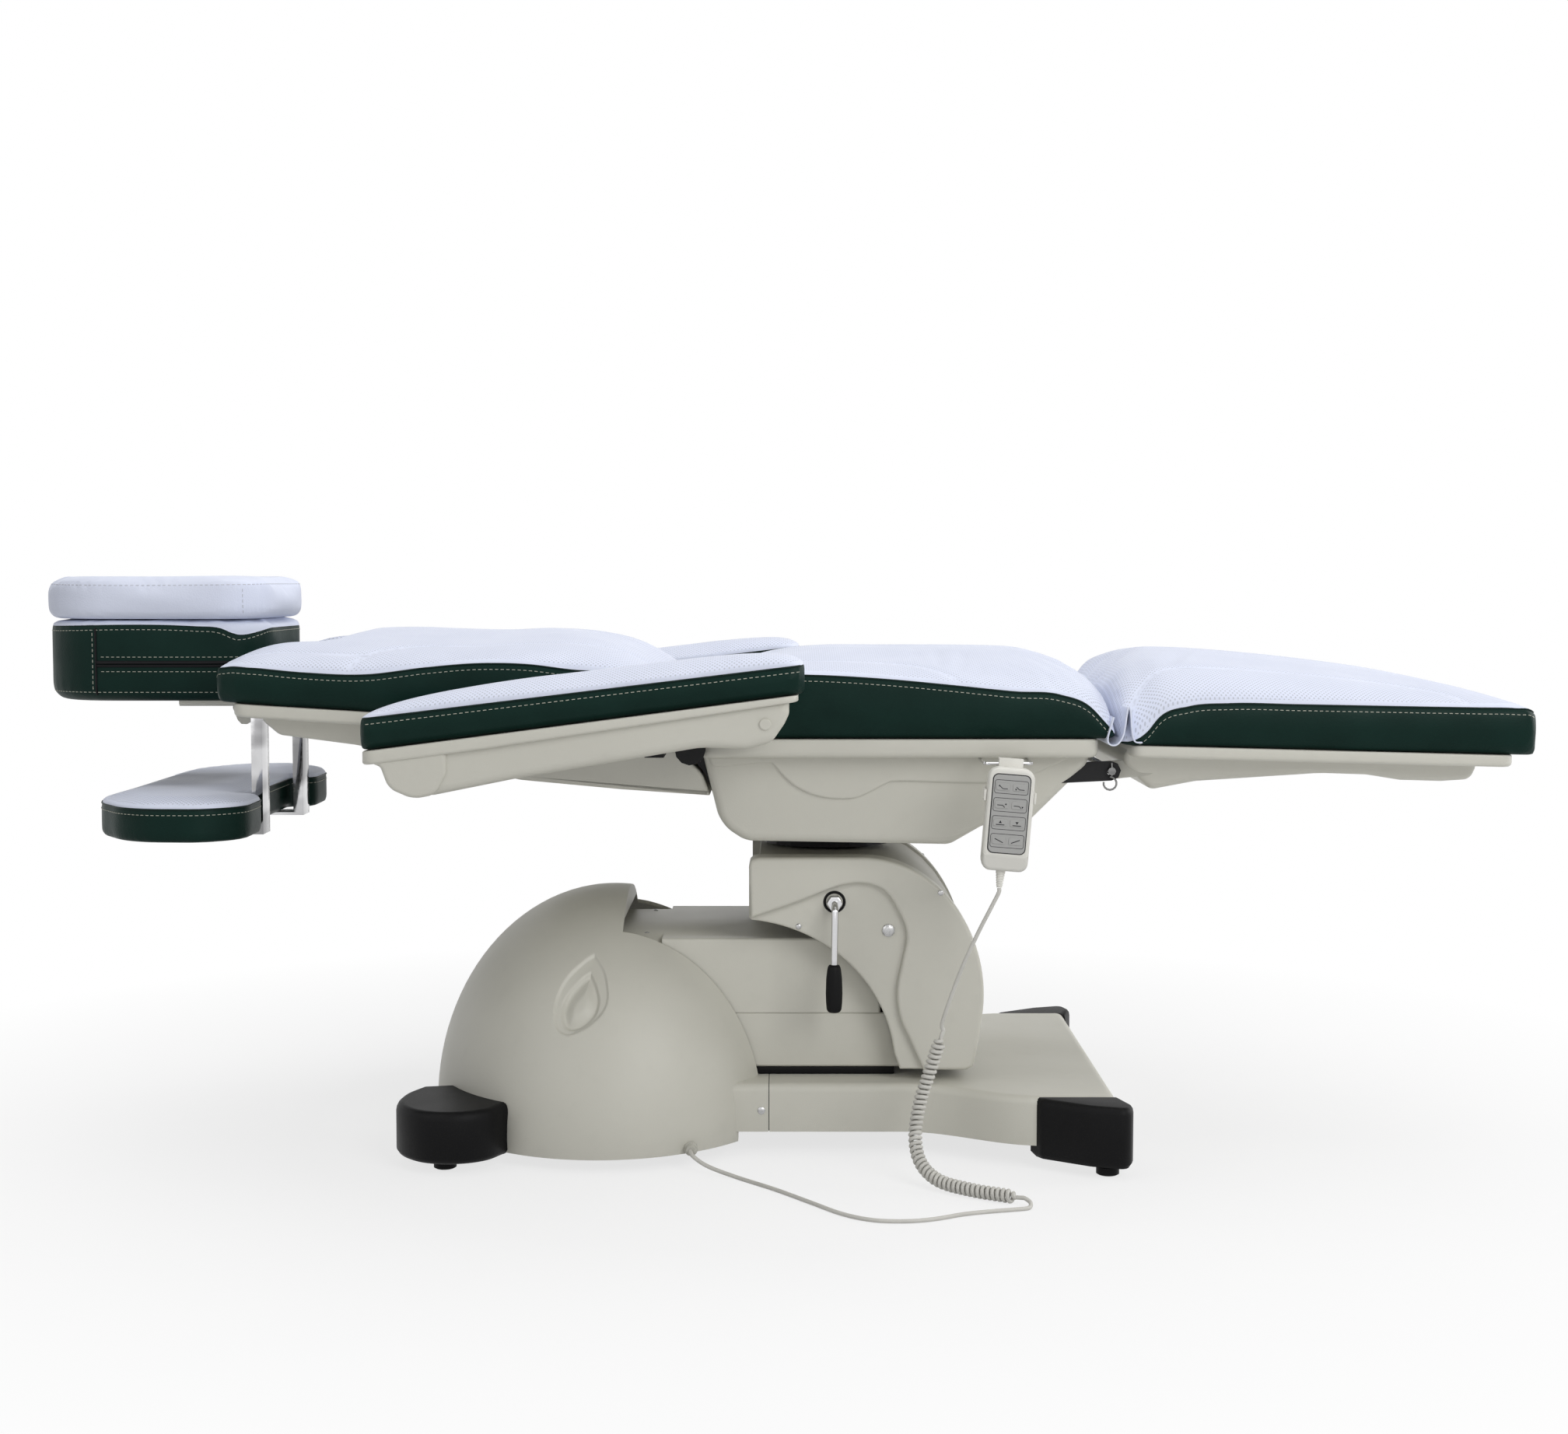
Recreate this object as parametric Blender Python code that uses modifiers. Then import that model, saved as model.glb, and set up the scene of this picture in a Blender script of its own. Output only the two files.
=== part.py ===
"""An electric treatment bed: base with a domed cover, parallel lift arm, swivelling lift head, tilting seat,
reclining back with level armrests, leg rest, head support, face-down arm shelf and a corded handset.

Metres, +Z up, +X towards the foot end, +Y to the far side. The origin is on the floor under the middle of the bed.
"""

import math

import bmesh
import bpy
from mathutils import Matrix, Vector

# Overall sizes
WIDTH_CUSHION = 0.576
BED_HEAD = -0.6675
BED_FOOT = 0.942
SEAT_FRONT = 0.434
CUSHION_CROWN = 0.629

# Clearances
GAP = 0.0004
PIN_PLAY = 0.0005
SLIDE_PLAY = 0.0005
PIN_SIDES = 8

# Base
PLATE_TOP = 0.089
PLATE_BOTTOM = 0.029
PLATE_HALF = 0.20
PLATE_FLARE = 0.27
PLATE_FOOT_END = 0.44
PLATE_START = 0.0125
CAP_HALF = 0.33
CAP_BOTTOM = 0.014
WALL = 0.004
DOME_X = -0.197
DOME_Z = 0.035
DOME_LONG = 0.233
DOME_WIDE = 0.29
DOME_HIGH = 0.279
DOME_LIP_X = -0.174
DOME_BOTTOM = 0.016
GLIDE_X_HEAD = -0.385
GLIDE_X_FOOT = 0.425
GLIDE_Y = 0.262

# Parallel lift
ARM_PIVOT = (-0.19, 0.185)
HEAD_PIVOT = (0.19, 0.215)
LINK_DROP = 0.06
ARM_HALF = 0.1435
ARM_TOP = 0.265
ARM_SPLIT = 0.169
ARM_COVER_END = 0.155
SKIRT_BOTTOM = 0.0995
LIFT_TRAVEL = math.radians(28)
TAIL_R = 0.078
PIN_R = 0.010
POST_Y = 0.118
ARM_PLATE_Y = 0.100
LINK_Y = 0.074
PLATE_T = 0.008

# Lift head
HEAD_HALF = 0.190
HEAD_PANEL = 0.180
HEAD_INNER = 0.150
HEAD_TOP = 0.374
HEAD_BOTTOM = 0.104
LEVER_X = 0.095
LEVER_Z = 0.317
LEVER_R = 0.004
LEVER_PIN_R = 0.0055
DECK_TOP = 0.3575
SPIGOT_R = 0.018
HUB_R = 0.036
SWIVEL_X = 0.09
TURNTABLE_R = 0.085
TURNTABLE_LOW = 0.3744
TURNTABLE_T = 0.0120
TILT_PIVOT = (0.0, 0.432)

# Seat
PAN_LIP_TOP = 0.5285
PAN_LIP_BOTTOM = 0.506
PAN_HALF = 0.250
PAN_LIP_HALF = 0.280
SEAT_PAN_BOTTOM = 0.392
SEAT_BOTTOM = PAN_LIP_TOP + 2 * GAP
SEAT_SEAM = 0.604
BACK_HINGE = (-0.078, 0.565)
LEG_HINGE = (0.4325, 0.4877)
EAR_Y = 0.298
BACK_PLATE_Y = 0.290
EAR_T = 0.006
ARM_STEP = (-0.010, -0.026)
LUG_Y = 0.236

# Armrests
ARMREST_PIVOT = (-0.285, 0.530)
ARMREST_INNER = 0.322
ARMREST_OUTER = 0.430
ARMREST_HEAD_X = -0.4555
ARMREST_FOOT_X = 0.055
ARMREST_SEAM_HEAD = 0.5626
ARMREST_SLOPE = 0.1214
LINK_BAR_Y = 0.306
LINK_BAR_T = 0.005
STUB_R = 0.006

# Head support
HEADREST_PIVOT = (-0.662, 0.545)
HEADREST_LEFT = -0.9375
HEADREST_RIGHT = -0.592
HEADREST_BOTTOM = 0.572
HEADREST_TOP = 0.671
HEADREST_HALF = 0.142
PILLOW_TOP = 0.7255
PILLOW_HALF = 0.150
NOTCH_HALF = 0.162
NOTCH_END = -0.535
RAIL_Y = 0.07
RAIL_R = 0.007

# Arm shelf
SHELF_BRACKET_X = -0.6395
SHELF_BRACKET_Y = 0.118
SHELF_BOTTOM = 0.4025
SHELF_TOP = 0.456
SHELF_HALF = 0.28
SHELF_LEFT = -0.827
SHELF_RIGHT = -0.66
SHELF_LOBE = -0.627

# Handset and cord
HANDSET_X = 0.2955
HANDSET_Y = -0.345
HANDSET_Z = 0.4395
HANDSET_WIDE = 0.055
HANDSET_TALL = 0.122
HANDSET_DEEP = 0.024
HANDSET_LEAN = math.radians(4.6)
KEY_ROWS = 4
KEY_TRAVEL = 0.0005
CORD_R = 0.0026
COIL_TURNS = 46
COIL_R = 0.0060
COIL_WIRE_R = 0.0024
COIL_POINTS = 8

for old in list(bpy.data.objects):
    bpy.data.objects.remove(old, do_unlink=True)

PARTS = bpy.data.collections.new("treatment_bed")
CUTTERS = bpy.data.collections.new("cutters")
bpy.context.scene.collection.children.link(PARTS)
bpy.context.scene.collection.children.link(CUTTERS)


def make_look(name, colour, roughness, metallic=0.0):
    made = bpy.data.materials.new(name)
    made.use_nodes = True
    shader = made.node_tree.nodes["Principled BSDF"]
    shader.inputs["Base Color"].default_value = (*colour, 1.0)
    shader.inputs["Roughness"].default_value = roughness
    shader.inputs["Metallic"].default_value = metallic
    made.diffuse_color = (*colour, 1.0)
    return made


LOOKS = {
    "shell": make_look("shell", (0.62, 0.61, 0.56), 0.45),
    "shell_under": make_look("shell_under", (0.45, 0.44, 0.40), 0.5),
    "black": make_look("black", (0.02, 0.02, 0.022), 0.55),
    "steel": make_look("steel", (0.12, 0.12, 0.12), 0.5),
    "chrome": make_look("chrome", (0.75, 0.75, 0.75), 0.12, 1.0),
    "green": make_look("green", (0.008, 0.06, 0.045), 0.5),
    "white": make_look("white", (0.78, 0.78, 0.80), 0.5),
    "handset": make_look("handset", (0.72, 0.71, 0.66), 0.4),
    "keypad": make_look("keypad", (0.40, 0.40, 0.38), 0.5),
    "cord": make_look("cord", (0.50, 0.49, 0.45), 0.5),
}


def add(name, mesh, look):
    """Puts a mesh in the scene: a part if it has a look, else a hidden helper."""
    obj = bpy.data.objects.new(name, mesh)
    if look is None:
        CUTTERS.objects.link(obj)
        obj.hide_render = True
        obj.display_type = "WIRE"
    else:
        PARTS.objects.link(obj)
        obj.data.materials.append(LOOKS[look])
    return obj


def to_mesh(bm, name):
    bmesh.ops.remove_doubles(bm, verts=bm.verts, dist=1e-5)
    bmesh.ops.recalc_face_normals(bm, faces=bm.faces)
    mesh = bpy.data.meshes.new(name)
    bm.to_mesh(mesh)
    bm.free()
    return mesh


def mesh_of_curve(curve):
    """The mesh of a curve, welded so that Booleans can use it."""
    holder = bpy.data.objects.new("holder", curve)
    bm = bmesh.new()
    bm.from_mesh(bpy.data.meshes.new_from_object(holder))
    bpy.data.objects.remove(holder)
    return to_mesh(bm, curve.name)


def rounded(corners, steps=3):
    """An outline from (u, v, radius) corners, with each radius drawn as an arc."""
    out = []
    for i, (u, v, radius) in enumerate(corners):
        here = Vector((u, v))
        before = Vector(corners[i - 1][:2]) - here
        after = Vector(corners[(i + 1) % len(corners)][:2]) - here
        if radius <= 0:
            out.append((u, v))
            continue
        half = before.angle(after) / 2
        reach = min(radius / math.tan(half), 0.49 * before.length, 0.49 * after.length)
        radius = reach * math.tan(half)
        middle = here + (before.normalized() + after.normalized()).normalized() * (radius / math.sin(half))
        start = here + before.normalized() * reach - middle
        turn = start.angle_signed(here + after.normalized() * reach - middle)
        for k in range(steps + 1):
            spin = Matrix.Rotation(-turn * k / steps, 2)
            out.append(tuple(middle + spin @ start))
    return out


def offset(outline, distance):
    """The outline moved inwards by the distance, corner by corner."""
    area = sum(a[0] * b[1] - b[0] * a[1] for a, b in zip(outline, outline[1:] + outline[:1]))
    side = 1 if area > 0 else -1
    out = []
    for i, point in enumerate(outline):
        here = Vector(point)
        one = (here - Vector(outline[i - 1])).normalized()
        two = (Vector(outline[(i + 1) % len(outline)]) - here).normalized()
        normal = Vector((-one.y - two.y, one.x + two.x)) * side
        length = max(normal.length, 0.8)
        out.append(tuple(here + normal / length * distance * (2 / length)))
    return out


def mirrored(outline):
    return [(u, -v) for u, v in reversed(outline)]


def through(points, steps=4):
    """Points along a smooth curve through the given ones."""
    padded = [points[0]] + list(points) + [points[-1]]
    out = []
    for a, b, c, d in zip(padded, padded[1:], padded[2:], padded[3:]):
        a, b, c, d = Vector(a), Vector(b), Vector(c), Vector(d)
        for k in range(steps):
            t = k / steps
            out.append(tuple(0.5 * (2 * b + (c - a) * t + (2 * a - 5 * b + 4 * c - d) * t * t
                                    + (3 * b - a - 3 * c + d) * t ** 3)))
    out.append(tuple(points[-1]))
    return out


TURNS = {
    "XZ": lambda at: Matrix(((1, 0, 0, 0), (0, 0, -1, at), (0, 1, 0, 0), (0, 0, 0, 1))),
    "XY": lambda at: Matrix.Translation((0, 0, at)),
    "YZ": lambda at: Matrix(((0, 0, 1, at), (1, 0, 0, 0), (0, 1, 0, 0), (0, 0, 0, 1))),
}


def prism(name, outline, low, high, look=None, plane="XZ"):
    """A flat outline in the plane, filled and drawn out from low to high square to it."""
    curve = bpy.data.curves.new(name, "CURVE")
    curve.dimensions = "2D"
    curve.fill_mode = "BOTH"
    curve.extrude = (high - low) / 2
    spline = curve.splines.new("POLY")
    spline.points.add(len(outline) - 1)
    for point, (u, v) in zip(spline.points, outline):
        point.co = (u, v, 0, 1)
    spline.use_cyclic_u = True
    mesh = mesh_of_curve(curve)
    mesh.transform(TURNS[plane]((low + high) / 2))
    return add(name, mesh, look)


def box(name, x, y, z, look=None):
    bm = bmesh.new()
    size = Matrix.Diagonal((x[1] - x[0], y[1] - y[0], z[1] - z[0], 1))
    middle = Matrix.Translation(((x[0] + x[1]) / 2, (y[0] + y[1]) / 2, (z[0] + z[1]) / 2))
    bmesh.ops.create_cube(bm, size=1, matrix=middle @ size)
    return add(name, to_mesh(bm, name), look)


def rod(name, start, end, radius, look=None, sides=PIN_SIDES, end_radius=None, turn=0.0):
    bm = bmesh.new()
    along = Vector(end) - Vector(start)
    place = Matrix.Translation((Vector(start) + Vector(end)) / 2) @ along.to_track_quat("Z", "Y").to_matrix().to_4x4()
    place = place @ Matrix.Rotation(turn, 4, "Z")
    bmesh.ops.create_cone(bm, cap_ends=True, segments=sides, radius1=radius,
                          radius2=radius if end_radius is None else end_radius, depth=along.length, matrix=place)
    return add(name, to_mesh(bm, name), look)


def tube(name, points, radius, look=None, resolution=2):
    curve = bpy.data.curves.new(name, "CURVE")
    curve.dimensions = "3D"
    curve.bevel_depth = radius
    curve.bevel_resolution = resolution
    curve.use_fill_caps = True
    spline = curve.splines.new("POLY")
    spline.points.add(len(points) - 1)
    for point, place in zip(spline.points, points):
        point.co = (*place, 1)
    return add(name, mesh_of_curve(curve), look)


def loft(name, rings, look=None):
    """A skin over rings of points, closed at both ends."""
    bm = bmesh.new()
    made = [[bm.verts.new(point) for point in ring] for ring in rings]
    for one, two in zip(made, made[1:]):
        for i in range(len(one)):
            bm.faces.new((one[i - 1], one[i], two[i], two[i - 1]))
    bm.faces.new(made[0])
    bm.faces.new(made[-1])
    return add(name, to_mesh(bm, name), look)


ROUND_STEPS = ((0, 1), (0.3, 0.3), (1, 0))


def stack(name, outline, levels, look=None):
    """A skin over one plan outline, drawn in by a distance at each (z, distance) level."""
    return loft(name, [[(u, v, z) for u, v in offset(outline, inset)] for z, inset in levels], look)


def slab(name, outline, low, high, round_low, round_high, look=None):
    """An XZ outline drawn out along Y from low to high, with a rounded edge of the given size at each end."""
    levels = [(low + round_low * at, round_low * inset) for at, inset in (ROUND_STEPS if round_low else ROUND_STEPS[2:])]
    levels += [(high - round_high * at, round_high * inset) for at, inset in reversed(ROUND_STEPS if round_high else ROUND_STEPS[2:])]
    return loft(name, [[(u, y, v) for u, v in offset(outline, inset)] for y, inset in levels], look)


def change(obj, operation, tools):
    for tool in tools:
        step = obj.modifiers.new(operation.lower() + "_" + tool.name, "BOOLEAN")
        step.operation = operation
        step.solver = "EXACT"
        step.object = tool
    return obj


def cut(obj, *tools):
    return change(obj, "DIFFERENCE", tools)


def join(obj, *tools):
    return change(obj, "UNION", tools)


def soften(obj, width, segments=2, angle=40):
    step = obj.modifiers.new("soften", "BEVEL")
    step.width = width
    step.segments = segments
    step.limit_method = "ANGLE"
    step.angle_limit = math.radians(angle)
    step.use_clamp_overlap = True
    return obj


def cushion(name, stations, look, across=(0.95, 0.82, 0.5)):
    """A padded block: each station is (x, half width, bottom, seam, crown)."""
    rings = []
    for x, half, bottom, seam, crown in stations:
        side = seam - bottom
        right = [(half - 0.012, bottom), (half, bottom + 0.45 * side), (half - 0.003, seam)]
        right += [(half * t, seam + (crown - seam) * (1 - t ** 4) ** 0.8) for t in across]
        ring = right + [(0, crown)] + [(-y, z) for y, z in reversed(right)]
        rings.append([(x, y, z) for y, z in ring])
    return loft(name, rings, look)


def moved(obj, matrix):
    obj.data.transform(matrix)
    return obj


def bar_outline(one, two, radius, steps=4):
    """The outline of a flat bar with round ends about two points."""
    one, two = Vector(one), Vector(two)
    start = math.atan2(two.y - one.y, two.x - one.x)
    out = []
    for middle, first in ((two, start - math.pi / 2), (one, start + math.pi / 2)):
        for k in range(steps + 1):
            angle = first + math.pi * k / steps
            out.append((middle.x + radius * math.cos(angle), middle.y + radius * math.sin(angle)))
    return out


def pin_along_y(name, at, low, high, radius, look=None, sides=PIN_SIDES):
    return rod(name, (at[0], low, at[1]), (at[0], high, at[1]), radius, look, sides)


def bore(name, start, end, radius, play=PIN_PLAY):
    """A cutter for the faceted hole of a faceted pin, set half a facet round so that the pin's corners meet its flats."""
    half_facet = math.pi / PIN_SIDES
    return rod(name, start, end, radius / math.cos(half_facet) + play, None, PIN_SIDES, None, half_facet)


def bore_along_y(name, at, low, high, radius):
    return bore(name, (at[0], low, at[1]), (at[0], high, at[1]), radius)


def both_sides(low, high):
    return ((low, high), (-high, -low))

# Base: welded steel frame with the lower pivot posts of the lift
LOW_LINK_PIVOT = (ARM_PIVOT[0], ARM_PIVOT[1] - LINK_DROP)
LOW_HEAD_PIVOT = (HEAD_PIVOT[0], HEAD_PIVOT[1] - LINK_DROP)
RAIL_LOW = PLATE_BOTTOM + 0.005
RAIL_HIGH = 0.072
POST_FAR = POST_Y + PLATE_T
base_frame = box("base_frame", (GLIDE_X_HEAD + 0.010, PLATE_FOOT_END - 0.012), (0.13, 0.165), (RAIL_LOW, RAIL_HIGH),
                 "steel")
join(
    base_frame,
    box("rail_near", (GLIDE_X_HEAD + 0.010, PLATE_FOOT_END - 0.012), (-0.165, -0.13), (RAIL_LOW, RAIL_HIGH)),
    box("cross_head", (GLIDE_X_HEAD - 0.016, GLIDE_X_HEAD + 0.016), (-GLIDE_Y - 0.015, GLIDE_Y + 0.015),
        (RAIL_LOW, RAIL_HIGH - 0.008)),
    box("cross_foot", (PLATE_FOOT_END - 0.042, PLATE_FOOT_END - 0.011), (-PLATE_FLARE + 0.01, PLATE_FLARE - 0.01),
        (RAIL_LOW, RAIL_HIGH - 0.008)),
    box("cover_pad_far", (0.06, 0.10), (0.132, 0.163), (RAIL_HIGH - 0.002, PLATE_TOP - WALL - GAP)),
    box("cover_pad_near", (0.06, 0.10), (-0.163, -0.132), (RAIL_HIGH - 0.002, PLATE_TOP - WALL - GAP)),
    box("cross_post", (ARM_PIVOT[0] - 0.035, ARM_PIVOT[0] + 0.035), (-0.14, 0.14), (RAIL_LOW, RAIL_HIGH - 0.012)),
)
for i, span in enumerate(both_sides(POST_Y, POST_FAR)):
    post = bar_outline((ARM_PIVOT[0], RAIL_HIGH - 0.02), ARM_PIVOT, 0.032)
    join(base_frame, prism(f"post_{i}", post, *span))
join(
    base_frame,
    pin_along_y("arm_pin", ARM_PIVOT, -POST_FAR + 0.002, POST_FAR - 0.002, PIN_R),
    pin_along_y("link_pin", LOW_LINK_PIVOT, -POST_FAR + 0.002, POST_FAR - 0.002, PIN_R),
)

# Base: plate-shaped foot cover, open below
FLARE = PLATE_FLARE - PLATE_HALF
half_plan = [(-0.06, PLATE_HALF)]
half_plan += [(0.18 + 0.17 * k / 10, PLATE_HALF + FLARE * (1 - math.cos(math.pi * k / 10)) / 2) for k in range(11)]
half_plan += [(PLATE_FOOT_END, PLATE_FLARE)]
plate_plan = half_plan + mirrored(half_plan)
base_cover = stack("base_cover", plate_plan, [(PLATE_BOTTOM, 0), (PLATE_TOP - 0.010, 0), (PLATE_TOP - 0.003, 0.003),
                                              (PLATE_TOP, 0.010)], "shell")
cut(
    base_cover,
    stack("base_cover_inside", plate_plan, [(0, WALL), (PLATE_TOP - 0.012, WALL), (PLATE_TOP - WALL, 0.012)]),
    box("base_cover_end", (-0.2, PLATE_START), (-0.4, 0.4), (0, 0.2)),
)


def ellipsoid(name, grow, look=None, sides=28):
    bm = bmesh.new()
    size = Matrix.Diagonal((DOME_LONG + grow, DOME_WIDE + grow, DOME_HIGH + grow, 1))
    bmesh.ops.create_uvsphere(bm, u_segments=sides, v_segments=sides // 2, radius=1,
                              matrix=Matrix.Translation((DOME_X, 0, DOME_Z)) @ size)
    return add(name, to_mesh(bm, name), look)


# Base: domed cover over the lift's lower pivots, with a flange on to the foot cover and a slot for the arm
dome_cover = ellipsoid("dome_cover", 0, "shell")
flange = [(-PLATE_HALF, PLATE_BOTTOM, 0), (PLATE_HALF, PLATE_BOTTOM, 0), (PLATE_HALF, PLATE_TOP, 0.010),
          (-PLATE_HALF, PLATE_TOP, 0.010)]
inside = [(-PLATE_HALF + WALL, 0, 0), (PLATE_HALF - WALL, 0, 0), (PLATE_HALF - WALL, PLATE_TOP - WALL, 0.008),
          (-PLATE_HALF + WALL, PLATE_TOP - WALL, 0.008)]
SLOT_HALF = ARM_HALF + 0.0035
lip = box("dome_lip", (DOME_LIP_X - WALL, DOME_LIP_X), (-SLOT_HALF - 0.003, SLOT_HALF + 0.003), (0.273, 0.4))
change(lip, "INTERSECT", [ellipsoid("dome_lip_limit", -0.0015)])
join(dome_cover, prism("dome_flange", rounded(flange), -0.10, PLATE_START - GAP, None, "YZ"))
cut(
    dome_cover,
    ellipsoid("dome_inside", -WALL),
    prism("dome_flange_inside", rounded(inside), -0.10, 0.1, None, "YZ"),
    box("dome_slot", (DOME_LIP_X, 0.2), (-SLOT_HALF, SLOT_HALF), (PLATE_TOP + 0.0001, 0.4)),
    box("dome_front", (PLATE_START - GAP, 0.2), (-0.4, 0.4), (-0.4, 0.4)),
    box("dome_below", (-0.6, 0.2), (-0.4, 0.4), (-0.4, DOME_BOTTOM)),
    box("dome_cross_slot", (GLIDE_X_HEAD - 0.019, GLIDE_X_HEAD + 0.019), (-0.4, 0.4), (0, RAIL_HIGH - 0.005)),
)
join(dome_cover, lip)

# Base: black end caps on glides, two round the dome and two at the foot end
cap_plan = rounded([(-0.458, 0.18, 0.02), (-0.455, 0.25, 0.03), (-0.405, 0.312, 0.04), (-0.34, 0.306, 0.03),
                    (-0.28, 0.22, 0.02), (-0.36, 0.14, 0.02)], 3)
foot_plan = rounded([(0.335, PLATE_FLARE + GAP, 0), (PLATE_FOOT_END + 0.003, PLATE_FLARE + GAP, 0),
                     (PLATE_FOOT_END + 0.016, 0.30, 0.02), (PLATE_FOOT_END + 0.006, CAP_HALF, 0.02),
                     (0.40, 0.315, 0.03)], 3)
CAP_LEVELS = [(CAP_BOTTOM, 0.006), (CAP_BOTTOM + 0.008, 0), (0.060, 0), (0.072, 0.004), (0.078, 0.012)]
FOOT_LEVELS = [(CAP_BOTTOM, 0.004), (CAP_BOTTOM + 0.008, 0), (0.062, 0), (0.073, 0.003), (0.077, 0.009)]
cap_dome_room = ellipsoid("cap_dome_room", GAP * 2)
cap_cross_room = box("cap_cross_room", (GLIDE_X_HEAD - 0.016 - GAP, GLIDE_X_HEAD + 0.016 + GAP),
                     (-GLIDE_Y - 0.015 - GAP, GLIDE_Y + 0.015 + GAP), (RAIL_LOW - GAP, RAIL_HIGH - 0.008 + GAP))


def cap(name, plan, levels, x, y):
    made = stack(name, plan, levels, "black")
    return join(made, rod(name + "_glide", (x, y, 0), (x, y, CAP_BOTTOM + 0.01), 0.014))


cap_head_far = cap("cap_head_far", cap_plan, CAP_LEVELS, GLIDE_X_HEAD, GLIDE_Y)
cap_head_near = cap("cap_head_near", mirrored(cap_plan), CAP_LEVELS, GLIDE_X_HEAD, -GLIDE_Y)
for end_cap in (cap_head_far, cap_head_near):
    cut(end_cap, cap_dome_room, cap_cross_room)
cap_foot_far = cap("cap_foot_far", foot_plan, FOOT_LEVELS, GLIDE_X_FOOT, GLIDE_Y + 0.03)
cap_foot_near = cap("cap_foot_near", mirrored(foot_plan), FOOT_LEVELS, GLIDE_X_FOOT, -GLIDE_Y - 0.03)

# Base: fixed lower half of the arm's casing on a black strip
skirt_base = box("skirt_base", (-0.08, ARM_COVER_END + 0.018), (-ARM_HALF + 0.002, ARM_HALF - 0.002),
                 (PLATE_TOP + GAP, SKIRT_BOTTOM - GAP), "black")
lift_skirt = box("lift_skirt", (-0.08, ARM_COVER_END), (-ARM_HALF, ARM_HALF), (SKIRT_BOTTOM, ARM_SPLIT - GAP), "shell")
cut(
    lift_skirt,
    box("skirt_inside", (-0.2, ARM_COVER_END - WALL), (-ARM_HALF + WALL, ARM_HALF - WALL), (SKIRT_BOTTOM + WALL, 0.3)),
    box("skirt_front", (0.1, 0.3), (-ARM_HALF + WALL, ARM_HALF - WALL), (SKIRT_BOTTOM + 0.03, 0.3)),
)

# Base: the gland where the handset's cord goes in
GLAND = (-0.083, -0.2695, 0.0225)
cord_gland = rod("cord_gland", (GLAND[0], -0.2565, GLAND[2]), GLAND, 0.0085, "black", 10, 0.006)

# Lift arm: two plates, cross tube and top cover
arm_line = bar_outline(ARM_PIVOT, HEAD_PIVOT, 0.03)
arm_frame = prism("arm_frame", arm_line, ARM_PLATE_Y, ARM_PLATE_Y + PLATE_T, "steel")
join(
    arm_frame,
    prism("arm_plate_near", arm_line, -ARM_PLATE_Y - PLATE_T, -ARM_PLATE_Y),
    box("arm_cross", (-0.02, 0.02), (-ARM_PLATE_Y - 0.002, ARM_PLATE_Y + 0.002), (0.186, 0.214)),
    box("arm_bridge", (-0.015, 0.015), (-0.08, 0.08), (0.21, ARM_TOP - WALL - GAP)),
)
cut(
    arm_frame,
    bore_along_y("arm_low_hole", ARM_PIVOT, -0.2, 0.2, PIN_R),
    bore_along_y("arm_high_hole", HEAD_PIVOT, -0.2, 0.2, PIN_R),
)
arm_cover = box("arm_cover", (DOME_LIP_X + 0.006, ARM_COVER_END), (-ARM_HALF, ARM_HALF), (ARM_SPLIT + GAP, ARM_TOP),
                "shell")
soften(arm_cover, 0.004)
tail_start = math.acos((DOME_LIP_X + 0.002 - ARM_PIVOT[0]) / TAIL_R) - LIFT_TRAVEL
tail_end = math.pi / 2 + 0.02


def tail_arc(radius, start, end, steps=4):
    """Points about the arm's pivot, on the round tail that turns inside the dome."""
    turns = [start + (end - start) * k / steps for k in range(steps + 1)]
    return [(ARM_PIVOT[0] + radius * math.cos(t), ARM_PIVOT[1] + radius * math.sin(t)) for t in turns]


tail_line = tail_arc(TAIL_R, tail_start, tail_end)
relief_top = tail_line[0][0] + 0.05 * math.tan(LIFT_TRAVEL)
relief = [(relief_top, tail_line[0][1] + 0.05)] + tail_line + [(tail_line[-1][0], tail_line[0][1] + 0.05)]
tail_roof = tail_arc(TAIL_R + 0.001, tail_start + 0.06, tail_end)
tail_roof += reversed(tail_arc(TAIL_R - WALL, tail_start + 0.06, tail_end))
cut(
    arm_cover,
    box("arm_cover_inside", (-0.4, 0.4), (-ARM_HALF + WALL, ARM_HALF - WALL), (0, ARM_TOP - WALL)),
    prism("arm_cover_relief", relief, -0.2, 0.2),
)
join(arm_cover, prism("arm_tail", tail_roof, -ARM_HALF + 0.002, ARM_HALF - 0.002))

# Lift link: the lower bars of the parallelogram
link_line = bar_outline(LOW_LINK_PIVOT, LOW_HEAD_PIVOT, 0.017)
lift_link = prism("lift_link", link_line, LINK_Y, LINK_Y + PLATE_T, "steel")
join(
    lift_link,
    prism("link_near", link_line, -LINK_Y - PLATE_T, -LINK_Y),
    box("link_cross", (-0.012, 0.012), (-LINK_Y - 0.002, LINK_Y + 0.002), (0.130, 0.150)),
)
cut(
    lift_link,
    bore_along_y("link_low_hole", LOW_LINK_PIVOT, -0.2, 0.2, PIN_R),
    bore_along_y("link_high_hole", LOW_HEAD_PIVOT, -0.2, 0.2, PIN_R),
)


def ellipse(cx, cz, rx, rz, first, last, steps):
    turns = [math.radians(first + (last - first) * k / steps) for k in range(steps + 1)]
    return [(cx + rx * math.cos(t), cz + rz * math.sin(t)) for t in turns]


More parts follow.
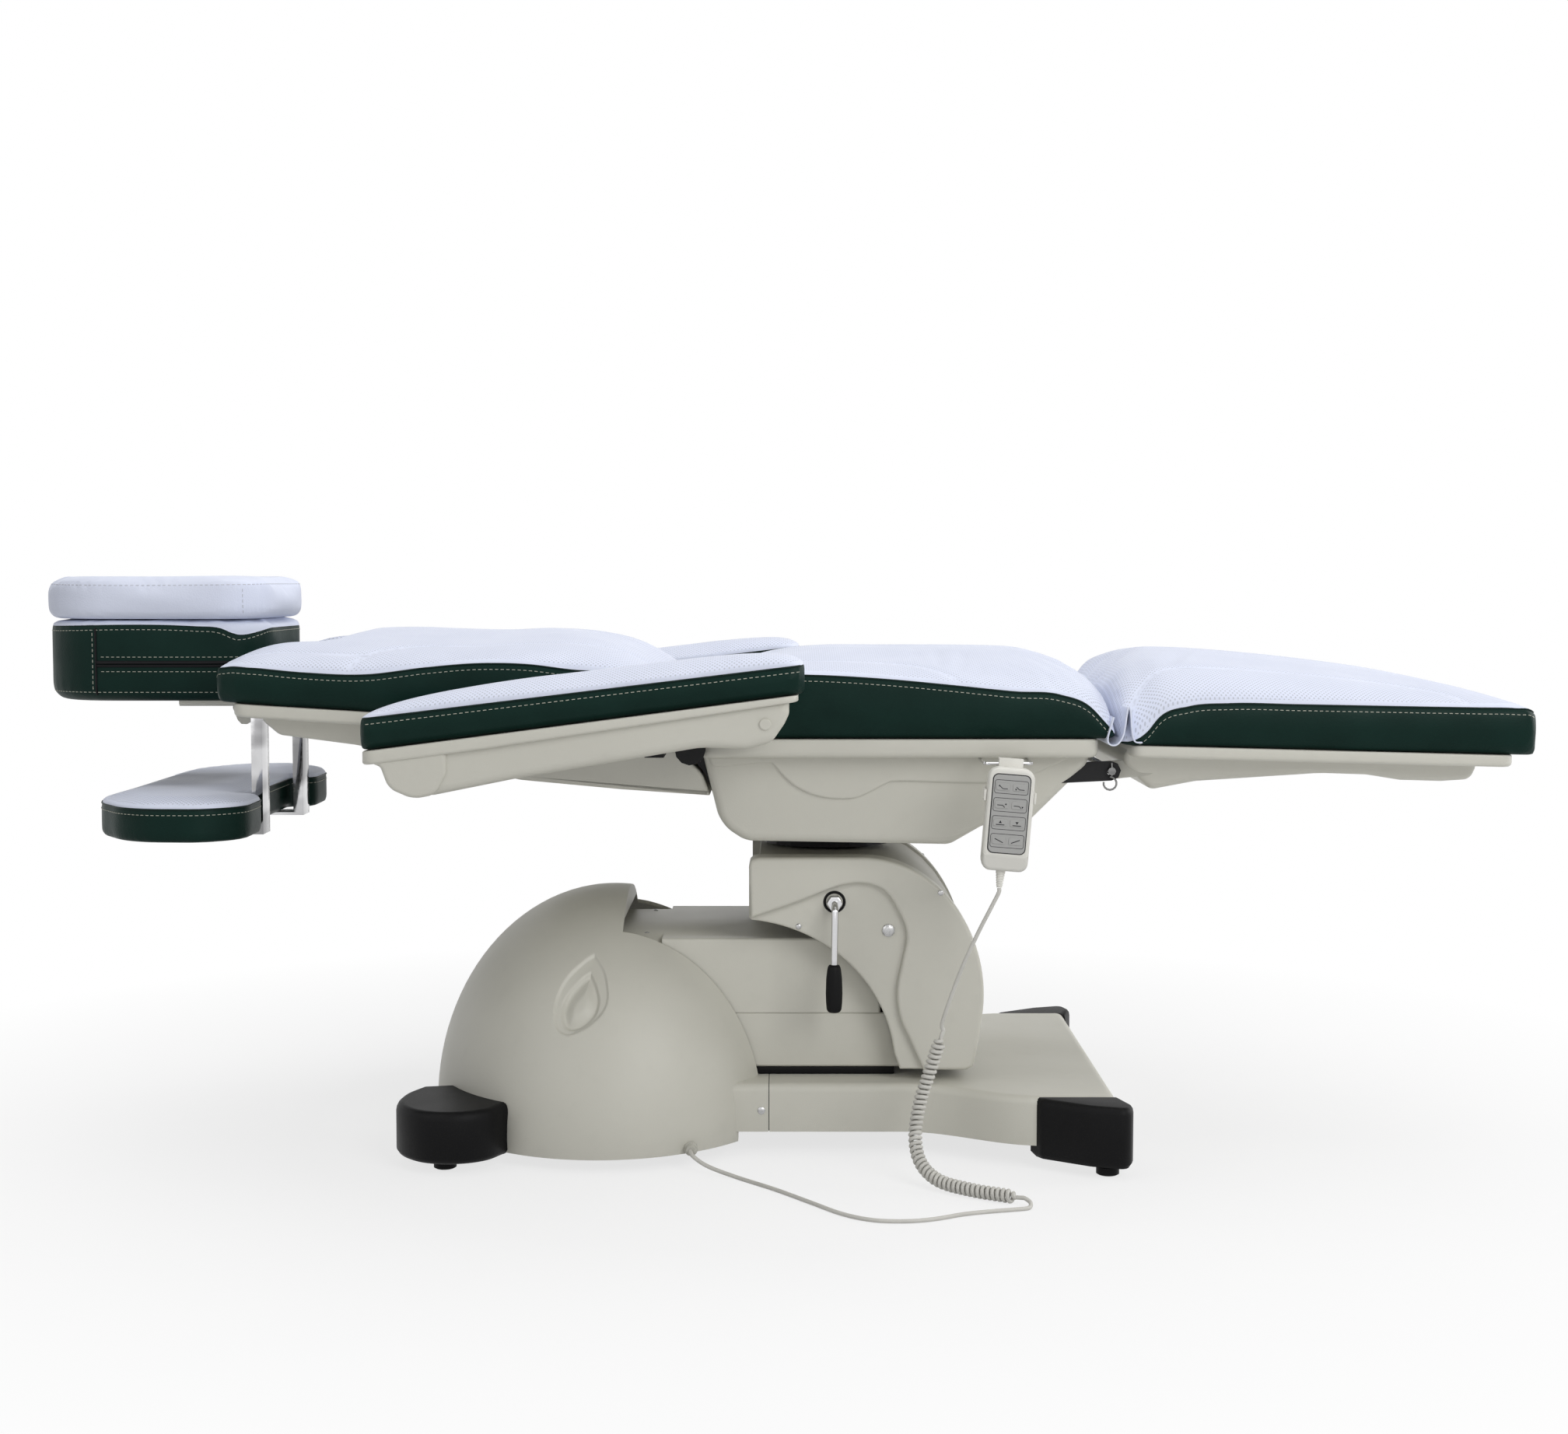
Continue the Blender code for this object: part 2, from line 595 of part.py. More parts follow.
# Lift head: frame, two side covers with a raised arch, and the cover between them
HEAD_LEFT = -0.0125
HEAD_NOSE = 0.283
hollow_arc = ellipse(-0.03, HEAD_BOTTOM, 0.202, 0.191, 84, 6, 8)
nose_arc = ellipse(0.13, 0.200, HEAD_NOSE - 0.13, HEAD_TOP - 0.200, -6, 90, 10)
head_foot = [(0.178, HEAD_BOTTOM), (0.262, HEAD_BOTTOM), (0.270, HEAD_BOTTOM + 0.006), (0.277, HEAD_BOTTOM + 0.040)]
head_shoulder = [(HEAD_LEFT + 0.012, HEAD_TOP), (HEAD_LEFT + 0.003, HEAD_TOP - 0.003), (HEAD_LEFT, HEAD_TOP - 0.012),
                 (HEAD_LEFT, 0.297)]
head_outline = hollow_arc + head_foot + nose_arc + head_shoulder
arch = through([(-0.0115, 0.2965), (0.05, 0.318), (0.099, 0.337), (0.130, 0.341), (0.158, 0.331), (0.179, 0.298),
                (0.185, 0.274), (0.180, 0.245), (0.173, 0.207), (0.177, 0.172), (0.190, 0.142), (0.207, HEAD_BOTTOM)], 2)
band_outline = head_foot[1:] + nose_arc + head_shoulder[:3] + arch
lever_hole = pin_along_y("lever_hole", (LEVER_X, LEVER_Z), -0.3, 0.3, 0.012, None, 14)


def head_cover(name, side):
    low, high = sorted((side * HEAD_INNER, side * HEAD_PANEL))
    cover = prism(name, head_outline, low, high, "shell")
    low, high = sorted((side * (HEAD_PANEL - 0.002), side * HEAD_HALF))
    edges = (0.005, 0) if side < 0 else (0, 0.005)
    band = slab(name + "_band", offset(band_outline, 2 * GAP), low, high, *edges)
    low, high = sorted((side * (HEAD_INNER - 0.05), side * (HEAD_PANEL - WALL)))
    room = prism(name + "_room", offset(head_outline, WALL), low, high)
    cut(cover, room)
    join(cover, band)
    if side < 0:
        cut(cover, lever_hole)
    return cover


head_cover_near = head_cover("head_cover_near", -1)
head_cover_far = head_cover("head_cover_far", 1)
spine_out = offset(head_outline, 0.003)
first = len(hollow_arc) + 1
last = len(hollow_arc) + len(head_foot) + len(nose_arc) + 1
spine_strip = spine_out[first:last] + list(reversed(offset(head_outline, 0.008)[first:last]))
head_spine = prism("head_spine", spine_strip, -HEAD_INNER + GAP, HEAD_INNER - GAP, "shell_under")
cut(head_spine, rod("hub_room", (SWIVEL_X, 0, 0.3), (SWIVEL_X, 0, 0.4), HUB_R + 0.003, None, 16))

frame_outline = [(0.165, 0.135), (0.222, 0.135), (0.228, 0.26), (0.195, 0.33), (0.165, 0.357), (0.0, 0.357),
                 (0.0, 0.315), (0.14, 0.285), (0.163, 0.25)]
head_frame = prism("head_frame", frame_outline, POST_Y, POST_FAR, "steel")
join(
    head_frame,
    prism("head_plate_near", frame_outline, -POST_FAR, -POST_Y),
    box("head_deck", (0.0, 0.16), (-POST_FAR + 0.002, POST_FAR - 0.002), (DECK_TOP - 0.0115, DECK_TOP)),
    pin_along_y("head_pin", HEAD_PIVOT, -POST_FAR + 0.002, POST_FAR - 0.002, PIN_R),
    pin_along_y("head_link_pin", LOW_HEAD_PIVOT, -POST_FAR + 0.002, POST_FAR - 0.002, PIN_R),
    box("cover_standoffs", (0.015, 0.045), (WALL + GAP - HEAD_PANEL, HEAD_PANEL - WALL - GAP), (0.3475, DECK_TOP - 0.001)),
)
cut(
    head_frame,
    bore_along_y("lever_bore", (LEVER_X, LEVER_Z), -0.2, 0.0, LEVER_PIN_R),
    bore("spigot_bore", (SWIVEL_X, 0, 0.3), (SWIVEL_X, 0, 0.4), SPIGOT_R),
)

# Lift head: lock lever with a hex nut, cranked rod and grip
GRIP_TOP = 0.2425
lever_rod = pin_along_y("lever_rod", (LEVER_X, LEVER_Z), -HEAD_HALF - 0.006, -POST_Y + 0.0015, LEVER_PIN_R, "chrome")
join(
    lever_rod,
    pin_along_y("lever_nut", (LEVER_X, LEVER_Z), -HEAD_HALF + 0.001, -HEAD_HALF + 0.010, 0.010, None, 6),
    tube("lever_crank", [(LEVER_X, -HEAD_HALF - 0.002, LEVER_Z), (LEVER_X, -HEAD_HALF - 0.012, LEVER_Z - 0.001),
                         (LEVER_X, -HEAD_HALF - 0.018, LEVER_Z - 0.006), (LEVER_X, -HEAD_HALF - 0.020, LEVER_Z - 0.014),
                         (LEVER_X - 0.001, -HEAD_HALF - 0.020, GRIP_TOP + GAP)], LEVER_R),
)


def turned(name, at, profile, look, sides=14):
    """A round shape about an upright axis: the profile is (z, radius)."""
    spins = [math.tau * k / sides for k in range(sides)]
    return loft(name, [[(at[0] + r * math.cos(s), at[1] + r * math.sin(s), z) for s in spins] for z, r in profile], look)


lever_grip = turned("lever_grip", (LEVER_X - 0.001, -HEAD_HALF - 0.020),
                    [(GRIP_TOP - 0.060, 0.006), (GRIP_TOP - 0.057, 0.0092), (GRIP_TOP - 0.040, 0.0105),
                     (GRIP_TOP - 0.018, 0.0102), (GRIP_TOP - 0.004, 0.0085), (GRIP_TOP, 0.0065)], "black")

# Turntable: swivel plate with the two tilt cheeks and the tilt pin
TURNTABLE_HIGH = TURNTABLE_LOW + TURNTABLE_T
CHEEK_Y = 0.050
SEAT_LUG_Y = CHEEK_Y + 0.012
tilt_x, tilt_z = TILT_PIVOT
turntable = rod("turntable", (SWIVEL_X, 0, TURNTABLE_LOW), (SWIVEL_X, 0, TURNTABLE_HIGH), TURNTABLE_R, "steel", 20)
cheek = rounded([(tilt_x + 0.008, TURNTABLE_HIGH - 0.003, 0), (tilt_x + 0.105, TURNTABLE_HIGH - 0.003, 0),
                 (tilt_x + 0.06, tilt_z - 0.017, 0.01), (tilt_x + 0.014, tilt_z + 0.017, 0.012),
                 (tilt_x - 0.016, tilt_z + 0.017, 0.012), (tilt_x - 0.016, tilt_z - 0.012, 0.01)])
for i, span in enumerate(both_sides(CHEEK_Y, CHEEK_Y + PLATE_T)):
    join(turntable, prism(f"cheek_{i}", cheek, *span))
join(
    turntable,
    rod("swivel_hub", (SWIVEL_X, 0, DECK_TOP + GAP), (SWIVEL_X, 0, TURNTABLE_LOW + 0.003), HUB_R, None, 16),
    rod("swivel_spigot", (SWIVEL_X, 0, DECK_TOP - 0.0105), (SWIVEL_X, 0, TURNTABLE_LOW), SPIGOT_R),
)
join(turntable, pin_along_y("tilt_pin", TILT_PIVOT, -SEAT_LUG_Y - 0.010, SEAT_LUG_Y + 0.010, 0.008))

# Seat: ladder frame with the back's hinge ears and the leg rest's lugs
RAIL_IN, RAIL_OUT = 0.09, 0.11
EAR_OUT = EAR_Y + EAR_T
tube_x = (BACK_HINGE[0] - 0.013, BACK_HINGE[0] + 0.009)
link_seat = (BACK_HINGE[0] + ARM_STEP[0], BACK_HINGE[1] + ARM_STEP[1])
front_x = (LEG_HINGE[0] - 0.0925, LEG_HINGE[0] - 0.0705)
seat_frame = box("seat_frame", (tube_x[0] + 0.004, front_x[1] - 0.004), (RAIL_IN, RAIL_OUT), (0.486, 0.510), "steel")
ear = bar_outline((BACK_HINGE[0] - 0.003, 0.518), BACK_HINGE, 0.0185, 6)
lug = bar_outline((front_x[0] + 0.011, LEG_HINGE[1] - 0.004), LEG_HINGE, 0.012)
join(
    seat_frame,
    box("seat_rail_near", (tube_x[0] + 0.004, front_x[1] - 0.004), (-RAIL_OUT, -RAIL_IN), (0.486, 0.510)),
    box("seat_rear_tube", tube_x, (-EAR_OUT + 0.001, EAR_OUT - 0.001), (0.503, 0.523)),
    box("seat_front_tube", front_x, (-LUG_Y - 0.005, LUG_Y + 0.005), (0.473, 0.495)),
    box("seat_tilt_cross", (tilt_x - 0.014, tilt_x + 0.014), (-RAIL_OUT + 0.002, RAIL_OUT - 0.002), (0.476, 0.496)),
)
lug_tilt = bar_outline((tilt_x, 0.485), TILT_PIVOT, 0.016)
for i, side in enumerate((-1, 1)):
    span = sorted((side * EAR_Y, side * EAR_OUT))
    hinge_span = sorted((side * (BACK_PLATE_Y - 0.001), side * (EAR_Y + 0.003)))
    link_span = sorted((side * (EAR_OUT - 0.002), side * (LINK_BAR_Y + LINK_BAR_T + 0.001)))
    lug_span = sorted((side * LUG_Y, side * (LUG_Y + EAR_T)))
    tilt_span = sorted((side * SEAT_LUG_Y, side * (SEAT_LUG_Y + 0.007)))
    join(
        seat_frame,
        prism(f"ear_{i}", ear, *span),
        pin_along_y(f"back_stub_{i}", BACK_HINGE, *hinge_span, 0.008),
        pin_along_y(f"link_stub_{i}", link_seat, *link_span, STUB_R),
        prism(f"leg_lug_{i}", lug, *lug_span),
        prism(f"tilt_lug_{i}", lug_tilt, *tilt_span),
    )
LEG_PIN_R = 0.005
cut(
    seat_frame,
    bore_along_y("tilt_hole", TILT_PIVOT, -0.2, 0.2, 0.008),
    bore_along_y("leg_hole", LEG_HINGE, -0.4, 0.4, LEG_PIN_R),
)


def tub(name, outline, top, half, round_off, look="shell"):
    """A tray with its side outline drawn across the bed, hollow and open above: the outline's top edge is last to first."""
    made = slab(name, outline, -half, half, round_off, round_off, look)
    inner = offset(outline, WALL)
    inner = [(inner[0][0], top)] + inner + [(inner[-1][0], top)]
    return made, prism(name + "_inside", inner, WALL - half, half - WALL)


# Seat: tray with its lip, open for the turntable, the rails and the lugs
seat_outline = rounded([(-0.0635, PAN_LIP_TOP, 0), (-0.038, 0.4217, 0.04), (-0.0144, SEAT_PAN_BOTTOM, 0.03),
                        (0.2294, SEAT_PAN_BOTTOM, 0.02), (0.277, 0.4188, 0.02), (0.3343, 0.4246, 0.015),
                        (0.4026, 0.4952, 0.006), (0.410, PAN_LIP_TOP, 0)])
seat_pan, seat_room = tub("seat_pan", seat_outline, 0.56, PAN_HALF, 0.005)
lip_plan = rounded([(-0.066, -PAN_LIP_HALF, 0.02), (0.413, -PAN_LIP_HALF, 0.02), (0.413, PAN_LIP_HALF, 0.02),
                    (-0.066, PAN_LIP_HALF, 0.02)], 3)
join(seat_pan, stack("seat_lip", lip_plan, [(PAN_LIP_BOTTOM, 0.006), (PAN_LIP_BOTTOM + 0.006, 0),
                                            (PAN_LIP_TOP - 0.004, 0), (PAN_LIP_TOP + GAP, 0.004)]))
cut(
    seat_pan,
    seat_room,
    box("turntable_room", (tilt_x - 0.020, tilt_x + 0.128), (-SEAT_LUG_Y - 0.008, SEAT_LUG_Y + 0.008), (0.3, 0.41)),
)
for i, side in enumerate((-1, 1)):
    rails = sorted((side * (RAIL_IN - GAP), side * (RAIL_OUT + GAP)))
    lugs = sorted((side * (LUG_Y - GAP), side * (LUG_Y + EAR_T + GAP)))
    cut(
        seat_pan,
        box(f"seat_rail_room_{i}", (-0.1, -0.03), rails, (0.486 - GAP, 0.510 + GAP)),
        box(f"leg_lug_room_{i}", (0.36, 0.5), lugs, (0.466, 0.5045)),
    )

# Seat: cushion with a rolled front and a drawn-in rear end
HALF = WIDTH_CUSHION / 2
seat_cushion = cushion("seat_cushion", [
    (-0.064, HALF - 0.018, SEAT_BOTTOM, 0.552, 0.558), (-0.058, HALF - 0.004, SEAT_BOTTOM, 0.570, 0.579),
    (-0.045, HALF, SEAT_BOTTOM, 0.588, 0.598), (-0.03, HALF, SEAT_BOTTOM, 0.600, 0.612),
    (0.0, HALF, SEAT_BOTTOM, 0.607, 0.624), (0.06, HALF, SEAT_BOTTOM, SEAT_SEAM + 0.003, CUSHION_CROWN),
    (0.16, HALF, SEAT_BOTTOM, 0.6015, CUSHION_CROWN), (0.24, HALF, SEAT_BOTTOM, 0.594, CUSHION_CROWN),
    (0.31, HALF, SEAT_BOTTOM, 0.587, 0.628), (0.365, HALF, SEAT_BOTTOM, 0.583, 0.625),
    (0.40, HALF, SEAT_BOTTOM, 0.569, 0.617), (0.420, HALF, SEAT_BOTTOM, 0.548, 0.602),
    (SEAT_FRONT - 0.004, HALF - 0.003, SEAT_BOTTOM, 0.537, 0.578),
    (SEAT_FRONT - 0.0005, HALF - 0.010, SEAT_BOTTOM, 0.534, 0.550)], "white")

# Back: frame with hinge plates, armrest pivots and the head support's guides
PLATE_OUT = BACK_PLATE_Y + EAR_T
back_rail = [(-0.605, 0.5350), (-0.605, 0.5425), (-0.54, 0.5425), (-0.535, 0.555), (-0.12, 0.532), (-0.12, 0.508),
             (-0.53, 0.532)]
back_frame = prism("back_frame", back_rail, 0.12, 0.14, "steel")
join(
    back_frame,
    prism("back_rail_near", back_rail, -0.14, -0.12),
    box("back_rear_tube", (-0.136, -0.113), (-PLATE_OUT + 0.001, PLATE_OUT - 0.001), (0.508, 0.530)),
    box("back_front_tube", (-0.604, -0.580), (-0.138, 0.138), (0.5353, 0.5422)),
    box("guide_outer", (-0.533, -0.513), (-0.13, 0.13), (0.531, 0.5548)),
    box("guide_inner", (-0.45, -0.43), (-0.13, 0.13), (0.529, 0.5515)),
)
for i, side in enumerate((-1, 1)):
    span = sorted((side * BACK_PLATE_Y, side * PLATE_OUT))
    join(
        back_frame,
        prism(f"back_plate_{i}", bar_outline(BACK_HINGE, ARMREST_PIVOT, 0.018), *span),
        box(f"back_web_{i}", (-0.136, -0.113), span, (0.5085, 0.555)),
    )
    rail_at = (0, side * RAIL_Y, HEADREST_PIVOT[1])
    cut(back_frame, bore(f"rail_room_{i}", (-0.9, *rail_at[1:]), (-0.2, *rail_at[1:]), RAIL_R, SLIDE_PLAY))
cut(
    back_frame,
    bore_along_y("back_hole", BACK_HINGE, -0.4, 0.4, 0.008),
    bore_along_y("armrest_hole", ARMREST_PIVOT, -0.4, 0.4, STUB_R),
)


def back_line(x):
    """Height of the back cushion's underside."""
    return 0.5395 + (-0.1 - x) * 0.0616


back_outline = rounded([(-0.648, back_line(-0.648) - GAP, 0), (-0.640, 0.560, 0.006), (-0.605, 0.5304, 0.02),
                        (-0.4947, 0.5189, 0.06), (-0.2934, 0.4746, 0.06), (-0.1685, 0.4562, 0.04), (-0.062, 0.4437, 0.006),
                        (-0.086, 0.475, 0.02), (-0.0975, 0.508, 0.02), (-0.0975, back_line(-0.0975) - GAP, 0)])
back_pan, back_room = tub("back_pan", back_outline, 0.62, PAN_HALF, 0.005)
back_rim = [(-0.651, back_line(-0.651) - GAP), (-0.651, back_line(-0.651) - 0.010), (-0.0965, back_line(-0.0965) - 0.013),
            (-0.0965, back_line(-0.0965) - GAP)]
join(back_pan, prism("back_rim", back_rim, -PAN_LIP_HALF, PAN_LIP_HALF))
cut(
    back_pan,
    back_room,
    box("back_tube_room", (-0.136 - GAP, -0.113 + GAP), (-0.4, 0.4), (0.508 - GAP, 0.6)),
    box("head_room", (-0.8, NOTCH_END - 0.002), (-NOTCH_HALF, NOTCH_HALF), (0.533, 0.7)),
)

# Back: cushion with a lumbar wave and a recess for the head support
back_cushion = cushion("back_cushion", [
    (x, HALF - draw, back_line(x) + rise, seam, crown) for x, draw, rise, seam, crown in [
        (BED_HEAD, 0.012, 0.003, 0.602, 0.607), (BED_HEAD + 0.006, 0.004, 0.001, 0.611, 0.621),
        (-0.645, 0, 0, 0.6165, 0.635), (-0.612, 0, 0, 0.6155, 0.647), (-0.55, 0, 0, 0.610, 0.653),
        (-0.473, 0, 0, 0.6075, 0.655), (-0.40, 0, 0, 0.616, 0.651), (-0.336, 0, 0, 0.621, 0.6495),
        (-0.28, 0, 0, 0.620, 0.653), (-0.22, 0, 0, 0.613, 0.654), (-0.165, 0, 0, 0.610, 0.642),
        (-0.135, 0, 0, 0.605, 0.624), (-0.114, 0, 0, 0.596, 0.606), (-0.100, 0.004, 0, 0.578, 0.586),
        (-0.092, 0.018, 0, 0.557, 0.562)]], "white")
notch_plan = rounded([(-0.8, -NOTCH_HALF, 0), (NOTCH_END, -NOTCH_HALF, 0.03), (NOTCH_END, NOTCH_HALF, 0.03),
                      (-0.8, NOTCH_HALF, 0)])
cut(back_cushion, prism("head_notch", notch_plan, 0.4, 0.8, None, "XY"))


# Back: bolted arm shelf on two chrome brackets
def shelf_bracket(name, side):
    across = sorted((side * (SHELF_BRACKET_Y - 0.019), side * (SHELF_BRACKET_Y + 0.019)))
    bar = (SHELF_BRACKET_X - 0.007, SHELF_BRACKET_X + 0.007)
    made = box(name, bar, across, (SHELF_BOTTOM - 0.005, 0.5475), "chrome")
    return join(
        made,
        box(name + "_top", (bar[0] + 0.002, -0.585), across, (0.5427, 0.5473)),
        box(name + "_foot", (SHELF_LEFT + 0.027, bar[0] + 0.002), across, (SHELF_BOTTOM - 0.005, SHELF_BOTTOM - GAP)),
    )


shelf_bracket_near = shelf_bracket("shelf_bracket_near", -1)
shelf_bracket_far = shelf_bracket("shelf_bracket_far", 1)
half_shelf = [(SHELF_RIGHT, 0.146, 0.012), (SHELF_LOBE, 0.158, 0.019), (SHELF_LOBE, SHELF_HALF, 0.05),
              (SHELF_LEFT, 0.215, 0.10)]
shelf_plan = rounded(half_shelf + [(x, -y, r) for x, y, r in reversed(half_shelf)], 3)
shelf_pad = stack("shelf_pad", shelf_plan, [(SHELF_BOTTOM, 0.008), (SHELF_BOTTOM + 0.008, 0.001), (0.425, 0),
                                            (0.438, 0.003), (0.449, 0.009), (SHELF_TOP, 0.017)], "green")

# Head support: sliding rails and cross tube, then the tilting plate with its cushion and pillow
pivot_x, pivot_z = HEADREST_PIVOT
TUBE_HALF = 0.10
head_rails = pin_along_y("head_rails", HEADREST_PIVOT, -TUBE_HALF, TUBE_HALF, 0.009, "chrome")
for i, y in enumerate((-RAIL_Y, RAIL_Y)):
    join(head_rails, rod(f"head_rail_{i}", (pivot_x, y, pivot_z), (-0.40, y, pivot_z), RAIL_R))
for i, span in enumerate(both_sides(TUBE_HALF - 0.014, TUBE_HALF + 0.02)):
    cut(head_rails, bore_along_y(f"stub_room_{i}", HEADREST_PIVOT, *span, 0.005))
head_plate = box("head_plate", (-0.905, pivot_x + 0.008), (-0.12, 0.12), (0.5605, HEADREST_BOTTOM - GAP), "shell")
soften(head_plate, 0.003, 1)
for i, side in enumerate((-1, 1)):
    lug_span = sorted((side * (TUBE_HALF + 0.001), side * (TUBE_HALF + 0.007)))
    stub_span = sorted((side * (TUBE_HALF - 0.011), side * (TUBE_HALF + 0.004)))
    join(
        head_plate,
        prism(f"head_lug_{i}", bar_outline(HEADREST_PIVOT, (pivot_x - 0.006, 0.5605), 0.009), *lug_span),
        pin_along_y(f"head_stub_{i}", HEADREST_PIVOT, *stub_span, 0.005),
    )


def pad_plan(left, right, half, corner):
    return rounded([(left, -half, corner), (right, -half, corner), (right, half, corner), (left, half, corner)], 4)


head_cushion = stack("head_cushion", pad_plan(HEADREST_LEFT, HEADREST_RIGHT, HEADREST_HALF, 0.03),
                     [(HEADREST_BOTTOM, 0.008), (HEADREST_BOTTOM + 0.008, 0.001), (HEADREST_BOTTOM + 0.03, 0),
                      (HEADREST_TOP - 0.016, 0), (HEADREST_TOP - 0.004, 0.005), (HEADREST_TOP, 0.016)], "green")
pillow = stack("pillow", pad_plan(HEADREST_LEFT - 0.0045, HEADREST_RIGHT + 0.002, PILLOW_HALF, 0.05),
               [(HEADREST_TOP + GAP, 0.016), (HEADREST_TOP + 0.008, 0.004), (HEADREST_TOP + 0.020, 0),
                (PILLOW_TOP - 0.020, 0.001), (PILLOW_TOP - 0.009, 0.008), (PILLOW_TOP - 0.003, 0.022),
                (PILLOW_TOP, 0.042)], "white")


# Armrests: shell with pivot bosses and stubs, and a tilted pad
def armrest_bottom(x):
    return ARMREST_SEAM_HEAD - 0.0376 + (x - ARMREST_HEAD_X) * 0.1293


def armrest_seam(x):
    return ARMREST_SEAM_HEAD + (x - ARMREST_HEAD_X) * ARMREST_SLOPE


armrest_outline = rounded([(ARMREST_HEAD_X + 0.002, armrest_bottom(ARMREST_HEAD_X + 0.002) - GAP, 0), (-0.443, 0.500, 0.012),
                           (-0.418, 0.4745, 0.015), (-0.381, 0.4701, 0.03), (-0.2784, 0.4924, 0.08),
                           (-0.0646, 0.5308, 0.08), (0.030, 0.557, 0.03), (0.048, 0.575, 0.012),
                           (ARMREST_FOOT_X - 0.002, armrest_bottom(ARMREST_FOOT_X - 0.002) - GAP, 0)], 2)
link_arm = (ARMREST_PIVOT[0] + ARM_STEP[0], ARMREST_PIVOT[1] + ARM_STEP[1])
MIDDLE_Y = (ARMREST_INNER + ARMREST_OUTER) / 2
ARM_PAD_HALF = (ARMREST_OUTER - ARMREST_INNER) / 2


def armrest(name, side):
    half = ARM_PAD_HALF - 0.002
    shell, room = tub("arm_shell_" + name, armrest_outline, 0.66, half, 0.005)
    for piece in (shell, room):
        moved(piece, Matrix.Translation((0, side * (MIDDLE_Y - 0.002), 0)))
    cut(shell, room)
    wall = ARMREST_INNER + 0.5 * WALL
    for hole, inner in ((ARMREST_PIVOT, BACK_PLATE_Y - 0.001), (link_arm, LINK_BAR_Y - 0.001)):
        boss_span = sorted((side * (LINK_BAR_Y + LINK_BAR_T + 0.002), side * wall))
        stub_span = sorted((side * inner, side * (wall - 0.001)))
        label = f"{name}_{hole[0]:.2f}"
        join(shell, pin_along_y("boss_" + label, hole, *boss_span, 0.010),
             pin_along_y("stub_" + label, hole, *stub_span, STUB_R))
    stations = []
    for at, draw, low, drop in ((0, 0.014, 0.003, 0.016), (0.007, 0.005, 0, 0.006), (0.025, 0.001, 0, 0.001),
                                (0.08, 0, 0, 0), (0.2, 0, 0, 0), (0.32, 0, 0, 0), (0.43, 0, 0, 0), (0.486, 0.001, 0, 0.001),
                                (0.503, 0.005, 0, 0.006), (0.5105, 0.014, 0.003, 0.016)):
        x = ARMREST_HEAD_X + at
        crown = armrest_seam(x) + 0.019 - 2.0 * drop
        stations.append((x, ARM_PAD_HALF - draw, armrest_bottom(x) + low, armrest_seam(x) - 0.6 * drop, crown))
    pad = cushion("arm_cushion_" + name, stations, "green", (0.9, 0.6))
    moved(pad, Matrix.Translation((0, side * MIDDLE_Y, 0)))
    span = sorted((side * LINK_BAR_Y, side * (LINK_BAR_Y + LINK_BAR_T)))
    link = prism("arm_link_" + name, bar_outline(link_arm, link_seat, 0.010), *span, "steel")
    for end, hole in (("low", link_seat), ("high", link_arm)):
        cut(link, bore_along_y(f"arm_link_{end}_{name}", hole, -0.5, 0.5, STUB_R))


armrest("near", -1)
armrest("far", 1)

# Leg rest: frame with hinge lugs, tray, cushion and the hinge pin with its spring clip
LEG_LUG_Y = LUG_Y - 0.0085
leg_tube_x = (LEG_HINGE[0] + 0.039, LEG_HINGE[0] + 0.058)
leg_lug = bar_outline(LEG_HINGE, (leg_tube_x[0] + 0.008, LEG_HINGE[1] + 0.005), 0.011)


def leg_line(x):
    """Height of the leg cushion's underside."""
    return 0.5215 - (x - 0.4637) * 0.0258


leg_frame = box("leg_frame", leg_tube_x, (-LEG_LUG_Y - 0.004, LEG_LUG_Y + 0.004), (0.4855, 0.5005), "steel")
for i, side in enumerate((-1, 1)):
    rail_span = sorted((side * 0.15, side * 0.17))
    lug_span = sorted((side * LEG_LUG_Y, side * (LEG_LUG_Y + EAR_T)))
    join(
        leg_frame,
        box(f"leg_rail_{i}", (leg_tube_x[0] + 0.002, 0.86), rail_span, (0.4925, 0.4998)),
        prism(f"leg_frame_lug_{i}", leg_lug, *lug_span),
    )
cut(leg_frame, bore_along_y("leg_frame_hole", LEG_HINGE, -0.4, 0.4, LEG_PIN_R))

leg_outline = rounded([(0.455, leg_line(0.455) - GAP, 0), (0.447, 0.505, 0.006), (0.444, 0.4935, 0.006),
                       (0.4858, 0.462, 0.015), (0.5391, 0.4735, 0.04), (0.6916, 0.484, 0.2), (0.7489, 0.4821, 0.05),
                       (0.8015, 0.4744, 0.03), (0.8635, 0.4773, 0.02), (0.8871, 0.4888, 0.02), (0.918, 0.499, 0.008),
                       (0.925, leg_line(0.925) - GAP, 0)], 2)
leg_pan, leg_room = tub("leg_pan", leg_outline, 0.56, PAN_HALF, 0.005)
leg_rim = [(0.452, leg_line(0.452) - GAP), (0.452, leg_line(0.452) - 0.012), (0.928, leg_line(0.928) - 0.011),
           (0.928, leg_line(0.928) - GAP)]
join(leg_pan, slab("leg_rim", leg_rim, -PAN_LIP_HALF, PAN_LIP_HALF, 0.002, 0.002))
cut(leg_pan, leg_room)
for i, side in enumerate((-1, 1)):
    lug_span = sorted((side * (LEG_LUG_Y - GAP), side * (LEG_LUG_Y + EAR_T + GAP)))
    cut(leg_pan, box(f"leg_pan_room_{i}", (0.42, 0.47), lug_span, (0.46, 0.506)))

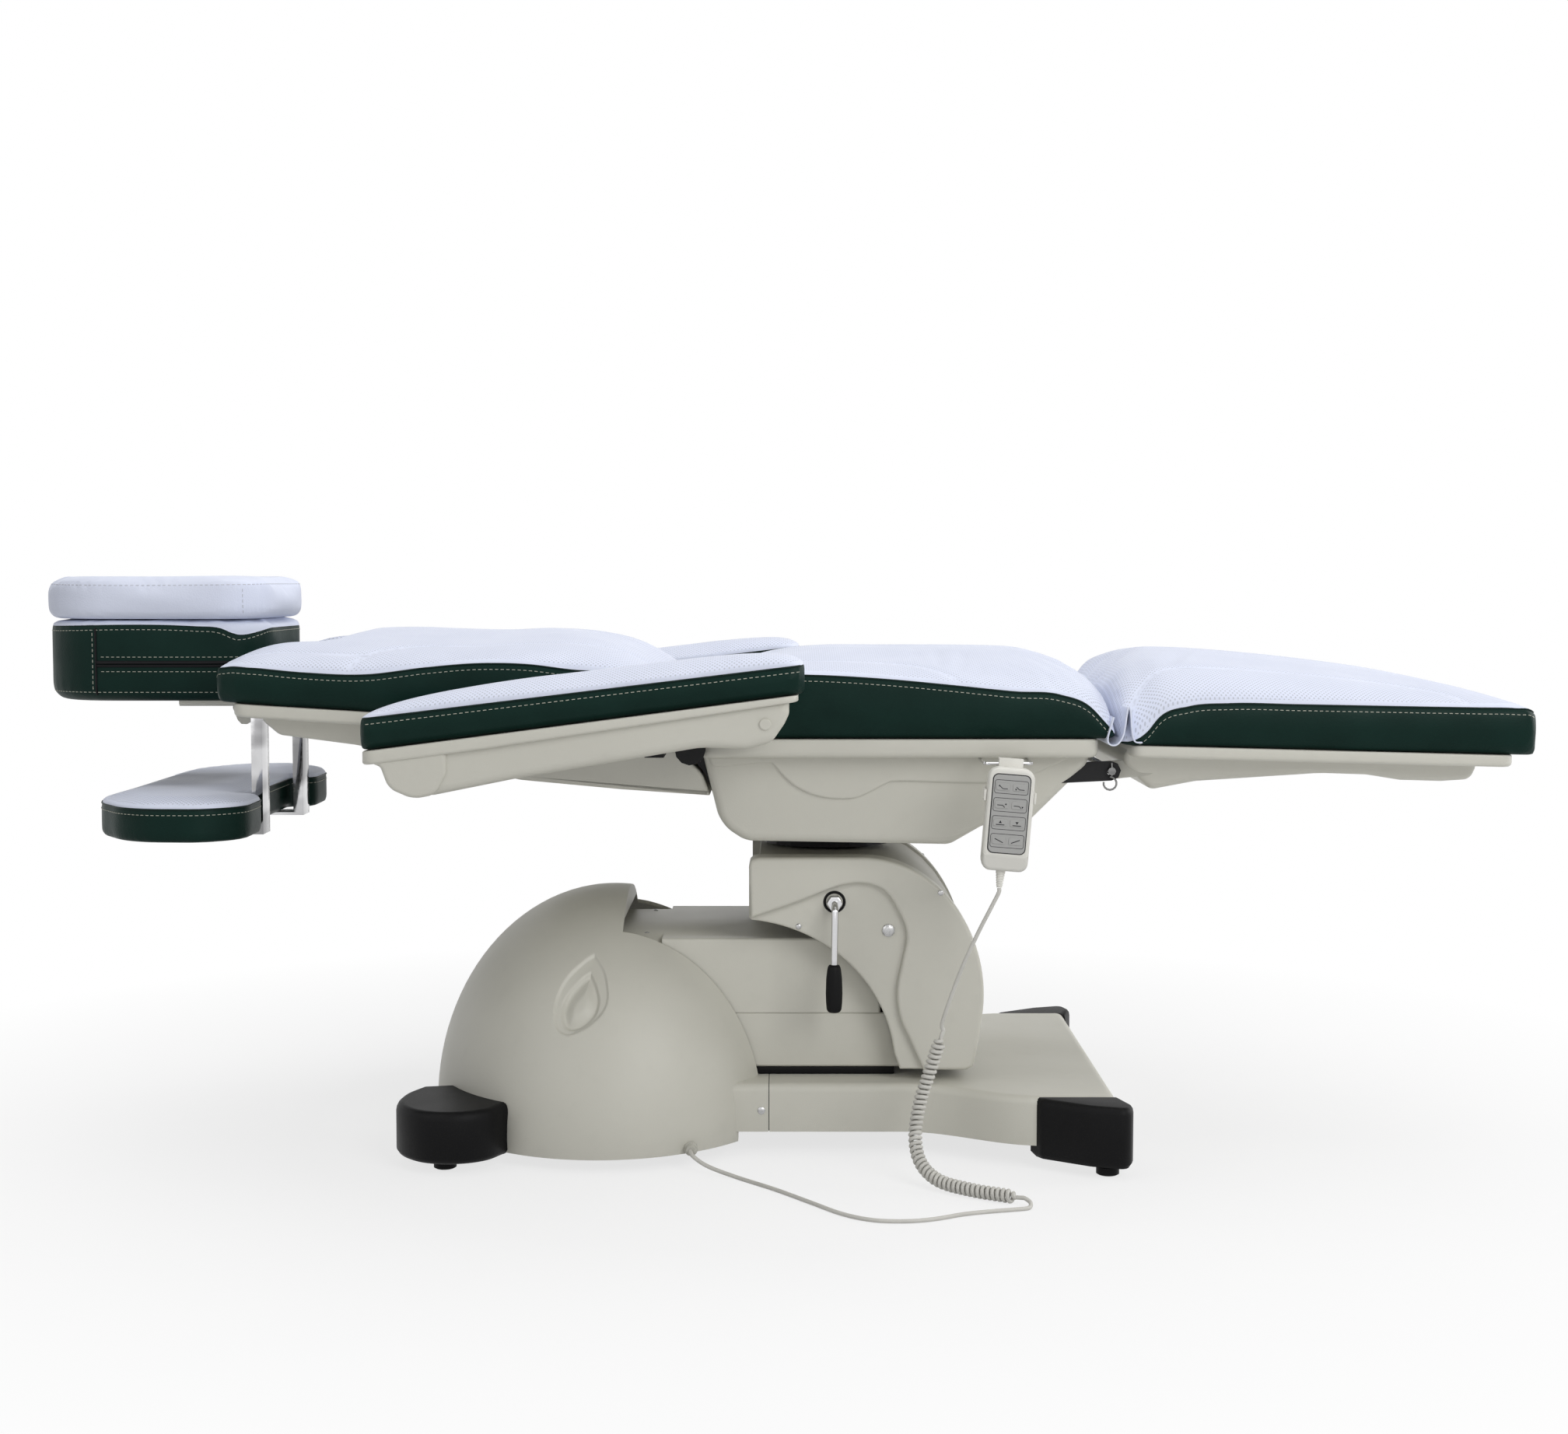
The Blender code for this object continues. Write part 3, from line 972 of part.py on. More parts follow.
leg_cushion = cushion("leg_cushion", [
    (x, HALF - draw, leg_line(x) + 0.0002, seam, crown) for x, draw, seam, crown in [
        (0.4375, 0.010, 0.5245, 0.560), (0.442, 0.003, 0.5255, 0.597), (0.452, 0, 0.527, 0.617), (0.470, 0, 0.538, 0.626),
        (0.485, 0, 0.556, 0.629), (0.52, 0, 0.569, 0.6305), (0.57, 0, 0.5727, 0.628), (0.65, 0, 0.5715, 0.620),
        (0.73, 0, 0.570, 0.611), (0.81, 0, 0.5685, 0.600), (0.87, 0, 0.5675, 0.591), (0.915, 0, 0.5665, 0.581),
        (BED_FOOT - 0.008, 0.002, 0.5645, 0.573), (BED_FOOT, 0.009, 0.5595, 0.5635)]], "white")

CLIP_Y = -LUG_Y - 0.0105
hinge_pin = pin_along_y("hinge_pin", LEG_HINGE, -LUG_Y - 0.013, LUG_Y + 0.013, LEG_PIN_R, "chrome")
clip_turns = [math.tau * k / 14 for k in range(12)]
clip = [(LEG_HINGE[0], CLIP_Y, LEG_HINGE[1] + 0.010), (LEG_HINGE[0], CLIP_Y, LEG_HINGE[1] - 0.006)]
clip += [(LEG_HINGE[0] - 0.002 + 0.008 * math.sin(t), CLIP_Y, LEG_HINGE[1] - 0.015 + 0.008 * math.cos(t)) for t in clip_turns]
join(hinge_pin, tube("spring_clip", clip, 0.0012, None, 1))

# Handset: case, keypad sheet, eight keys and strain relief, leaning in its holder
PLACE = Matrix.Translation((HANDSET_X, HANDSET_Y, HANDSET_Z)) @ Matrix.Rotation(HANDSET_LEAN, 4, "Y")
FACE = HANDSET_DEEP / 2
SHEET_T = 0.0012
KEY_WIDE, KEY_TALL = 0.0165, 0.0088
KEY_STEP = 0.0212
SHEET_Z = 0.007


def handset_plan(wide, tall, corner, rise=0.0):
    return rounded([(-wide / 2, rise - tall / 2, corner), (wide / 2, rise - tall / 2, corner),
                    (wide / 2, rise + tall / 2, corner), (-wide / 2, rise + tall / 2, corner)], 4)


handset_body = slab("handset_body", handset_plan(HANDSET_WIDE, HANDSET_TALL, 0.013), -FACE, FACE, 0.004, 0.004, "handset")
handset_keypad = prism("handset_keypad", handset_plan(0.043, 0.092, 0.006, SHEET_Z), -FACE - GAP - SHEET_T, -FACE - GAP,
                       "keypad")
keys = []
for row in range(KEY_ROWS):
    for column, label in ((-1, "up"), (1, "down")):
        x = column * 0.0098
        z = SHEET_Z + (1.5 - row) * KEY_STEP
        spread = (x - KEY_WIDE / 2, x + KEY_WIDE / 2), (z - KEY_TALL / 2, z + KEY_TALL / 2)
        name = f"key_{row + 1}_{label}"
        keys.append(box(name, spread[0], (-FACE - 0.0026, -FACE - KEY_TRAVEL - GAP), spread[1], "keypad"))
        hole = box("hole_" + name, (spread[0][0] - GAP, spread[0][1] + GAP), (-0.1, 0.1),
                   (spread[1][0] - GAP, spread[1][1] + GAP))
        moved(hole, PLACE)
        cut(handset_keypad, hole)
RELIEF_LOW = -HANDSET_TALL / 2 - 0.021
strain_relief = turned("strain_relief", (-0.003, 0), [(RELIEF_LOW, 0.0033), (-HANDSET_TALL / 2 - 0.010, 0.0046),
                                                      (-HANDSET_TALL / 2 - GAP, 0.0056)], "cord", 12)

# Handset: clip-on holder hung by its strap on a chrome wire under the seat's lip
BACK = FACE + GAP
handset_holder = box("handset_holder", (-0.020, 0.020), (BACK, BACK + 0.003), (0.0, 0.050), "handset")
WIRE_R = 0.002
strap = [(BACK + 0.0006, 0.040), (BACK + 0.0024, 0.040), (BACK + 0.0024, 0.068), (BACK + 0.012, 0.068),
         (BACK + 0.012, 0.052), (BACK + 0.0145, 0.052), (BACK + 0.0145, 0.0705), (BACK + 0.0006, 0.0705)]
clip_out = HANDSET_WIDE / 2 + GAP
join(
    handset_holder,
    box("holder_wings", (-clip_out - 0.0015, clip_out + 0.0015), (BACK + 0.0005, BACK + 0.0025), (0.018, 0.036)),
    box("holder_clip_left", (-clip_out - 0.003, -clip_out), (-0.007, BACK + 0.0015), (0.0205, 0.0335)),
    box("holder_clip_right", (clip_out, clip_out + 0.003), (-0.007, BACK + 0.0015), (0.0205, 0.0335)),
    prism("holder_strap", strap, -0.0145, 0.0145, None, "YZ"),
)
for piece in [handset_body, handset_keypad, strain_relief, handset_holder] + keys:
    moved(piece, PLACE)
for step in handset_holder.modifiers:
    moved(step.object, PLACE)
wire_y = HANDSET_Y + BACK + 0.0075
wire_z = PAN_LIP_BOTTOM - WIRE_R - GAP
handset_hook = tube("handset_hook", [(0.270, -PAN_HALF - GAP, wire_z), (0.270, wire_y + 0.007, wire_z),
                                     (0.2715, wire_y + 0.002, wire_z), (0.276, wire_y, wire_z), (0.320, wire_y, wire_z),
                                     (0.3245, wire_y + 0.002, wire_z), (0.326, wire_y + 0.007, wire_z),
                                     (0.326, -PAN_HALF - GAP, wire_z)], WIRE_R, "chrome")

# Cord: hanging stretch, curly stretch and the stretch on the floor to the gland
cord_start = PLACE @ Vector((-0.003, 0, RELIEF_LOW - 2 * GAP))
cord_lead = PLACE @ Vector((-0.003, 0, RELIEF_LOW - 2 * GAP - 2 * CORD_R))
coil_path = through([(0.2205, -0.300, 0.168), (0.208, -0.303, 0.130), (0.195, -0.310, 0.090), (0.189, -0.325, 0.053),
                     (0.195, -0.345, 0.027), (0.215, -0.368, 0.0125), (0.250, -0.395, 0.0092), (0.285, -0.4165, 0.009),
                     (0.300, -0.425, 0.009)], 12)
coil_way = (Vector(coil_path[1]) - Vector(coil_path[0])).normalized()
coil_lead_in = Vector(coil_path[0]) - coil_way * (2 * COIL_WIRE_R + 2 * GAP)
hang = through([tuple(cord_start), tuple(cord_lead), (0.277, -0.342, 0.334), (0.262, -0.335, 0.302), (0.244, -0.324, 0.258),
                (0.229, -0.311, 0.212), (0.2222, -0.3013, 0.186), tuple(coil_lead_in - coil_way * 2 * CORD_R), tuple(coil_lead_in)], 3)
cord_hang = tube("cord_hang", hang, CORD_R, "cord", 2)


def along_path(path, spacing):
    """Evenly spaced points along a path of points, with the direction at each."""
    path = [Vector(p) for p in path]
    lengths = [0.0]
    for one, two in zip(path, path[1:]):
        lengths.append(lengths[-1] + (two - one).length)
    count = int(lengths[-1] / spacing)
    out = []
    part = 0
    for k in range(count + 1):
        at = lengths[-1] * k / count
        while part < len(path) - 2 and lengths[part + 1] < at:
            part += 1
        share = (at - lengths[part]) / (lengths[part + 1] - lengths[part])
        out.append((path[part].lerp(path[part + 1], share), (path[part + 1] - path[part]).normalized()))
    return out


path_length = sum((Vector(b) - Vector(a)).length for a, b in zip(coil_path, coil_path[1:]))
coil_steps = along_path(coil_path, path_length / (COIL_TURNS * COIL_POINTS))
side_way = Vector((0, 1, 0))
coil = []
for k, (middle, way) in enumerate(coil_steps):
    side_way = (side_way - way * side_way.dot(way)).normalized()
    up_way = way.cross(side_way)
    edge = min(k, len(coil_steps) - 1 - k) / COIL_POINTS
    radius = COIL_R * min(1.0, edge)
    turn = math.tau * k / COIL_POINTS
    coil.append(middle + radius * (side_way * math.cos(turn) + up_way * math.sin(turn)))
coil = [coil_steps[0][0] - coil_steps[0][1] * 2 * COIL_WIRE_R] + coil
coil += [coil_steps[-1][0] + coil_steps[-1][1] * 2 * COIL_WIRE_R]
apart = min((one - two).length for i, one in enumerate(coil) for two in coil[i + COIL_POINTS - 3:])
print(f"coil: least gap between its turns {1000 * (apart - 2 * COIL_WIRE_R):.2f} mm")
cord_coil = tube("cord_coil", [tuple(p) for p in coil], COIL_WIRE_R, "cord", 1)
coil_end = coil[-1] + coil_steps[-1][1] * 2 * GAP
floor_z = CORD_R + 0.0003
coil_lead = coil_end + coil_steps[-1][1] * 2 * CORD_R
floor = through([tuple(coil_end), tuple(coil_lead), (0.3150, -0.4375, 0.006), (0.3125, -0.4475, floor_z),
                 (0.2995, -0.4535, floor_z), (0.2680, -0.4620, floor_z), (0.2364, -0.473, floor_z), (0.2000, -0.4930, floor_z), (0.1686, -0.5010, floor_z),
                 (0.1320, -0.4970, floor_z), (0.0980, -0.4730, floor_z), (0.0600, -0.4230, floor_z), (0.0200, -0.3700, floor_z),
                 (-0.0250, -0.3180, floor_z), (-0.0600, -0.2960, 0.010), (-0.0780, -0.2845, 0.0185),
                 (GLAND[0], GLAND[1] - 2 * GAP - 2 * CORD_R, GLAND[2]), (GLAND[0], GLAND[1] - 2 * GAP, GLAND[2])], 2)
cord_floor = tube("cord_floor", floor, CORD_R, "cord", 2)
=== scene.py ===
"""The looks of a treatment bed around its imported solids: moulded shells, sewn vinyl cushions, chrome, handset and cord.

Run as a script in Blender 4.5. Metres, +Z up, +X to the foot end, +Y to the far side.
"""

import math

import bmesh
import bpy
import numpy as np
from mathutils import Matrix, Vector
from mathutils.bvhtree import BVHTree


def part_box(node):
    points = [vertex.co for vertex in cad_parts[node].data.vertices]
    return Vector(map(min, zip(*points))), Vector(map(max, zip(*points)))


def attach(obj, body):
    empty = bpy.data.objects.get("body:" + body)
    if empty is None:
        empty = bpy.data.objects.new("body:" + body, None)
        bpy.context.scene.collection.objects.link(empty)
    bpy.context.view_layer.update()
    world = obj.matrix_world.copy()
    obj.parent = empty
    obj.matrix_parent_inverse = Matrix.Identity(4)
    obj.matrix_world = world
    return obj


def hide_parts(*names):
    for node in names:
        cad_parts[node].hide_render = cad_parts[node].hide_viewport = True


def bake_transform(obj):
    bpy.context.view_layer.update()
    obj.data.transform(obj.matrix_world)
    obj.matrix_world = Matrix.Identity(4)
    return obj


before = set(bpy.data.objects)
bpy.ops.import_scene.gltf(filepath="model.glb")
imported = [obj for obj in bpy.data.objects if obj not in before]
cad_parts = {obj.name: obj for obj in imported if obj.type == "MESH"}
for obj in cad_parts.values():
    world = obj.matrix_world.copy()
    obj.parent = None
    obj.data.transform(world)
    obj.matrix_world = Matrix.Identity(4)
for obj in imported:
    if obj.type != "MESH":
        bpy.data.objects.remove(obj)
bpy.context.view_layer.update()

bl_info = {
    "name": "Treatment bed looks",
    "version": (1, 0, 0),
    "blender": (4, 5, 0),
    "location": "View3D > Sidebar > Bed",
    "description": "Dresses the packed treatment bed with shells, cushions, cord and finishes",
    "category": "Object",
}

# Sizes that the solids share with these pieces
PAN_HALF = 0.250
LIP_HALF = 0.280
CUSHION_HALF = 0.288
DOME_MIDDLE = Vector((-0.197, 0.0, 0.035))
DOME_SIZE = Vector((0.233, 0.29, 0.279))
PLATE_TOP = 0.089
PLATE_BOTTOM = 0.029
HEAD_TOP = 0.374
HEAD_BOTTOM = 0.104
HEAD_INNER = 0.150
HEAD_PANEL = 0.180
HEAD_HALF = 0.190
LEVER_X, LEVER_Z = 0.095, 0.317
HANDSET_PLACE = Matrix.Translation((0.2955, -0.345, 0.4395)) @ Matrix.Rotation(math.radians(4.6), 4, "Y")
WALL = 0.004
ARM_HALF = 0.1435
SIDES = ((-1, "near"), (1, "far"))

# The photograph's camera
EYE = (0.0315, -2.94, 0.7175)
EYE_DOWN_DEGREES = 3.47
SENSOR_WIDTH = 36.0
FOCAL_PIXELS, PHOTO_WIDTH = 2840.0, 2016.0


def chosen(name):
    """One of the user's sizes in metres, as it was written."""
    return round(getattr(bpy.context.scene.bed_sizes, name), 6)


# Materials


def shade(colour, share=1.0):
    """A colour, darker by a share, as a colour socket takes it."""
    return (*[c * share for c in colour], 1.0)


def socket(group, name, kind, way, default=None):
    """Adds a named input or output to a node group."""
    made = group.interface.new_socket(name=name, in_out=way, socket_type=kind)
    if default is not None:
        made.default_value = default
    return made


class Wires:
    """Adds nodes to a tree and joins them up."""

    def __init__(self, tree):
        self.tree = tree

    def node(self, kind, **values):
        made = self.tree.nodes.new(kind)
        for key, value in values.items():
            setattr(made, key, value)
        return made

    def join(self, out, into):
        self.tree.links.new(out, into)

    def feed(self, node, key, value):
        """Sets a socket to a number or a colour, or joins an output to it."""
        target = node.inputs[key]
        if isinstance(value, bpy.types.NodeSocket):
            self.join(value, target)
        else:
            target.default_value = value

    def math(self, operation, one, two=0.0, three=0.0):
        made = self.node("ShaderNodeMath", operation=operation)
        for key, value in enumerate((one, two, three)):
            self.feed(made, key, value)
        return made.outputs[0]

    def spread(self, value, low, high, to_low=0.0, to_high=1.0):
        made = self.node("ShaderNodeMapRange")
        for key, number in enumerate((value, low, high, to_low, to_high)):
            self.feed(made, key, number)
        return made.outputs[0]

    def mix(self, share, one, two):
        made = self.node("ShaderNodeMix", data_type="RGBA")
        for key, value in ((0, share), (6, one), (7, two)):
            self.feed(made, key, value)
        return made.outputs[2]

    def noise(self, vector, scale, detail=2.0):
        made = self.node("ShaderNodeTexNoise")
        self.feed(made, "Vector", vector)
        self.feed(made, "Scale", scale)
        self.feed(made, "Detail", detail)
        return made.outputs["Fac"]


def moulded_group():
    """Fine spark-eroded texture and faint tone changes of moulded plastic."""
    group = bpy.data.node_groups.new("moulded_surface", "ShaderNodeTree")
    socket(group, "Colour", "NodeSocketColor", "INPUT", (0.6, 0.6, 0.55, 1.0))
    socket(group, "Grain", "NodeSocketFloat", "INPUT", 700.0)
    socket(group, "Roughness", "NodeSocketFloat", "INPUT", 0.45)
    socket(group, "Soil", "NodeSocketFloat", "INPUT", 0.1)
    for name, kind in (("Colour", "Color"), ("Roughness", "Float"), ("Height", "Float")):
        socket(group, name, "NodeSocket" + kind, "OUTPUT")
    w = Wires(group)
    into = w.node("NodeGroupInput").outputs
    out = w.node("NodeGroupOutput")
    where = w.node("ShaderNodeTexCoord").outputs["Object"]
    fine = w.noise(where, into["Grain"], 3.0)
    broad = w.noise(where, 5.0, 4.0)
    marks = w.spread(w.noise(where, 38.0, 5.0), 0.56, 0.78)
    dark = w.node("ShaderNodeHueSaturation")
    w.feed(dark, "Value", 0.72)
    w.feed(dark, "Color", into["Colour"])
    cloudy = w.math("MULTIPLY", w.spread(broad, 0.3, 0.7), into["Soil"])
    marked = w.math("MULTIPLY", marks, w.math("MULTIPLY", into["Soil"], 0.8))
    toned = w.mix(cloudy, into["Colour"], dark.outputs["Color"])
    w.feed(out, "Colour", w.mix(marked, toned, dark.outputs["Color"]))
    w.feed(out, "Roughness", w.math("ADD", into["Roughness"], w.spread(broad, 0.3, 0.7, -0.05, 0.07)))
    w.feed(out, "Height", fine)
    return group


def vinyl_group():
    """Pebbled grain of upholstery vinyl, with its faint creases."""
    group = bpy.data.node_groups.new("vinyl_grain", "ShaderNodeTree")
    socket(group, "Scale", "NodeSocketFloat", "INPUT", 520.0)
    for name in ("Height", "Tone"):
        socket(group, name, "NodeSocketFloat", "OUTPUT")
    w = Wires(group)
    into = w.node("NodeGroupInput").outputs
    out = w.node("NodeGroupOutput")
    where = w.node("ShaderNodeTexCoord").outputs["Object"]
    cells = w.node("ShaderNodeTexVoronoi", feature="SMOOTH_F1")
    w.feed(cells, "Vector", where)
    w.feed(cells, "Scale", into["Scale"])
    creases = w.noise(where, 60.0, 5.0)
    w.feed(out, "Height", w.math("ADD", cells.outputs["Distance"], w.math("MULTIPLY", creases, 0.8)))
    w.feed(out, "Tone", w.noise(where, 14.0, 4.0))
    return group


def perforation_group():
    """Staggered rows of small punched holes on the cushions' tops: 1 in a hole and 0 elsewhere."""
    group = bpy.data.node_groups.new("perforation", "ShaderNodeTree")
    socket(group, "Pitch", "NodeSocketFloat", "INPUT", 0.0056)
    socket(group, "Hole", "NodeSocketFloat", "INPUT", 0.2)
    socket(group, "Mask", "NodeSocketFloat", "OUTPUT")
    w = Wires(group)
    into = w.node("NodeGroupInput").outputs
    out = w.node("NodeGroupOutput")
    where = w.node("ShaderNodeTexCoord").outputs["Object"]
    parts = w.node("ShaderNodeSeparateXYZ")
    w.join(where, parts.inputs[0])
    rows = []
    for shift in (0.0, 0.5):
        sides = []
        for axis in (0, 1):
            along = w.math("ADD", w.math("DIVIDE", parts.outputs[axis], into["Pitch"]), 100.0 + shift)
            sides.append(w.math("SUBTRACT", w.math("FRACT", along), 0.5))
        apart = w.math("SQRT", w.math("ADD", w.math("POWER", sides[0], 2.0), w.math("POWER", sides[1], 2.0)))
        rows.append(w.math("LESS_THAN", apart, into["Hole"]))
    w.feed(out, "Mask", w.math("MAXIMUM", rows[0], rows[1]))
    return group


GROUPS = {"moulded": moulded_group(), "vinyl": vinyl_group(), "perforation": perforation_group()}


def blank_look(name, colour, roughness, metallic=0.0, shine=0.4):
    """A new material with its constants set, the wires of its tree and its shader."""
    made = bpy.data.materials.new(name)
    made.use_nodes = True
    shader = made.node_tree.nodes["Principled BSDF"]
    shader.inputs["Base Color"].default_value = shade(colour)
    shader.inputs["Roughness"].default_value = roughness
    shader.inputs["Metallic"].default_value = metallic
    shader.inputs["Specular IOR Level"].default_value = shine
    made.diffuse_color = shade(colour)
    return made, Wires(made.node_tree), shader


def bump(w, shader, height, strength, distance):
    """Raises a shader's surface by a height."""
    made = w.node("ShaderNodeBump")
    w.feed(made, "Strength", strength)
    w.feed(made, "Distance", distance)
    w.feed(made, "Height", height)
    w.join(made.outputs["Normal"], shader.inputs["Normal"])


def moulded_look(name, colour, roughness, grain, depth, soil=0.12, shine=0.4):
    """Moulded or painted plastic with a fine grain."""
    made, w, shader = blank_look(name, colour, roughness, 0.0, shine)
    surface = w.node("ShaderNodeGroup", node_tree=GROUPS["moulded"])
    for key, value in (("Colour", shade(colour)), ("Grain", grain), ("Roughness", roughness), ("Soil", soil)):
        w.feed(surface, key, value)
    w.join(surface.outputs["Colour"], shader.inputs["Base Color"])
    w.join(surface.outputs["Roughness"], shader.inputs["Roughness"])
    bump(w, shader, surface.outputs["Height"], 0.35, depth)
    return made


def metal_look(name, colour, roughness):
    """Plated or painted metal with faint rubbing marks along X in its roughness, and dark bands of painted reflection
    across its colour.
    """
    made, w, shader = blank_look(name, colour, roughness, 1.0)
    where = w.node("ShaderNodeTexCoord").outputs["Object"]
    stretch = w.node("ShaderNodeMapping")
    w.feed(stretch, "Scale", (20.0, 300.0, 300.0))
    w.join(where, stretch.inputs["Vector"])
    rubbed = w.noise(stretch.outputs[0], 1.0, 4.0)
    w.join(w.spread(rubbed, 0.35, 0.7, roughness * 0.7, roughness * 1.8), shader.inputs["Roughness"])
    # Painted reflection: dark bands, stretched along X, stand in for the surroundings mirrored in the metal.
    reflection_bands = w.node("ShaderNodeMapping")
    w.feed(reflection_bands, "Scale", (6.0, 3.0, 26.0))
    w.join(where, reflection_bands.inputs["Vector"])
    painted_reflection = w.spread(w.noise(reflection_bands.outputs[0], 1.0, 1.0), 0.44, 0.58)
    w.join(w.mix(painted_reflection, shade(colour), shade(colour, 0.40)), shader.inputs["Base Color"])
    return made


def vinyl_look(name, green, white, punched=True):
    """White vinyl above the seam and green below it, by the piece's own heights over its seam and its sewn lines, with
    painted shade along the seam and in the sewn grooves.
    """
    made, w, shader = blank_look(name, white, 0.42, 0.0, 0.09)
    above = w.node("ShaderNodeAttribute", attribute_name="above").outputs["Fac"]
    sewn = w.node("ShaderNodeAttribute", attribute_name="sewn").outputs["Fac"]
    grain = w.node("ShaderNodeGroup", node_tree=GROUPS["vinyl"])
    w.feed(grain, "Scale", 560.0)
    holes = w.node("ShaderNodeGroup", node_tree=GROUPS["perforation"])
    top = w.math("GREATER_THAN", above, 0.0)
    field = w.math("MULTIPLY", top, w.math("GREATER_THAN", sewn, 0.004))
    clear = w.math("MULTIPLY", field, w.math("GREATER_THAN", above, 0.005))
    mask = w.math("MULTIPLY", holes.outputs["Mask"], clear)
    tone = w.spread(grain.outputs["Tone"], 0.3, 0.7)
    greens = w.mix(tone, shade(green), shade(green, 0.72))
    # Painted shade: the green darkens along the drawn-in seam beside the piping.
    welt = w.spread(w.math("ABSOLUTE", above), 0.0008, 0.0022, 0.55, 0.0)
    greens = w.mix(welt, greens, shade(green, 0.35))
    whites = w.mix(w.math("MULTIPLY", tone, 0.5), shade(white), shade(white, 0.94))
    # Painted shade: the white darkens in the grooves of the sewn lines.
    groove_shade = w.spread(sewn, 0.0004, 0.0024, 0.50, 0.0)
    whites = w.mix(groove_shade, whites, shade(white, 0.62))
    if punched:
        whites = w.mix(w.math("MULTIPLY", mask, 0.45), whites, (0.30, 0.31, 0.36, 1.0))
    w.join(w.mix(top, greens, whites), shader.inputs["Base Color"])
    w.join(w.spread(tone, 0.0, 1.0, 0.38, 0.52), shader.inputs["Roughness"])
    height = w.math("SUBTRACT", grain.outputs["Height"], w.math("MULTIPLY", mask, 1.6 if punched else 0.0))
    bump(w, shader, height, 0.30, 0.0006)
    return made


def cord_look(name, colour):
    """Sheath of a cord, or thread."""
    made, w, shader = blank_look(name, colour, 0.5)
    where = w.node("ShaderNodeTexCoord").outputs["Object"]
    tone = w.spread(w.noise(where, 30.0, 3.0), 0.3, 0.7, 0.0, 0.35)
    w.join(w.mix(tone, shade(colour), shade(colour, 0.75)), shader.inputs["Base Color"])
    w.join(w.spread(w.noise(where, 120.0), 0.3, 0.7, 0.42, 0.6), shader.inputs["Roughness"])
    bump(w, shader, w.noise(where, 1500.0), 0.15, 0.0002)
    return made


LOOKS = {}


def make_looks(colours):
    """Makes every finish of the bed, from the user's colours."""
    shell, green, white = tuple(colours.shell), tuple(colours.green), tuple(colours.white)
    # Painted shade: the handset's colour darkened for its lower part.
    chin = tuple(c * 0.86 for c in colours.handset)
    LOOKS["shell"] = moulded_look("shell_plastic", shell, 0.42, 900.0, 0.0005)
    # Painted shade: the shell plastic darkened for pieces that sit underneath and in shade.
    LOOKS["shell_under"] = moulded_look("shaded_plastic", tuple(c * 0.8 for c in shell), 0.5, 900.0, 0.0005)
    LOOKS["black"] = moulded_look("black_plastic", tuple(colours.black), 0.46, 650.0, 0.0007, 0.35, 0.10)
    LOOKS["steel"] = moulded_look("painted_steel", (0.016, 0.016, 0.017), 0.5, 400.0, 0.0003, 0.4, 0.15)
    LOOKS["chrome"] = metal_look("chrome_plate", (0.62, 0.62, 0.63), 0.10)
    LOOKS["clip"] = metal_look("clip_steel", (0.20, 0.20, 0.20), 0.3)
    LOOKS["screw"] = metal_look("screw_steel", (0.45, 0.45, 0.45), 0.25)
    LOOKS["handset"] = moulded_look("handset_plastic", tuple(colours.handset), 0.36, 1200.0, 0.0002, 0.06)
    LOOKS["keypad"] = moulded_look("keypad_film", (0.38, 0.38, 0.37), 0.5, 1500.0, 0.0002, 0.05)
    LOOKS["ink"] = moulded_look("keypad_ink", (0.012, 0.012, 0.014), 0.5, 1500.0, 0.0001, 0.0)
    LOOKS["vinyl"] = vinyl_look("sewn_vinyl", green, white)
    LOOKS["plain_vinyl"] = vinyl_look("plain_vinyl", green, white, False)
    LOOKS["thread"] = cord_look("stitch_thread", (0.44, 0.44, 0.37))
    LOOKS["white_thread"] = cord_look("white_thread", (0.58, 0.59, 0.66))
    LOOKS["zip"] = moulded_look("zip_tape", (0.004, 0.004, 0.005), 0.55, 1400.0, 0.0004, 0.1, 0.15)
    LOOKS["cord"] = cord_look("cord_sheath", tuple(colours.cord))
    LOOKS["welt"] = moulded_look("welt_vinyl", tuple(c * 0.6 for c in green), 0.45, 700.0, 0.0003, 0.2, 0.15)
    # Painted shade: the darker handset plastic for its lower part.
    LOOKS["handset_shaded"] = moulded_look("handset_shaded_plastic", chin, 0.4, 1200.0, 0.0002, 0.06)


# Mesh tools


def through(points, steps):
    """Points along a smooth curve through the given ones."""
    p = [Vector(q) for q in points]
    p = [2 * p[0] - p[1]] + p + [2 * p[-1] - p[-2]]
    out = []
    for a, b, c, d in zip(p, p[1:], p[2:], p[3:]):
        for k in range(steps):
            t = k / steps
            square = 2 * a - 5 * b + 4 * c - d
            cube = 3 * b - a - 3 * c + d
            out.append(0.5 * (2 * b + (c - a) * t + square * t * t + cube * t ** 3))
    return out + [p[-2]]


def smooth_line(points, steps=8):
    """Flat points along a smooth curve through the given ones."""
    return [(p.x, p.y) for p in through([(x, y, 0.0) for x, y in points], steps)]


def curve_value(table, x):
    """A smooth height at x from rows of (x, height)."""
    xs = [row[0] for row in table]
    zs = [row[1] for row in table]
    slopes = np.gradient(zs, xs)
    x = min(max(x, xs[0]), xs[-1])
    i = max(0, min(len(xs) - 2, int(np.searchsorted(xs, x)) - 1))
    run = xs[i + 1] - xs[i]
    t = (x - xs[i]) / run
    a, b = (2 * t ** 3 - 3 * t * t + 1), (t ** 3 - 2 * t * t + t)
    c, d = (3 * t * t - 2 * t ** 3), (t ** 3 - t * t)
    return a * zs[i] + b * run * slopes[i] + c * zs[i + 1] + d * run * slopes[i + 1]


PLANES = {
    "XZ": lambda u, v: (u, 0.0, v),
    "XY": lambda u, v: (u, v, 0.0),
    "YZ": lambda u, v: (0.0, u, v),
}
OUT = {"XZ": Vector((0, 1, 0)), "XY": Vector((0, 0, 1)), "YZ": Vector((1, 0, 0))}


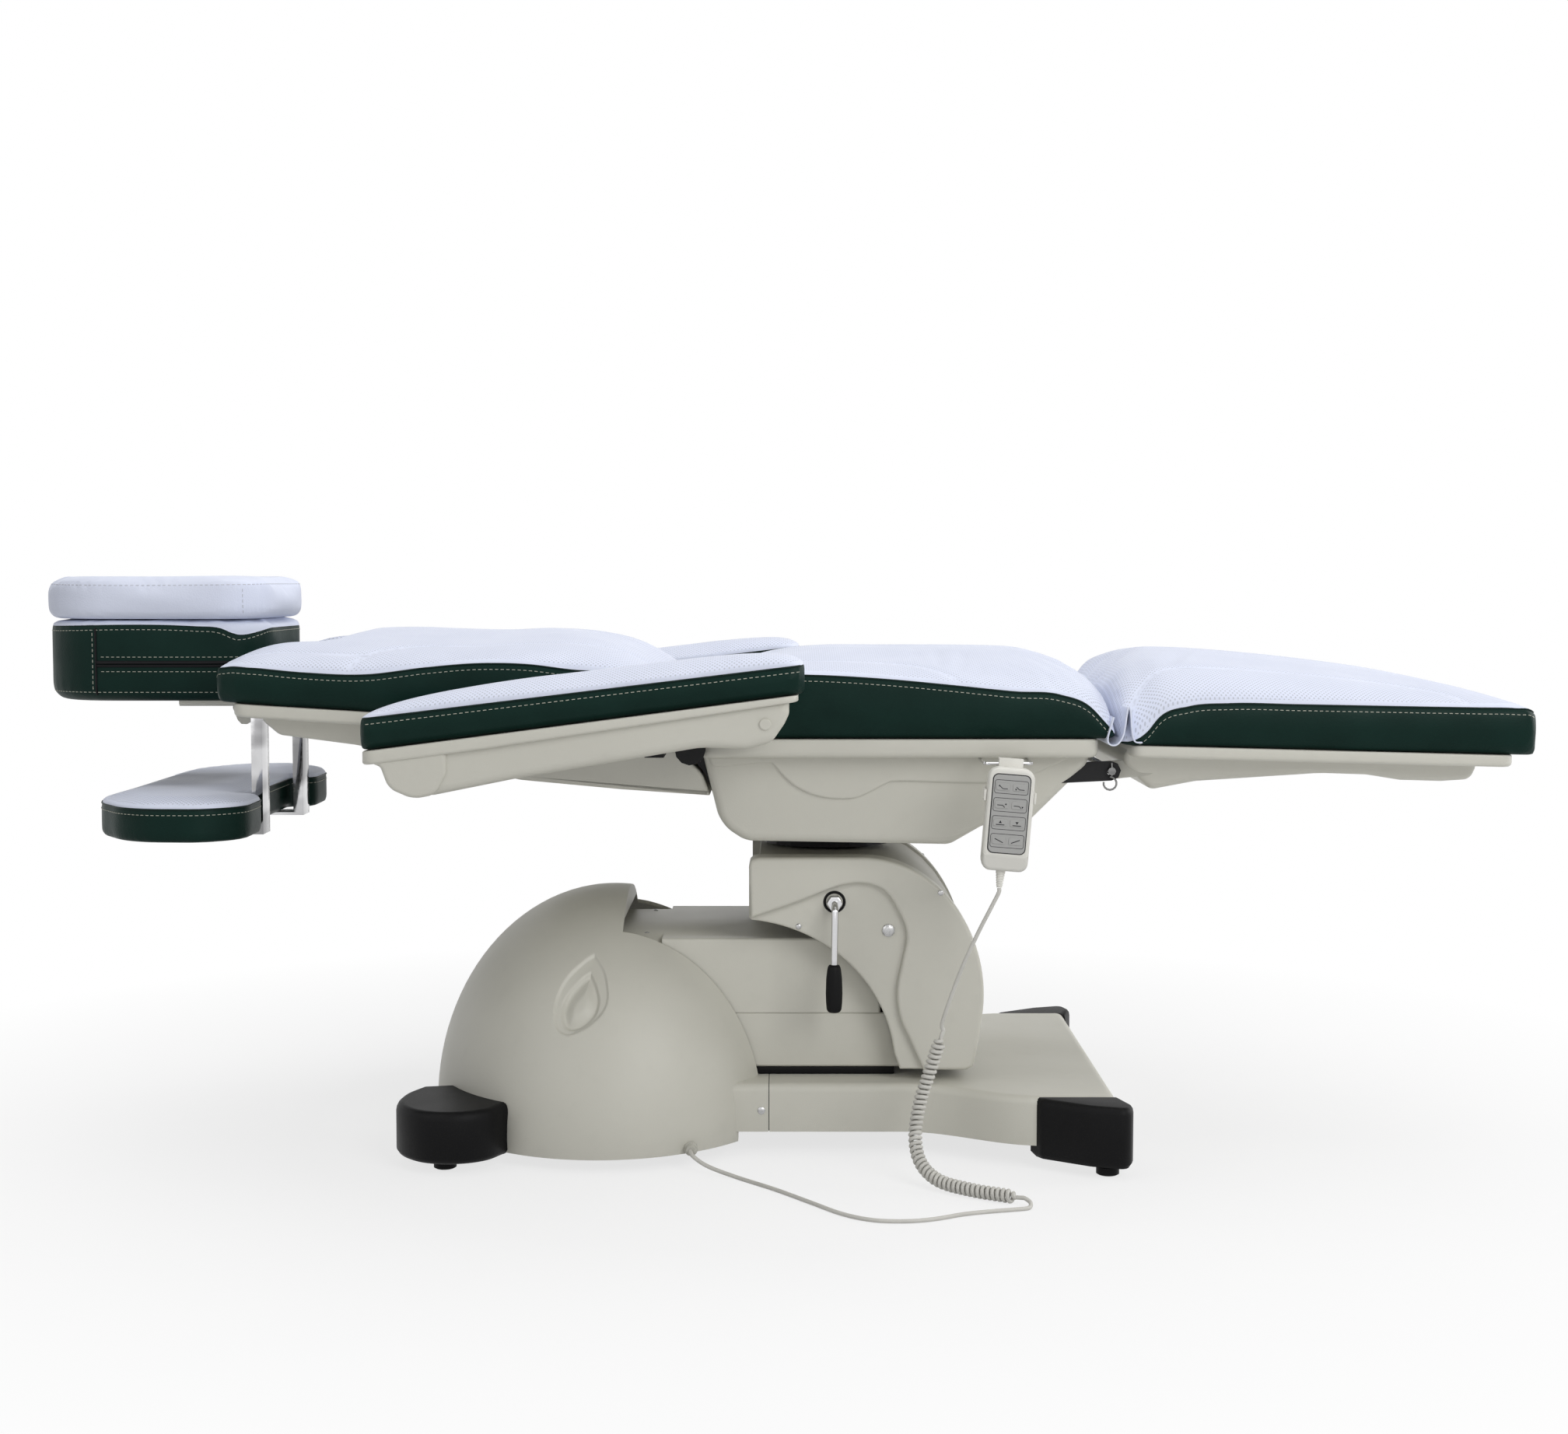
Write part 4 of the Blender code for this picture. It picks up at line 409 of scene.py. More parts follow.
def outline(corners, plane, segments=6):
    """A bmesh with one flat face: corners are (u, v, radius), and each radius is rounded off with a bevel."""
    bm = bmesh.new()
    verts = [bm.verts.new(PLANES[plane](c[0], c[1])) for c in corners]
    bm.faces.new(verts)
    reaches = []
    for i, vert in enumerate(verts):
        radius = corners[i][2] if len(corners[i]) > 2 else 0.0
        one = (verts[i - 1].co - vert.co)
        two = (verts[(i + 1) % len(verts)].co - vert.co)
        half = one.angle(two) / 2
        reaches.append(min(radius / max(math.tan(half), 1e-3), 0.49 * one.length, 0.49 * two.length))
    for vert, reach in zip(verts, reaches):
        if reach > 1e-5:
            bmesh.ops.bevel(bm, geom=[vert], offset=reach, offset_type="OFFSET", segments=segments, profile=0.5,
                            affect="VERTICES", material=-1)
    return bm


def block(corners, low, high, plane="XZ", edge_low=0.0, edge_high=0.0, segments=4, corner_segments=6):
    """A flat outline drawn out from low to high square to its plane, with its two rims rounded off."""
    bm = outline(corners, plane, corner_segments)
    face = bm.faces[:][0]
    made = bmesh.ops.extrude_face_region(bm, geom=[face])
    top = [v for v in made["geom"] if isinstance(v, bmesh.types.BMVert)]
    bmesh.ops.translate(bm, verts=top, vec=OUT[plane] * (high - low))
    bmesh.ops.translate(bm, verts=bm.verts, vec=OUT[plane] * low)
    bmesh.ops.recalc_face_normals(bm, faces=bm.faces)
    for at, size in ((low, edge_low), (high, edge_high)):
        if size:
            level = [e for e in bm.edges if all(abs(v.co.dot(OUT[plane]) - at) < 1e-6 for v in e.verts)]
            bmesh.ops.bevel(bm, geom=level, offset=size, offset_type="OFFSET", segments=segments, profile=0.5,
                            affect="EDGES", material=-1, clamp_overlap=False)
            flat = [f for f in bm.faces if all(abs(v.co.dot(OUT[plane]) - at) < 1e-6 for v in f.verts)]
            bmesh.ops.inset_region(bm, faces=flat, thickness=0.0006, depth=0.0)
    return bm


def inward(points, distance):
    """A closed row of flat points moved in by a distance, corner by corner."""
    area = sum(a[0] * b[1] - b[0] * a[1] for a, b in zip(points, points[1:] + points[:1]))
    out = []
    for i, point in enumerate(points):
        here = Vector(point)
        one = (here - Vector(points[i - 1])).normalized()
        two = (Vector(points[(i + 1) % len(points)]) - here).normalized()
        normal = Vector((-one.y - two.y, one.x + two.x)) * (1 if area > 0 else -1)
        length = max(normal.length, 0.8)
        out.append(here + normal / length * distance * (2 / length))
    return out


def round_levels(low, high, edge_low, edge_high, steps=5):
    """Levels from low to high, rounded off at both ends, as (place, how far in)."""
    turns = [math.radians(90 * k / steps) for k in range(steps + 1)]
    first = [(low + edge_low * (1 - math.sin(t)), edge_low * (1 - math.cos(t))) for t in reversed(turns)]
    last = [(high - edge_high * (1 - math.sin(t)), edge_high * (1 - math.cos(t))) for t in turns]
    first = [(low, edge_low + 0.0015)] + first if edge_low else [(low, 0.0)]
    return first + (last + [(high, edge_high + 0.0015)] if edge_high else [(high, 0.0)])


def layered(corners, levels, plane="XZ", segments=6):
    """A closed solid drawn out of a rounded outline, one ring for each level square to the plane."""
    bm = outline(corners, plane, segments)
    face = bm.faces[:][0]
    ring = list(face.verts)
    u, v = {"XZ": (0, 2), "XY": (0, 1), "YZ": (1, 2)}[plane]
    points = [(vert.co[u], vert.co[v]) for vert in ring]
    for number, (at, inset) in enumerate(levels):
        if number:
            made = bmesh.ops.extrude_face_region(bm, geom=[face])["geom"]
            twins = {tuple(vert.co): vert for vert in made if isinstance(vert, bmesh.types.BMVert)}
            ring = [twins[tuple(vert.co)] for vert in ring]
            if number > 1 and face.is_valid:
                bmesh.ops.delete(bm, geom=[face], context="FACES_ONLY")
            face = next(part for part in made if isinstance(part, bmesh.types.BMFace))
        for vert, point in zip(ring, inward(points, inset)):
            vert.co = Vector(PLANES[plane](*point)) + OUT[plane] * at
    bmesh.ops.recalc_face_normals(bm, faces=bm.faces)
    return bm


def brick(x, y, z, edge=0.0, segments=3):
    """A box with all its edges rounded off."""
    bm = bmesh.new()
    size = Matrix.Diagonal((x[1] - x[0], y[1] - y[0], z[1] - z[0], 1.0))
    middle = Matrix.Translation(((x[0] + x[1]) / 2, (y[0] + y[1]) / 2, (z[0] + z[1]) / 2))
    bmesh.ops.create_cube(bm, size=1.0, matrix=middle @ size)
    if edge:
        bmesh.ops.bevel(bm, geom=bm.edges[:], offset=edge, offset_type="OFFSET", segments=segments, profile=0.5,
                        affect="EDGES", material=-1)
    return bm


def turned(profile, at, way, sides=32):
    """A round shape: profile rows are (distance along the way, radius)."""
    bm = bmesh.new()
    verts = [bm.verts.new((radius, 0.0, along)) for along, radius in profile]
    edges = [bm.edges.new(pair) for pair in zip(verts, verts[1:])]
    bmesh.ops.spin(bm, geom=verts + edges, cent=(0, 0, 0), axis=(0, 0, 1), angle=math.tau, steps=sides, use_merge=True)
    bmesh.ops.remove_doubles(bm, verts=bm.verts, dist=1e-6)
    bmesh.ops.holes_fill(bm, edges=[e for e in bm.edges if e.is_boundary], sides=0)
    turn = Vector((0, 0, 1)).rotation_difference(Vector(way)).to_matrix().to_4x4()
    bmesh.ops.transform(bm, matrix=Matrix.Translation(at) @ turn, verts=bm.verts)
    bmesh.ops.recalc_face_normals(bm, faces=bm.faces)
    return bm


def add_to(bm, *others):
    """Puts other meshes into this one."""
    for other in others:
        mesh = bpy.data.meshes.new("part")
        other.to_mesh(mesh)
        other.free()
        bm.from_mesh(mesh)
        bpy.data.meshes.remove(mesh)
    return bm


def mirror_y(bm):
    """The same shape on the far side."""
    other = bm.copy()
    bmesh.ops.scale(other, vec=(1, -1, 1), verts=other.verts)
    bmesh.ops.reverse_faces(other, faces=other.faces)
    return other


def both(bm):
    """A near-side shape with its twin on the far side."""
    return add_to(bm, mirror_y(bm))


def on_side(bm, side):
    """A near-side shape, moved to the far side where that is asked for."""
    if side < 0:
        return bm
    far = mirror_y(bm)
    bm.free()
    return far


def helper(bm, name="helper"):
    """An object from a bmesh, which goes."""
    mesh = bpy.data.meshes.new(name)
    bm.to_mesh(mesh)
    bm.free()
    made = bpy.data.objects.new(name, mesh)
    bpy.context.scene.collection.objects.link(made)
    return made


def evaluated(obj):
    """The object's mesh with its modifiers, as a new bmesh. The object goes."""
    bpy.context.view_layer.update()
    mesh = bpy.data.meshes.new_from_object(obj.evaluated_get(bpy.context.evaluated_depsgraph_get()))
    bm = bmesh.new()
    bm.from_mesh(mesh)
    bpy.data.meshes.remove(mesh)
    old = obj.data
    bpy.data.objects.remove(obj)
    bpy.data.meshes.remove(old)
    return bm


def carve(bm, tools, operation="DIFFERENCE"):
    """Cuts the tools from the shape, or joins them to it."""
    target = helper(bm)
    others = [helper(tool, "tool") for tool in tools]
    for other in others:
        step = target.modifiers.new("carve", "BOOLEAN")
        step.operation = operation
        step.solver = "EXACT"
        step.object = other
    out = evaluated(target)
    for other in others:
        mesh = other.data
        bpy.data.objects.remove(other)
        bpy.data.meshes.remove(mesh)
    return out


def walled(bm, thickness):
    """An open skin given a wall on its inner side."""
    target = helper(bm)
    step = target.modifiers.new("wall", "SOLIDIFY")
    step.thickness = thickness
    step.offset = -1.0
    step.use_even_offset = True
    return evaluated(target)


def node_copy(name, edge=0.0, segments=3, angle=32.0):
    """A merged copy of a CAD node's mesh, with its sharp edges rounded off."""
    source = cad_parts[name]
    bm = bmesh.new()
    bm.from_mesh(source.data)
    bmesh.ops.transform(bm, matrix=source.matrix_world, verts=bm.verts)
    bmesh.ops.remove_doubles(bm, verts=bm.verts, dist=2e-5)
    bmesh.ops.dissolve_limit(bm, angle_limit=math.radians(1.0), verts=bm.verts, edges=bm.edges)
    if edge:
        sharp = [e for e in bm.edges if e.is_manifold and e.calc_face_angle(0.0) > math.radians(angle)]
        bmesh.ops.bevel(bm, geom=sharp, offset=edge, offset_type="OFFSET", segments=segments, profile=0.5,
                        affect="EDGES", material=-1, clamp_overlap=True)
    return bm


def dress(obj, look, body, nodes=(), smooth=38.0):
    """Gives a piece its finish and its body, and hides the solids that it stands for."""
    mesh = obj.data
    mesh.materials.clear()
    mesh.materials.append(LOOKS[look])
    mesh.shade_smooth()
    mesh.set_sharp_from_angle(angle=math.radians(smooth))
    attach(obj, body)
    if nodes:
        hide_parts(*nodes)
    return obj


def piece(name, bm, look, body, nodes=(), smooth=38.0):
    """Makes a bmesh a finished piece of the bed."""
    obj = helper(bm, name)
    return dress(obj, look, body, nodes, smooth)


def tube_mesh(name, points, radius, sides=3):
    """A tube along points, closed at both ends."""
    curve = bpy.data.curves.new(name + "_line", "CURVE")
    curve.dimensions = "3D"
    curve.bevel_depth = radius
    curve.bevel_resolution = sides
    curve.use_fill_caps = True
    spline = curve.splines.new("POLY")
    spline.points.add(len(points) - 1)
    for point, place in zip(spline.points, points):
        point.co = (*place, 1.0)
    holder = bpy.data.objects.new(name + "_line", curve)
    bpy.context.scene.collection.objects.link(holder)
    bpy.context.view_layer.update()
    mesh = bpy.data.meshes.new_from_object(holder.evaluated_get(bpy.context.evaluated_depsgraph_get()))
    bpy.data.objects.remove(holder)
    bpy.data.curves.remove(curve)
    bm = bmesh.new()
    bm.from_mesh(mesh)
    bpy.data.meshes.remove(mesh)
    bmesh.ops.remove_doubles(bm, verts=bm.verts, dist=1e-6)
    bmesh.ops.recalc_face_normals(bm, faces=bm.faces)
    return bm


def screw(at, way, radius, height=0.002):
    """A domed screw head with a hex socket."""
    bm = turned([(-0.004, radius * 0.6), (0.0, radius), (height * 0.45, radius * 0.97), (height * 0.8, radius * 0.75),
                 (height, radius * 0.45)], at, way, 24)
    return carve(bm, [turned([(height * 0.2, radius * 0.38), (height * 2, radius * 0.38)], at, way, 6)])


# Stitching, piping and sewn forms

THREAD_WIDTH, THREAD_HEIGHT = 0.0008, 0.0009
ROW_STEP = 0.004
SEARCH = 0.2
FREE_OF_SEAMS = 0.05
CLOTH = {
    "quality": 4, "mass": 0.4, "tension_stiffness": 18.0, "compression_stiffness": 18.0, "shear_stiffness": 8.0,
    "bending_stiffness": 1.2, "use_pressure": True, "uniform_pressure_force": 4.0, "vertex_group_mass": "held",
}
CLOTH_FRAMES = 12


def landed(surface, row):
    """Where a row of (point, inward way) meets a surface, with the surface's way out."""
    hits = [surface.ray_cast(Vector(point), Vector(way).normalized(), SEARCH)[:2] for point, way in row]
    return [(place, normal) for place, normal in hits if place is not None]


def stitch_row(surface, row):
    """Small dashes of thread laid on a surface along a row of (point, inward way)."""
    bm = bmesh.new()
    hits = landed(surface, row)
    length = chosen("stitch")
    travelled = 0.0
    pitch = length + chosen("stitch_gap")
    for (a, na), (b, nb) in zip(hits, hits[1:]):
        step = (b - a).length
        if step > 0.03:
            continue
        while travelled + step >= pitch:
            share = (pitch - travelled) / step
            a = a.lerp(b, share)
            step = (b - a).length
            travelled = 0.0
            along = (b - a).normalized() if step > 1e-7 else Vector((1, 0, 0))
            out = na.lerp(nb, share).normalized()
            side = out.cross(along)
            if side.length < 1e-5:
                break
            turn = Matrix((along, side.normalized(), out)).transposed().to_4x4()
            shape = Matrix.Diagonal((length, THREAD_WIDTH, THREAD_HEIGHT, 1.0))
            dash = bmesh.ops.create_cube(bm, size=1.0, matrix=Matrix.Translation(a + out * 0.0002) @ turn @ shape)
            tips = [v for v in dash["verts"] if (v.co - a).dot(out) > 0.0003]
            bmesh.ops.scale(bm, vec=(0.86, 0.86, 0.86), verts=tips, space=Matrix.Translation(-a))
        travelled += step
    return bm


def surface_of(obj):
    """A tree for finding points on a piece's finished surface."""
    bpy.context.view_layer.update()
    graph = bpy.context.evaluated_depsgraph_get()
    return BVHTree.FromObject(obj, graph)


def store(mesh, name, values):
    """Keeps a number for each point of a mesh, for its material to read."""
    made = mesh.attributes.get(name) or mesh.attributes.new(name, "FLOAT", "POINT")
    made.data.foreach_set("value", np.asarray(values, np.float32))


def places(mesh):
    """The points of a mesh, a row for each."""
    co = np.empty(len(mesh.vertices) * 3, np.float32)
    mesh.vertices.foreach_get("co", co)
    return co.reshape(-1, 3).astype(np.float64)


def move_to(mesh, co):
    """Puts the points of a mesh at new places."""
    mesh.vertices.foreach_set("co", co.astype(np.float32).ravel())
    mesh.update()


def puffed(obj, free, cap):
    """Blows a sewn form up with the cloth solver, holding the points that free puts near 0, and keeps the result."""
    rest = places(obj.data)
    held = obj.vertex_groups.new(name="held")
    for i, share in enumerate(free):
        if share < 1.0:
            held.add([i], 1.0 - share, "REPLACE")
    cloth = obj.modifiers.new("cloth", "CLOTH")
    for key, value in CLOTH.items():
        setattr(cloth.settings, key, value)
    cloth.settings.effector_weights.gravity = 0.0
    cloth.collision_settings.use_collision = False
    cloth.point_cache.frame_start = 1
    cloth.point_cache.frame_end = CLOTH_FRAMES
    scene = bpy.context.scene
    for number in range(1, CLOTH_FRAMES + 1):
        scene.frame_set(number)
    graph = bpy.context.evaluated_depsgraph_get()
    moved = places(obj.evaluated_get(graph).to_mesh())
    obj.evaluated_get(graph).to_mesh_clear()
    obj.modifiers.remove(cloth)
    obj.vertex_groups.remove(held)
    scene.frame_set(1)
    step = moved - rest
    far = np.linalg.norm(step, axis=1, keepdims=True)
    move_to(obj.data, rest + step * np.minimum(1.0, cap / np.maximum(far, 1e-9)))


def remeshed(bm, voxel):
    """One even closed skin over a shape."""
    target = helper(bm)
    step = target.modifiers.new("remesh", "REMESH")
    step.mode = "VOXEL"
    step.voxel_size = voxel
    return evaluated(target)


def line_distance(points, line):
    """How far each plan point is from a plan line of points."""
    best = np.full(len(points), 1.0)
    for a, b in zip(line, line[1:]):
        a, b = np.array(a[:2]), np.array(b[:2])
        d = b - a
        t = np.clip(((points - a) @ d) / max(d @ d, 1e-12), 0, 1)
        best = np.minimum(best, np.linalg.norm(points - (a + t[:, None] * d), axis=1))
    return best


def cushion_form(stations, steps=3, shrink=0.003):
    """A padded block drawn over stations of (x, half width, bottom, seam, crown), ring by ring."""
    bm = bmesh.new()
    tables = [[(s[0], s[k]) for s in stations] for k in range(1, 5)]
    xs = []
    for one, two in zip(stations, stations[1:]):
        xs += [one[0] + (two[0] - one[0]) * k / steps for k in range(steps)]
    xs.append(stations[-1][0])
    loops = []
    for x in xs:
        half, bottom, seam, crown = (curve_value(table, x) for table in tables)
        half -= shrink
        crown -= shrink
        side = seam - bottom
        right = [(half - 0.010, bottom), (half - 0.003, bottom + 0.22 * side), (half, bottom + 0.55 * side),
                 (half - 0.001, bottom + 0.85 * side), (half - 0.004, seam)]
        right += [(half * t, seam + (crown - seam) * (1 - t ** 4) ** 0.8) for t in (0.965, 0.92, 0.85, 0.72, 0.55, 0.3)]
        ring = right + [(0.0, crown)] + [(-y, z) for y, z in reversed(right)]
        verts = [bm.verts.new((x, y, z)) for y, z in ring]
        loops.append([bm.edges.new(pair) for pair in zip(verts, verts[1:] + verts[:1])])
    for one, two in zip(loops, loops[1:]):
        bmesh.ops.bridge_loops(bm, edges=one + two)
    for end in (loops[0], loops[-1]):
        bmesh.ops.contextual_create(bm, geom=end)
    bmesh.ops.recalc_face_normals(bm, faces=bm.faces)
    return bm


def finish_cushion(obj, seam, sewn_lines):
    """Stores each point's height over the seam and its distance from the sewn lines, and draws those lines in."""
    co = places(obj.data)
    above = co[:, 2] - np.array([seam(x) for x in co[:, 0]])
    best = np.full(len(co), FREE_OF_SEAMS)
    for line in sewn_lines:
        best = np.minimum(best, line_distance(co[:, :2], line))
    top = np.clip(above / 0.006, 0, 1)
    co[:, 2] -= chosen("groove") * top * np.exp(-(best / 0.006) ** 2)
    draw = 0.0012 * np.exp(-(above / 0.004) ** 2)
    co[:, 1] -= np.sign(co[:, 1]) * draw * (np.abs(co[:, 1]) > 0.04)
    move_to(obj.data, co)
    store(obj.data, "above", above)
    store(obj.data, "sewn", np.where(above > 0.004, best, FREE_OF_SEAMS))


def subdivide_once(obj):
    """Rounds a cushion's skin with one live subdivision."""
    step = obj.modifiers.new("soft", "SUBSURF")
    step.levels = 1
    step.render_levels = 1


def welt(surface, rows, radius):
    """Thin piping laid along rows of points on a surface."""
    bm = bmesh.new()
    for row in rows:
        line = [place + normal * radius * 0.15 for place, normal in landed(surface, row)]
        if len(line) > 3:
            add_to(bm, tube_mesh("welt", line, radius, 2))
    return bm


# Stage


def seen_rays(w, ray):
    """1 for the rays that see the surroundings, straight or in a shine."""
    shine = w.math("MAXIMUM", ray.outputs["Is Glossy Ray"], ray.outputs["Is Transmission Ray"])
    return w.math("MAXIMUM", ray.outputs["Is Camera Ray"], shine)


def make_camera():
    """The photograph's camera."""
    camera = bpy.data.cameras.new("camera")
    camera.sensor_width = SENSOR_WIDTH
    camera.sensor_fit = "HORIZONTAL"
    camera.lens = SENSOR_WIDTH * FOCAL_PIXELS / PHOTO_WIDTH
    camera.clip_start = 0.05
    camera.clip_end = 60.0
    eye = bpy.data.objects.new("camera", camera)
    eye.location = EYE
    eye.rotation_euler = (math.radians(90.0 - EYE_DOWN_DEGREES), 0.0, 0.0)
    bpy.context.scene.collection.objects.link(eye)
    bpy.context.scene.camera = eye


def make_surroundings(ambient):
    """Even light from all round, which is seen as white."""
    world = bpy.data.worlds.new("studio")
    bpy.context.scene.world = world
    world.use_nodes = True
    w = Wires(world.node_tree)
    back = world.node_tree.nodes["Background"]
    seen = seen_rays(w, w.node("ShaderNodeLightPath"))
    w.feed(back, "Color", (1.0, 1.0, 1.0, 1.0))
    w.feed(back, "Strength", w.spread(seen, 0.0, 1.0, ambient, 1.0))


def make_floor():
    """A pale floor that keeps the bed's shadow near it and fades to white away from it."""
    bm = bmesh.new()
    bmesh.ops.create_grid(bm, x_segments=1, y_segments=1, size=9.0)
    floor = helper(bm, "floor")
    made, w, shader = blank_look("floor_paint", (0.70, 0.70, 0.70), 0.8)
    where = w.node("ShaderNodeTexCoord").outputs["Object"]
    away = w.node("ShaderNodeVectorMath", operation="LENGTH")
    w.join(where, away.inputs[0])
    glow = w.node("ShaderNodeEmission")
    seen = seen_rays(w, w.node("ShaderNodeLightPath"))
    blend = w.node("ShaderNodeMixShader")
    w.feed(blend, 0, w.math("MULTIPLY", w.spread(away.outputs["Value"], 0.6, 1.5, 0.74, 1.0), seen))
    w.join(shader.outputs[0], blend.inputs[1])
    w.join(glow.outputs[0], blend.inputs[2])
    w.join(blend.outputs[0], made.node_tree.nodes["Material Output"].inputs["Surface"])
    w.join(w.mix(w.spread(w.noise(where, 3.0), 0.4, 0.6), (0.71, 0.71, 0.71, 1.0), (0.69, 0.69, 0.695, 1.0)),
           shader.inputs["Base Color"])
    floor.data.materials.append(made)


def make_lamps(light):
    """Soft square lamps that all face the bed's middle."""
    lamps = (("key", (1.9, -3.0, 2.3), 2.0, light.key), ("fill", (-2.6, -2.6, 2.3), 2.6, light.fill),
             ("top", (0.0, 0.4, 3.4), 3.4, light.top), ("low", (0.4, -3.4, 0.55), 1.8, light.low),
             ("side", (3.2, 0.5, 1.2), 1.6, light.side))
    for name, place, wide, power in lamps:
        lamp = bpy.data.lights.new(name, "AREA")
        lamp.shape = "SQUARE"
        lamp.size = wide
        lamp.energy = power
        holder = bpy.data.objects.new(name, lamp)
        holder.location = place
        aim = Vector((0.0, 0.0, 0.4)) - Vector(place)
        holder.rotation_euler = aim.to_track_quat("-Z", "Y").to_euler()
        bpy.context.scene.collection.objects.link(holder)


def make_stage(light):
    """The camera, the floor, the lamps and the light around them."""
    bpy.context.scene.view_settings.view_transform = "Standard"
    make_camera()
    make_surroundings(light.ambient)
    make_floor()
    make_lamps(light)


# Cord


def cord_route():
    """The cord's line from the handset down the curls and over the floor to the gland."""
    gap = 0.0004
    wire = 0.0026
    coil_wire = 0.0024
    low = -0.082
    start = HANDSET_PLACE @ Vector((-0.003, 0, low - 2 * gap))
    lead = HANDSET_PLACE @ Vector((-0.003, 0, low - 2 * gap - 2 * wire))
    path = through([(0.2205, -0.300, 0.168), (0.208, -0.303, 0.130), (0.195, -0.310, 0.090), (0.189, -0.325, 0.053),
                    (0.195, -0.345, 0.027), (0.215, -0.368, 0.0125), (0.250, -0.395, 0.0092), (0.285, -0.4165, 0.009),
                    (0.300, -0.425, 0.009)], 12)
    way = (path[1] - path[0]).normalized()
    lead_in = path[0] - way * (2 * coil_wire + 2 * gap)
    hang = through([start, lead, (0.277, -0.342, 0.334), (0.262, -0.335, 0.302), (0.244, -0.324, 0.258),
                    (0.229, -0.311, 0.212), (0.2222, -0.3013, 0.186), lead_in - way * 2 * wire, lead_in], 5)
    turns, each, reach = 46, 14, 0.0060
    spots = evenly(path, turns * each)
    side = Vector((0, 1, 0))
    coil = []
    for k, (middle, along) in enumerate(spots):
        side = (side - along * side.dot(along)).normalized()
        up = along.cross(side)
        edge = min(k, len(spots) - 1 - k) / each
        turn = math.tau * k / each
        coil.append(middle + reach * min(1.0, edge) * (side * math.cos(turn) + up * math.sin(turn)))
    end = spots[-1][0] + spots[-1][1] * (2 * coil_wire + 2 * gap)
    z = wire + 0.0003
    floor = through([end, end + spots[-1][1] * 2 * wire, (0.3150, -0.4375, 0.006), (0.3125, -0.4475, z),
                     (0.2995, -0.4535, z), (0.2680, -0.4620, z), (0.2364, -0.473, z), (0.2000, -0.4930, z),
                     (0.1686, -0.5010, z), (0.1320, -0.4970, z), (0.0980, -0.4730, z), (0.0600, -0.4230, z),
                     (0.0200, -0.3700, z), (-0.0250, -0.3180, z), (-0.0600, -0.2960, 0.010),
                     (-0.0780, -0.2845, 0.0185), (-0.083, -0.2755, 0.0225), (-0.083, -0.2703, 0.0225)], 5)
    return hang, coil, floor


def evenly(path, count):
    """Evenly spaced points along a path, with the way at each."""
    lengths = [0.0]
    for one, two in zip(path, path[1:]):
        lengths.append(lengths[-1] + (two - one).length)
    out = []
    part = 0
    for k in range(count + 1):
        at = lengths[-1] * k / count
        while part < len(path) - 2 and lengths[part + 1] < at:
            part += 1
        share = (at - lengths[part]) / (lengths[part + 1] - lengths[part])
        out.append((path[part].lerp(path[part + 1], share), (path[part + 1] - path[part]).normalized()))
    return out


def make_cord():
    """The cord as one tube from the handset to the gland."""
    hang, coil, floor = cord_route()
    line = hang + coil[1:-1] + floor
    kept = [line[0]]
    for point in line[1:]:
        if (point - kept[-1]).length > 0.0008:
            kept.append(point)
    radius = chosen("cord")
    bm = tube_mesh("handset_cord", kept, radius, 3)
    obj = piece("handset_cord", bm, "cord", "base", ("cord_hang", "cord_coil", "cord_floor"), 80.0)


# Base


# The drop-shaped dimple on the dome's sides and the bowl in it, as outlines over x and z
DIMPLE = [(-0.2064, 0.2526), (-0.1918, 0.2331), (-0.1857, 0.2085), (-0.1896, 0.1912), (-0.2051, 0.1750),
          (-0.2261, 0.1639), (-0.2383, 0.1622), (-0.2485, 0.1675), (-0.2542, 0.1817), (-0.2522, 0.2041),
          (-0.2394, 0.2275), (-0.2184, 0.2459), (-0.2064, 0.2526)]
BOWL = [(-0.2101, 0.2347), (-0.2012, 0.2195), (-0.1968, 0.2018), (-0.2029, 0.1840), (-0.2184, 0.1717),
        (-0.2320, 0.1687), (-0.2422, 0.1745), (-0.2461, 0.1907), (-0.2389, 0.2096), (-0.2217, 0.2275),
        (-0.2101, 0.2347)]


def inside(corners):
    """A function of x and z: how far a place lies inside a closed outline, or a negative number outside it."""
    line = np.array(smooth_line(corners, 6))
    one, step = line[:-1], np.diff(line, axis=0)

    def reach(x, z):
        at = np.array((x, z))
        share = np.clip(np.sum((at - one) * step, axis=1) / np.sum(step * step, axis=1), 0.0, 1.0)
        apart = np.min(np.hypot(*(at - one - share[:, None] * step).T))
        spans = (one[:, 1] > z) != (line[1:, 1] > z)
        crossed = spans & (x < one[:, 0] + (z - one[:, 1]) / np.where(spans, step[:, 1], 1.0) * step[:, 0])
        return apart if np.count_nonzero(crossed) % 2 else -apart
    return reach


def ease(t):
    """A smooth step from 0 to 1."""
    t = min(1.0, max(0.0, t))
    return t * t * (3 - 2 * t)


def dimple():
    """A function of x and z: how far the dome's drop-shaped dimple stands in at a place on its side."""
    outer, inner = inside(DIMPLE), inside(BOWL)

    def depth(x, z):
        edge, bowl = outer(x, z), inner(x, z)
        sunk = 0.0030 * ease(edge / 0.0028) + 0.0014 * ease(edge / 0.011) + 0.0050 * ease((bowl + 0.001) / 0.0046)
        return sunk - 0.0056 * ease((bowl - 0.0035) / 0.015)
    return depth


def near_dimple(place, wide, tall):
    """Whether a place on the dome's skin is near one of its two dimples."""
    return abs(place.x + 0.220) < wide and abs(place.z - 0.207) < tall and abs(place.y) > 0.1


